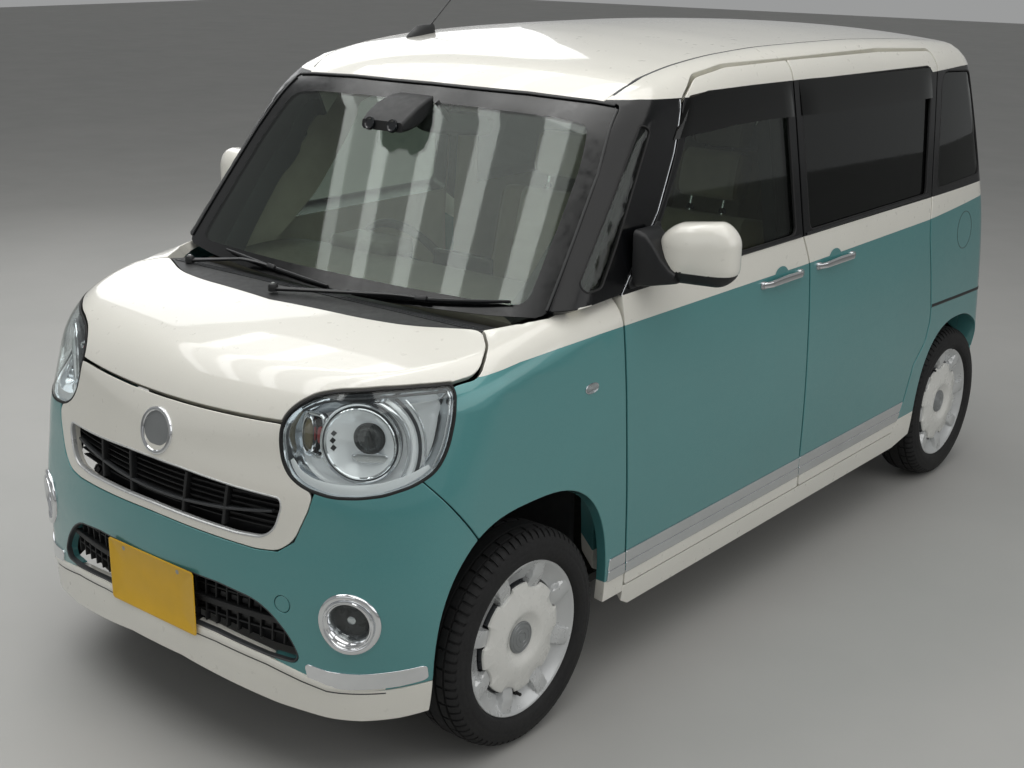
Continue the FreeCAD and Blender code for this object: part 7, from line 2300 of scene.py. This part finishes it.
add(block("glove_box_latch", 335, 385, -562, -552, 838, 858, ["black_plastic"], 4, 2), "body", "trim_plastic")
add(block("column_shroud", -348, -252, -640, -480, 838, 905, ["black_plastic"], 20, 4, (-28, 0, 0), (-300, -560, 880)), "body", "trim_plastic")
add(block("gear_shift_gate", -60, 60, -560, -535, 700, 772, ["black_gloss"], 8, 3), "body", "trim_plastic")
add(lathe("gear_knob", [(0.01, 74), (12, 73), (19, 66), (20, 56), (14, 42), (8, 36), (6, 0), (0.01, 0)], (0, -540, 742), (0, 0.82, 0.57), ["black_plastic"], n=32), "body", "black_plastic")

# steering wheel
SWC = np.array([-300.0, -455, 925])
sa = np.array([0, math.cos(math.radians(28)), math.sin(math.radians(28))])
sx_ = np.array([1.0, 0, 0])
su = np.cross(sa, sx_) * -1.0
su = su if su[2] > 0 else -su
path = np.array([SWC + sx_ * 178 * math.cos(t) + su * 178 * math.sin(t) for t in np.linspace(0, 2 * math.pi, 97)[:-1]])
sec = [(13.4 * math.cos(a) * (1.0 - 0.12 * (math.cos(a) > 0.6)), 13.4 * math.sin(a)) for a in np.linspace(0, 2 * math.pi, 17)[:-1]]
ob = sweep("steering_rim", path, sa, sec, ["black_plastic"], closed=True,
           scale=[1.0 + 0.05 * math.cos(4 * t) for t in np.linspace(0, 2 * math.pi, 97)[:-1]])
add(ob, "steering_wheel", "black_plastic", ["steering_wheel"])
for k, a0 in enumerate((math.radians(-52), math.radians(232))):
    pts = [SWC + sx_ * 165.5 * math.cos(a0 + t) + su * 165.5 * math.sin(a0 + t) + sa * 3 for t in np.linspace(-0.34, 0.34, 14)]
    add(sweep("steering_insert_%d" % k, pts, sa, rect(6, 12, 2.4), ["satin_chrome"]), "steering_wheel", "black_plastic")
pad = []
for k_, h_ in ((0.55, -26), (0.92, -22), (1.0, -8), (1.0, 4), (0.93, 14), (0.75, 20), (0.4, 23.5), (0.04, 24)):
    pad.append([SWC + sx_ * 74 * k_ * math.copysign(abs(math.cos(t)) ** 0.8, math.cos(t)) + su * (52 * k_ * math.copysign(abs(math.sin(t)) ** 0.8, math.sin(t)) - 6) + sa * h_
                for t in np.linspace(0, 2 * math.pi, 41)[:-1]])
add(loft("steering_pad", pad, ["black_plastic"], True, None, 50), "steering_wheel", "black_plastic")
add(lathe("steering_badge", [(0.01, 25.2), (10, 25.2), (14, 24.4), (15.2, 22.5), (15.2, 18), (0.01, 18)], SWC - su * 6, sa, ["satin_chrome"], n=40), "steering_wheel", "black_plastic")
for k, (dx, dz, w_) in enumerate(((-1, 0.05, 1.0), (1, 0.05, 1.0), (-0.42, -1, 0.8), (0.42, -1, 0.8))):
    d_ = unit(sx_ * dx + su * dz)
    p0, p1 = SWC + d_ * 52 - sa * 6, SWC + d_ * 170 - sa * 1
    add(sweep("steering_spoke_%d" % k, [p0 + (p1 - p0) * t for t in np.linspace(0, 1, 7)], sa, rect(34 * w_, 13, 5), ["black_satin"], scale=[1.25, 1.1, 0.98, 0.88, 0.82, 0.8, 0.86]), "steering_wheel", "black_plastic")
    if k < 2:
        add(sweep("steering_trim_%d" % k, [p0 + (p1 - p0) * t + sa * 6 for t in np.linspace(0.1, 0.8, 6)], sa, rect(15, 5, 2), ["satin_chrome"]), "steering_wheel", "black_plastic")

# stalks behind the wheel
for s in (-1, 1):
    p0 = SWC - sa * 62 + sx_ * 34 * s
    p1 = SWC - sa * 56 + sx_ * 170 * s + su * 16
    add(sweep("column_stalk_" + ("r" if s < 0 else "l"), [p0 + (p1 - p0) * t for t in np.linspace(0, 1, 9)], sa, rect(15, 10, 4), ["black_plastic"], scale=[0.7, 0.7, 0.7, 0.72, 0.8, 0.95, 1.1, 1.15, 1.0]), "body", "black_plastic")

# room mirror on its stalk, and the blank camera housing beside it
add(oval("room_mirror_shell", (86, -690, 1432), (-0.25, 1, -0.1), 118, 33, [(0.3, -20), (0.75, -17), (0.95, -9), (1.0, 0), (0.99, 4), (0.95, 5)], ["black_plastic"], sq=3.2, n=64), "body", "black_plastic")
add(oval("room_mirror_pane", (85.5, -685, 1431.4), (-0.25, 1, -0.1), 111, 27, [(1.0, -2), (1.0, 1.0), (0.98, 1.6)], ["mirror_glass"], sq=3.2, n=64), "body", "lamp_lens")
add(sweep("room_mirror_stalk", [(86, -704, 1440), (78, -716, 1462), (60, -728, 1488)], (0, 1, 0), ring(8, 12), ["black_plastic"]), "body", "black_plastic")
cam_rings = []
for t, w_, h_ in ((0.0, 150, 26), (0.15, 158, 40), (0.4, 160, 52), (0.7, 150, 46), (1.0, 128, 22)):
    yc_, zc_ = -846 + 150 * t, 1428 + 64 * t
    cam_rings.append([(-30 + a, yc_, zc_ + b) for a, b in rect(w_, h_, 9, (0, 0), 4)])
add(loft("camera_housing", cam_rings, ["black_plastic"], True, None, 45), "body", "black_plastic")
for k, x_ in enumerate((-72, 12)):
    add(lathe("camera_eye_%d" % k, [(0.01, 2), (11, 2), (14, 4.5), (17, 4.5), (18, 2), (18, -4), (0.01, -4)], (x_, -850, 1431), (0, -0.93, 0.36), ["screen_dark"], n=36), "body", "black_plastic")

# sun visors, ceiling lamp and grab rails
for s in (-1, 1):
    add(block("sun_visor_" + ("l" if s > 0 else "r"), s * 305 - 175, s * 305 + 175, -590, -430, 1512, 1526, ["headliner"], 6, 3, (3, 0, 0)), "body", "trim_plastic")
    add(sweep("grab_rail_" + ("l" if s > 0 else "r"), [(s * 566, 170, 1502), (s * 552, 190, 1484), (s * 548, 240, 1478), (s * 548, 320, 1478), (s * 552, 370, 1484), (s * 566, 390, 1502)], (s * 0.6, 0, 1), rect(16, 13, 5), ["trim_beige"]), "body", "trim_plastic")
add(block("ceiling_lamp", -62, 62, -330, -250, 1556, 1572, ["lamp_white"], 8, 3), "body", "trim_plastic")

# carpet with raised mats, tunnel cover, boot floor
def mat_grid(name, x0, x1, y0, y1, z, h, mats, amp=1.5, n=26, slot_="trim_plastic"):
    V, F_ = [], []
    for i in range(n + 1):
        for j in range(n + 1):
            x, y = x0 + (x1 - x0) * i / n, y0 + (y1 - y0) * j / n
            e = min(i, n - i, 1) * min(j, n - j, 1)
            V.append((x, y, z + (h + amp * math.sin(x * 0.05) * math.cos(y * 0.043)) * (1 if e else 0.35)))
    m = (n + 1) ** 2
    V += [(v[0], v[1], z) for v in V[:m]]
    for i in range(n):
        for j in range(n):
            a = i * (n + 1) + j
            b = a + n + 1
            F_ += [(a, b, b + 1, a + 1), (m + a, m + a + 1, m + b + 1, m + b)]
    rim_ = [i * (n + 1) for i in range(n + 1)] + [n * (n + 1) + j for j in range(1, n + 1)] + [i * (n + 1) + n for i in range(n - 1, -1, -1)] + list(range(n - 1, 0, -1))
    for k in range(len(rim_)):
        a, b = rim_[k], rim_[(k + 1) % len(rim_)]
        F_.append((a, m + a, m + b, b))
    ob = new_mesh(name, V, F_, mats)
    add(fix(ob, 50), "body", slot_)


for s in (-1, 1):
    t_ = "l" if s > 0 else "r"
    mat_grid("floor_carpet_" + t_, min(s * 94, s * 590), max(s * 94, s * 590), -800, 500, 262, 8, ["carpet"])
    mat_grid("rear_carpet_" + t_, min(s * 4, s * 590), max(s * 4, s * 590), 404, 500, 262, 8, ["carpet"])
    mat_grid("floor_mat_" + t_, min(s * 130, s * 540), max(s * 130, s * 540), -690, -340, 271, 7, ["carpet"], 0.8)
mat_grid("boot_carpet", -530, 530, 1080, 1540, 430, 8, ["carpet"])
add(block("tunnel_cover", -93, 93, -800, 398, 300, 334, ["carpet"], 8, 3), "body", "trim_plastic")

# door inner trims: arm rest, pull cup, speaker ring and window-switch panel
for bd, s in (("left_front_door", 1), ("right_front_door", -1)):
    t_ = "l" if s > 0 else "r"
    add(block("door_arm_rest_" + t_, min(s * 610, s * 668), max(s * 610, s * 668), -480, 20, 640, 690, ["trim_beige"], 16, 4), bd, "trim_plastic")
    add(block("door_switches_" + t_, min(s * 618, s * 660), max(s * 618, s * 660), -430, -300, 689, 695, ["black_gloss"], 3, 2), bd, "trim_plastic")
    add(lathe("door_speaker_" + t_, [(0.01, 5), (50, 5), (62, 6), (68, 4), (72, 0), (0.01, 0)], (s * 668, -560, 440), (-s, 0, 0), ["black_plastic"], n=48), bd, "trim_plastic")
    add(oval("door_pull_" + t_, (s * 668, -610, 880), (-s, 0, 0), 56, 22, [(1.0, -2), (1.0, 4), (0.85, 5), (0.8, -1), (0.1, -2)], ["satin_chrome"], sq=3.0), bd, "trim_plastic")
    add(block("slide_arm_rest_" + t_, min(s * 622, s * 664), max(s * 622, s * 664), 300, 640, 670, 715, ["trim_beige"], 14, 4), "body", "trim_plastic")


# --------------------------------------------------- materials of kept CAD nodes
KEEP = {"front_suspension": "black_steel", "rear_axle": "black_steel", "exhaust": "steel", "floor_pan": "underbody",
        "front_structure": "underbody", "engine_block": "cast", "knuckle_left": "black_steel", "knuckle_right": "black_steel",
        "cowl_panel": "black_plastic", "hood": "white",
        "windscreen": "glass_screen"}
for nm, o in frame["nodes"].items():
    if nm in KEEP and hasattr(o, "material_slots"):
        if not len(o.data.materials):
            o.data.materials.append(MATS[KEEP[nm]])
        for sl in o.material_slots:
            sl.link = "OBJECT"
            sl.material = MATS[KEEP[nm]]

# --------------------------------------------------------- floor, light, camera
t = NT("floor_pale")
p_ = t.n("ShaderNodeBsdfPrincipled")
t.l(t.ramp(t.noise(0.9, 4.0, 0.6), hexc("AEAEAB"), hexc("B5B4B1")), p_.inputs["Base Color"])
t.l(t.rng(t.noise(3.0, 4.0), 0.5, 0.62), p_.inputs["Roughness"])
t.l(p_.outputs[0], t.out.inputs[0])
MATS["floor_pale"] = t.m
me = bpy.data.meshes.new("studio_floor")
V, F_ = [], []
N_ = 30
for i in range(N_ + 1):
    for j in range(N_ + 1):
        V.append((-30 + 60 * i / N_, -30 + 60 * j / N_, -0.001))
for i in range(N_):
    for j in range(N_):
        a = i * (N_ + 1) + j
        F_.append((a, a + N_ + 1, a + N_ + 2, a + 1))
me.from_pydata(V, [], F_)
me.materials.append(MATS["floor_pale"])
floor = bpy.data.objects.new("studio_floor", me)
bpy.context.scene.collection.objects.link(floor)
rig.stage(floor)

world = bpy.data.worlds.new("studio")
bpy.context.scene.world = world
world.use_nodes = True
wt = world.node_tree
wt.nodes.clear()
wo = wt.nodes.new("ShaderNodeOutputWorld")
bg = wt.nodes.new("ShaderNodeBackground")
gr = wt.nodes.new("ShaderNodeTexGradient")
tcw = wt.nodes.new("ShaderNodeTexCoord")
mp = wt.nodes.new("ShaderNodeMapping")
mp.inputs["Rotation"].default_value = (0, math.radians(90), 0)
cr = wt.nodes.new("ShaderNodeValToRGB")
cr.color_ramp.elements[0].position, cr.color_ramp.elements[1].position = 0.0, 1.0
cr.color_ramp.elements[0].color = (0.90, 0.91, 0.91, 1)
cr.color_ramp.elements[1].color = (0.60, 0.61, 0.61, 1)
el = cr.color_ramp.elements.new(0.5)
el.color = (0.68, 0.69, 0.69, 1)
wt.links.new(tcw.outputs["Generated"], mp.inputs[0])
wt.links.new(mp.outputs[0], gr.inputs[0])
wt.links.new(gr.outputs[0], cr.inputs[0])
wt.links.new(cr.outputs[0], bg.inputs[0])
bg.inputs[1].default_value = 0.36
wt.links.new(bg.outputs[0], wo.inputs[0])


def area(name, loc, aim, size, power, color=(1, 1, 1)):
    ld = bpy.data.lights.new(name, "AREA")
    ld.shape = "RECTANGLE"
    ld.size, ld.size_y = size
    ld.energy = power
    ld.color = color
    lo = bpy.data.objects.new(name, ld)
    lo.location = loc
    d = Vector(aim) - Vector(loc)
    lo.rotation_euler = d.to_track_quat("-Z", "Y").to_euler() if abs(d.x) + abs(d.y) > 1e-6 else (0.0, 0.0, math.radians(90))
    bpy.context.scene.collection.objects.link(lo)
    return lo


area("key_top", (1.2, -0.8, 4.6), (0.2, 0, 0.6), (4.5, 6.0), 120, (1.0, 0.99, 0.97))
area("side_left", (5.2, 0.4, 2.6), (0.4, 0.1, 0.7), (5.5, 2.2), 42, (1.0, 1.0, 1.0))
area("front_fill", (0.6, -6.0, 2.6), (0.0, -0.8, 0.8), (4.0, 2.0), 15, (1.0, 1.0, 1.0))
area("back_right", (-4.5, 2.5, 3.2), (-0.3, 0.2, 0.9), (4.0, 2.4), 40, (0.98, 0.99, 1.0))
# a pale ceiling panel and rows of long soft tubes below it
area("ceiling", (-2.7, -1.4, 4.8), (-2.7, -1.4, 0.0), (5.6, 3.6), 75, (1.0, 1.0, 0.98))
for k in range(5):
    area("tube_%d" % k, (-1.1 - 0.82 * k, -1.4, 4.6), (-1.1 - 0.82 * k, -1.4, 0.0), (5.2, 0.28), 11, (1.0, 1.0, 0.99))

cam = bpy.data.cameras.new("camera")
co = bpy.data.objects.new("camera", cam)
bpy.context.scene.collection.objects.link(co)
cam.sensor_width = 36.0
cam.sensor_fit = "HORIZONTAL"
cam.lens = 1430.33 * 36.0 / 1024.0
cam.clip_start, cam.clip_end = 0.05, 200.0
A_, E_, R_ = math.radians(39.43), math.radians(17.60), math.radians(0.62)
back = Vector((math.sin(A_) * math.cos(E_), -math.cos(A_) * math.cos(E_), math.sin(E_)))
rt = Vector((math.cos(A_), math.sin(A_), 0))
up = back.cross(rt)
rt2 = rt * math.cos(R_) + up * math.sin(R_)
up2 = -rt * math.sin(R_) + up * math.cos(R_)
M_ = Matrix((rt2, up2, back)).transposed().to_4x4()
M_.translation = Vector((2.68298, -3.58778, 1.92782))
co.matrix_world = M_
bpy.context.scene.camera = co
bpy.context.scene.view_settings.view_transform = "Standard"

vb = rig.bounds()
json.dump({"cad": [list(map(float, v)) for v in CAD_BOX], "visual": [list(map(float, v)) for v in vb]},
          open("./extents.json", "w"))
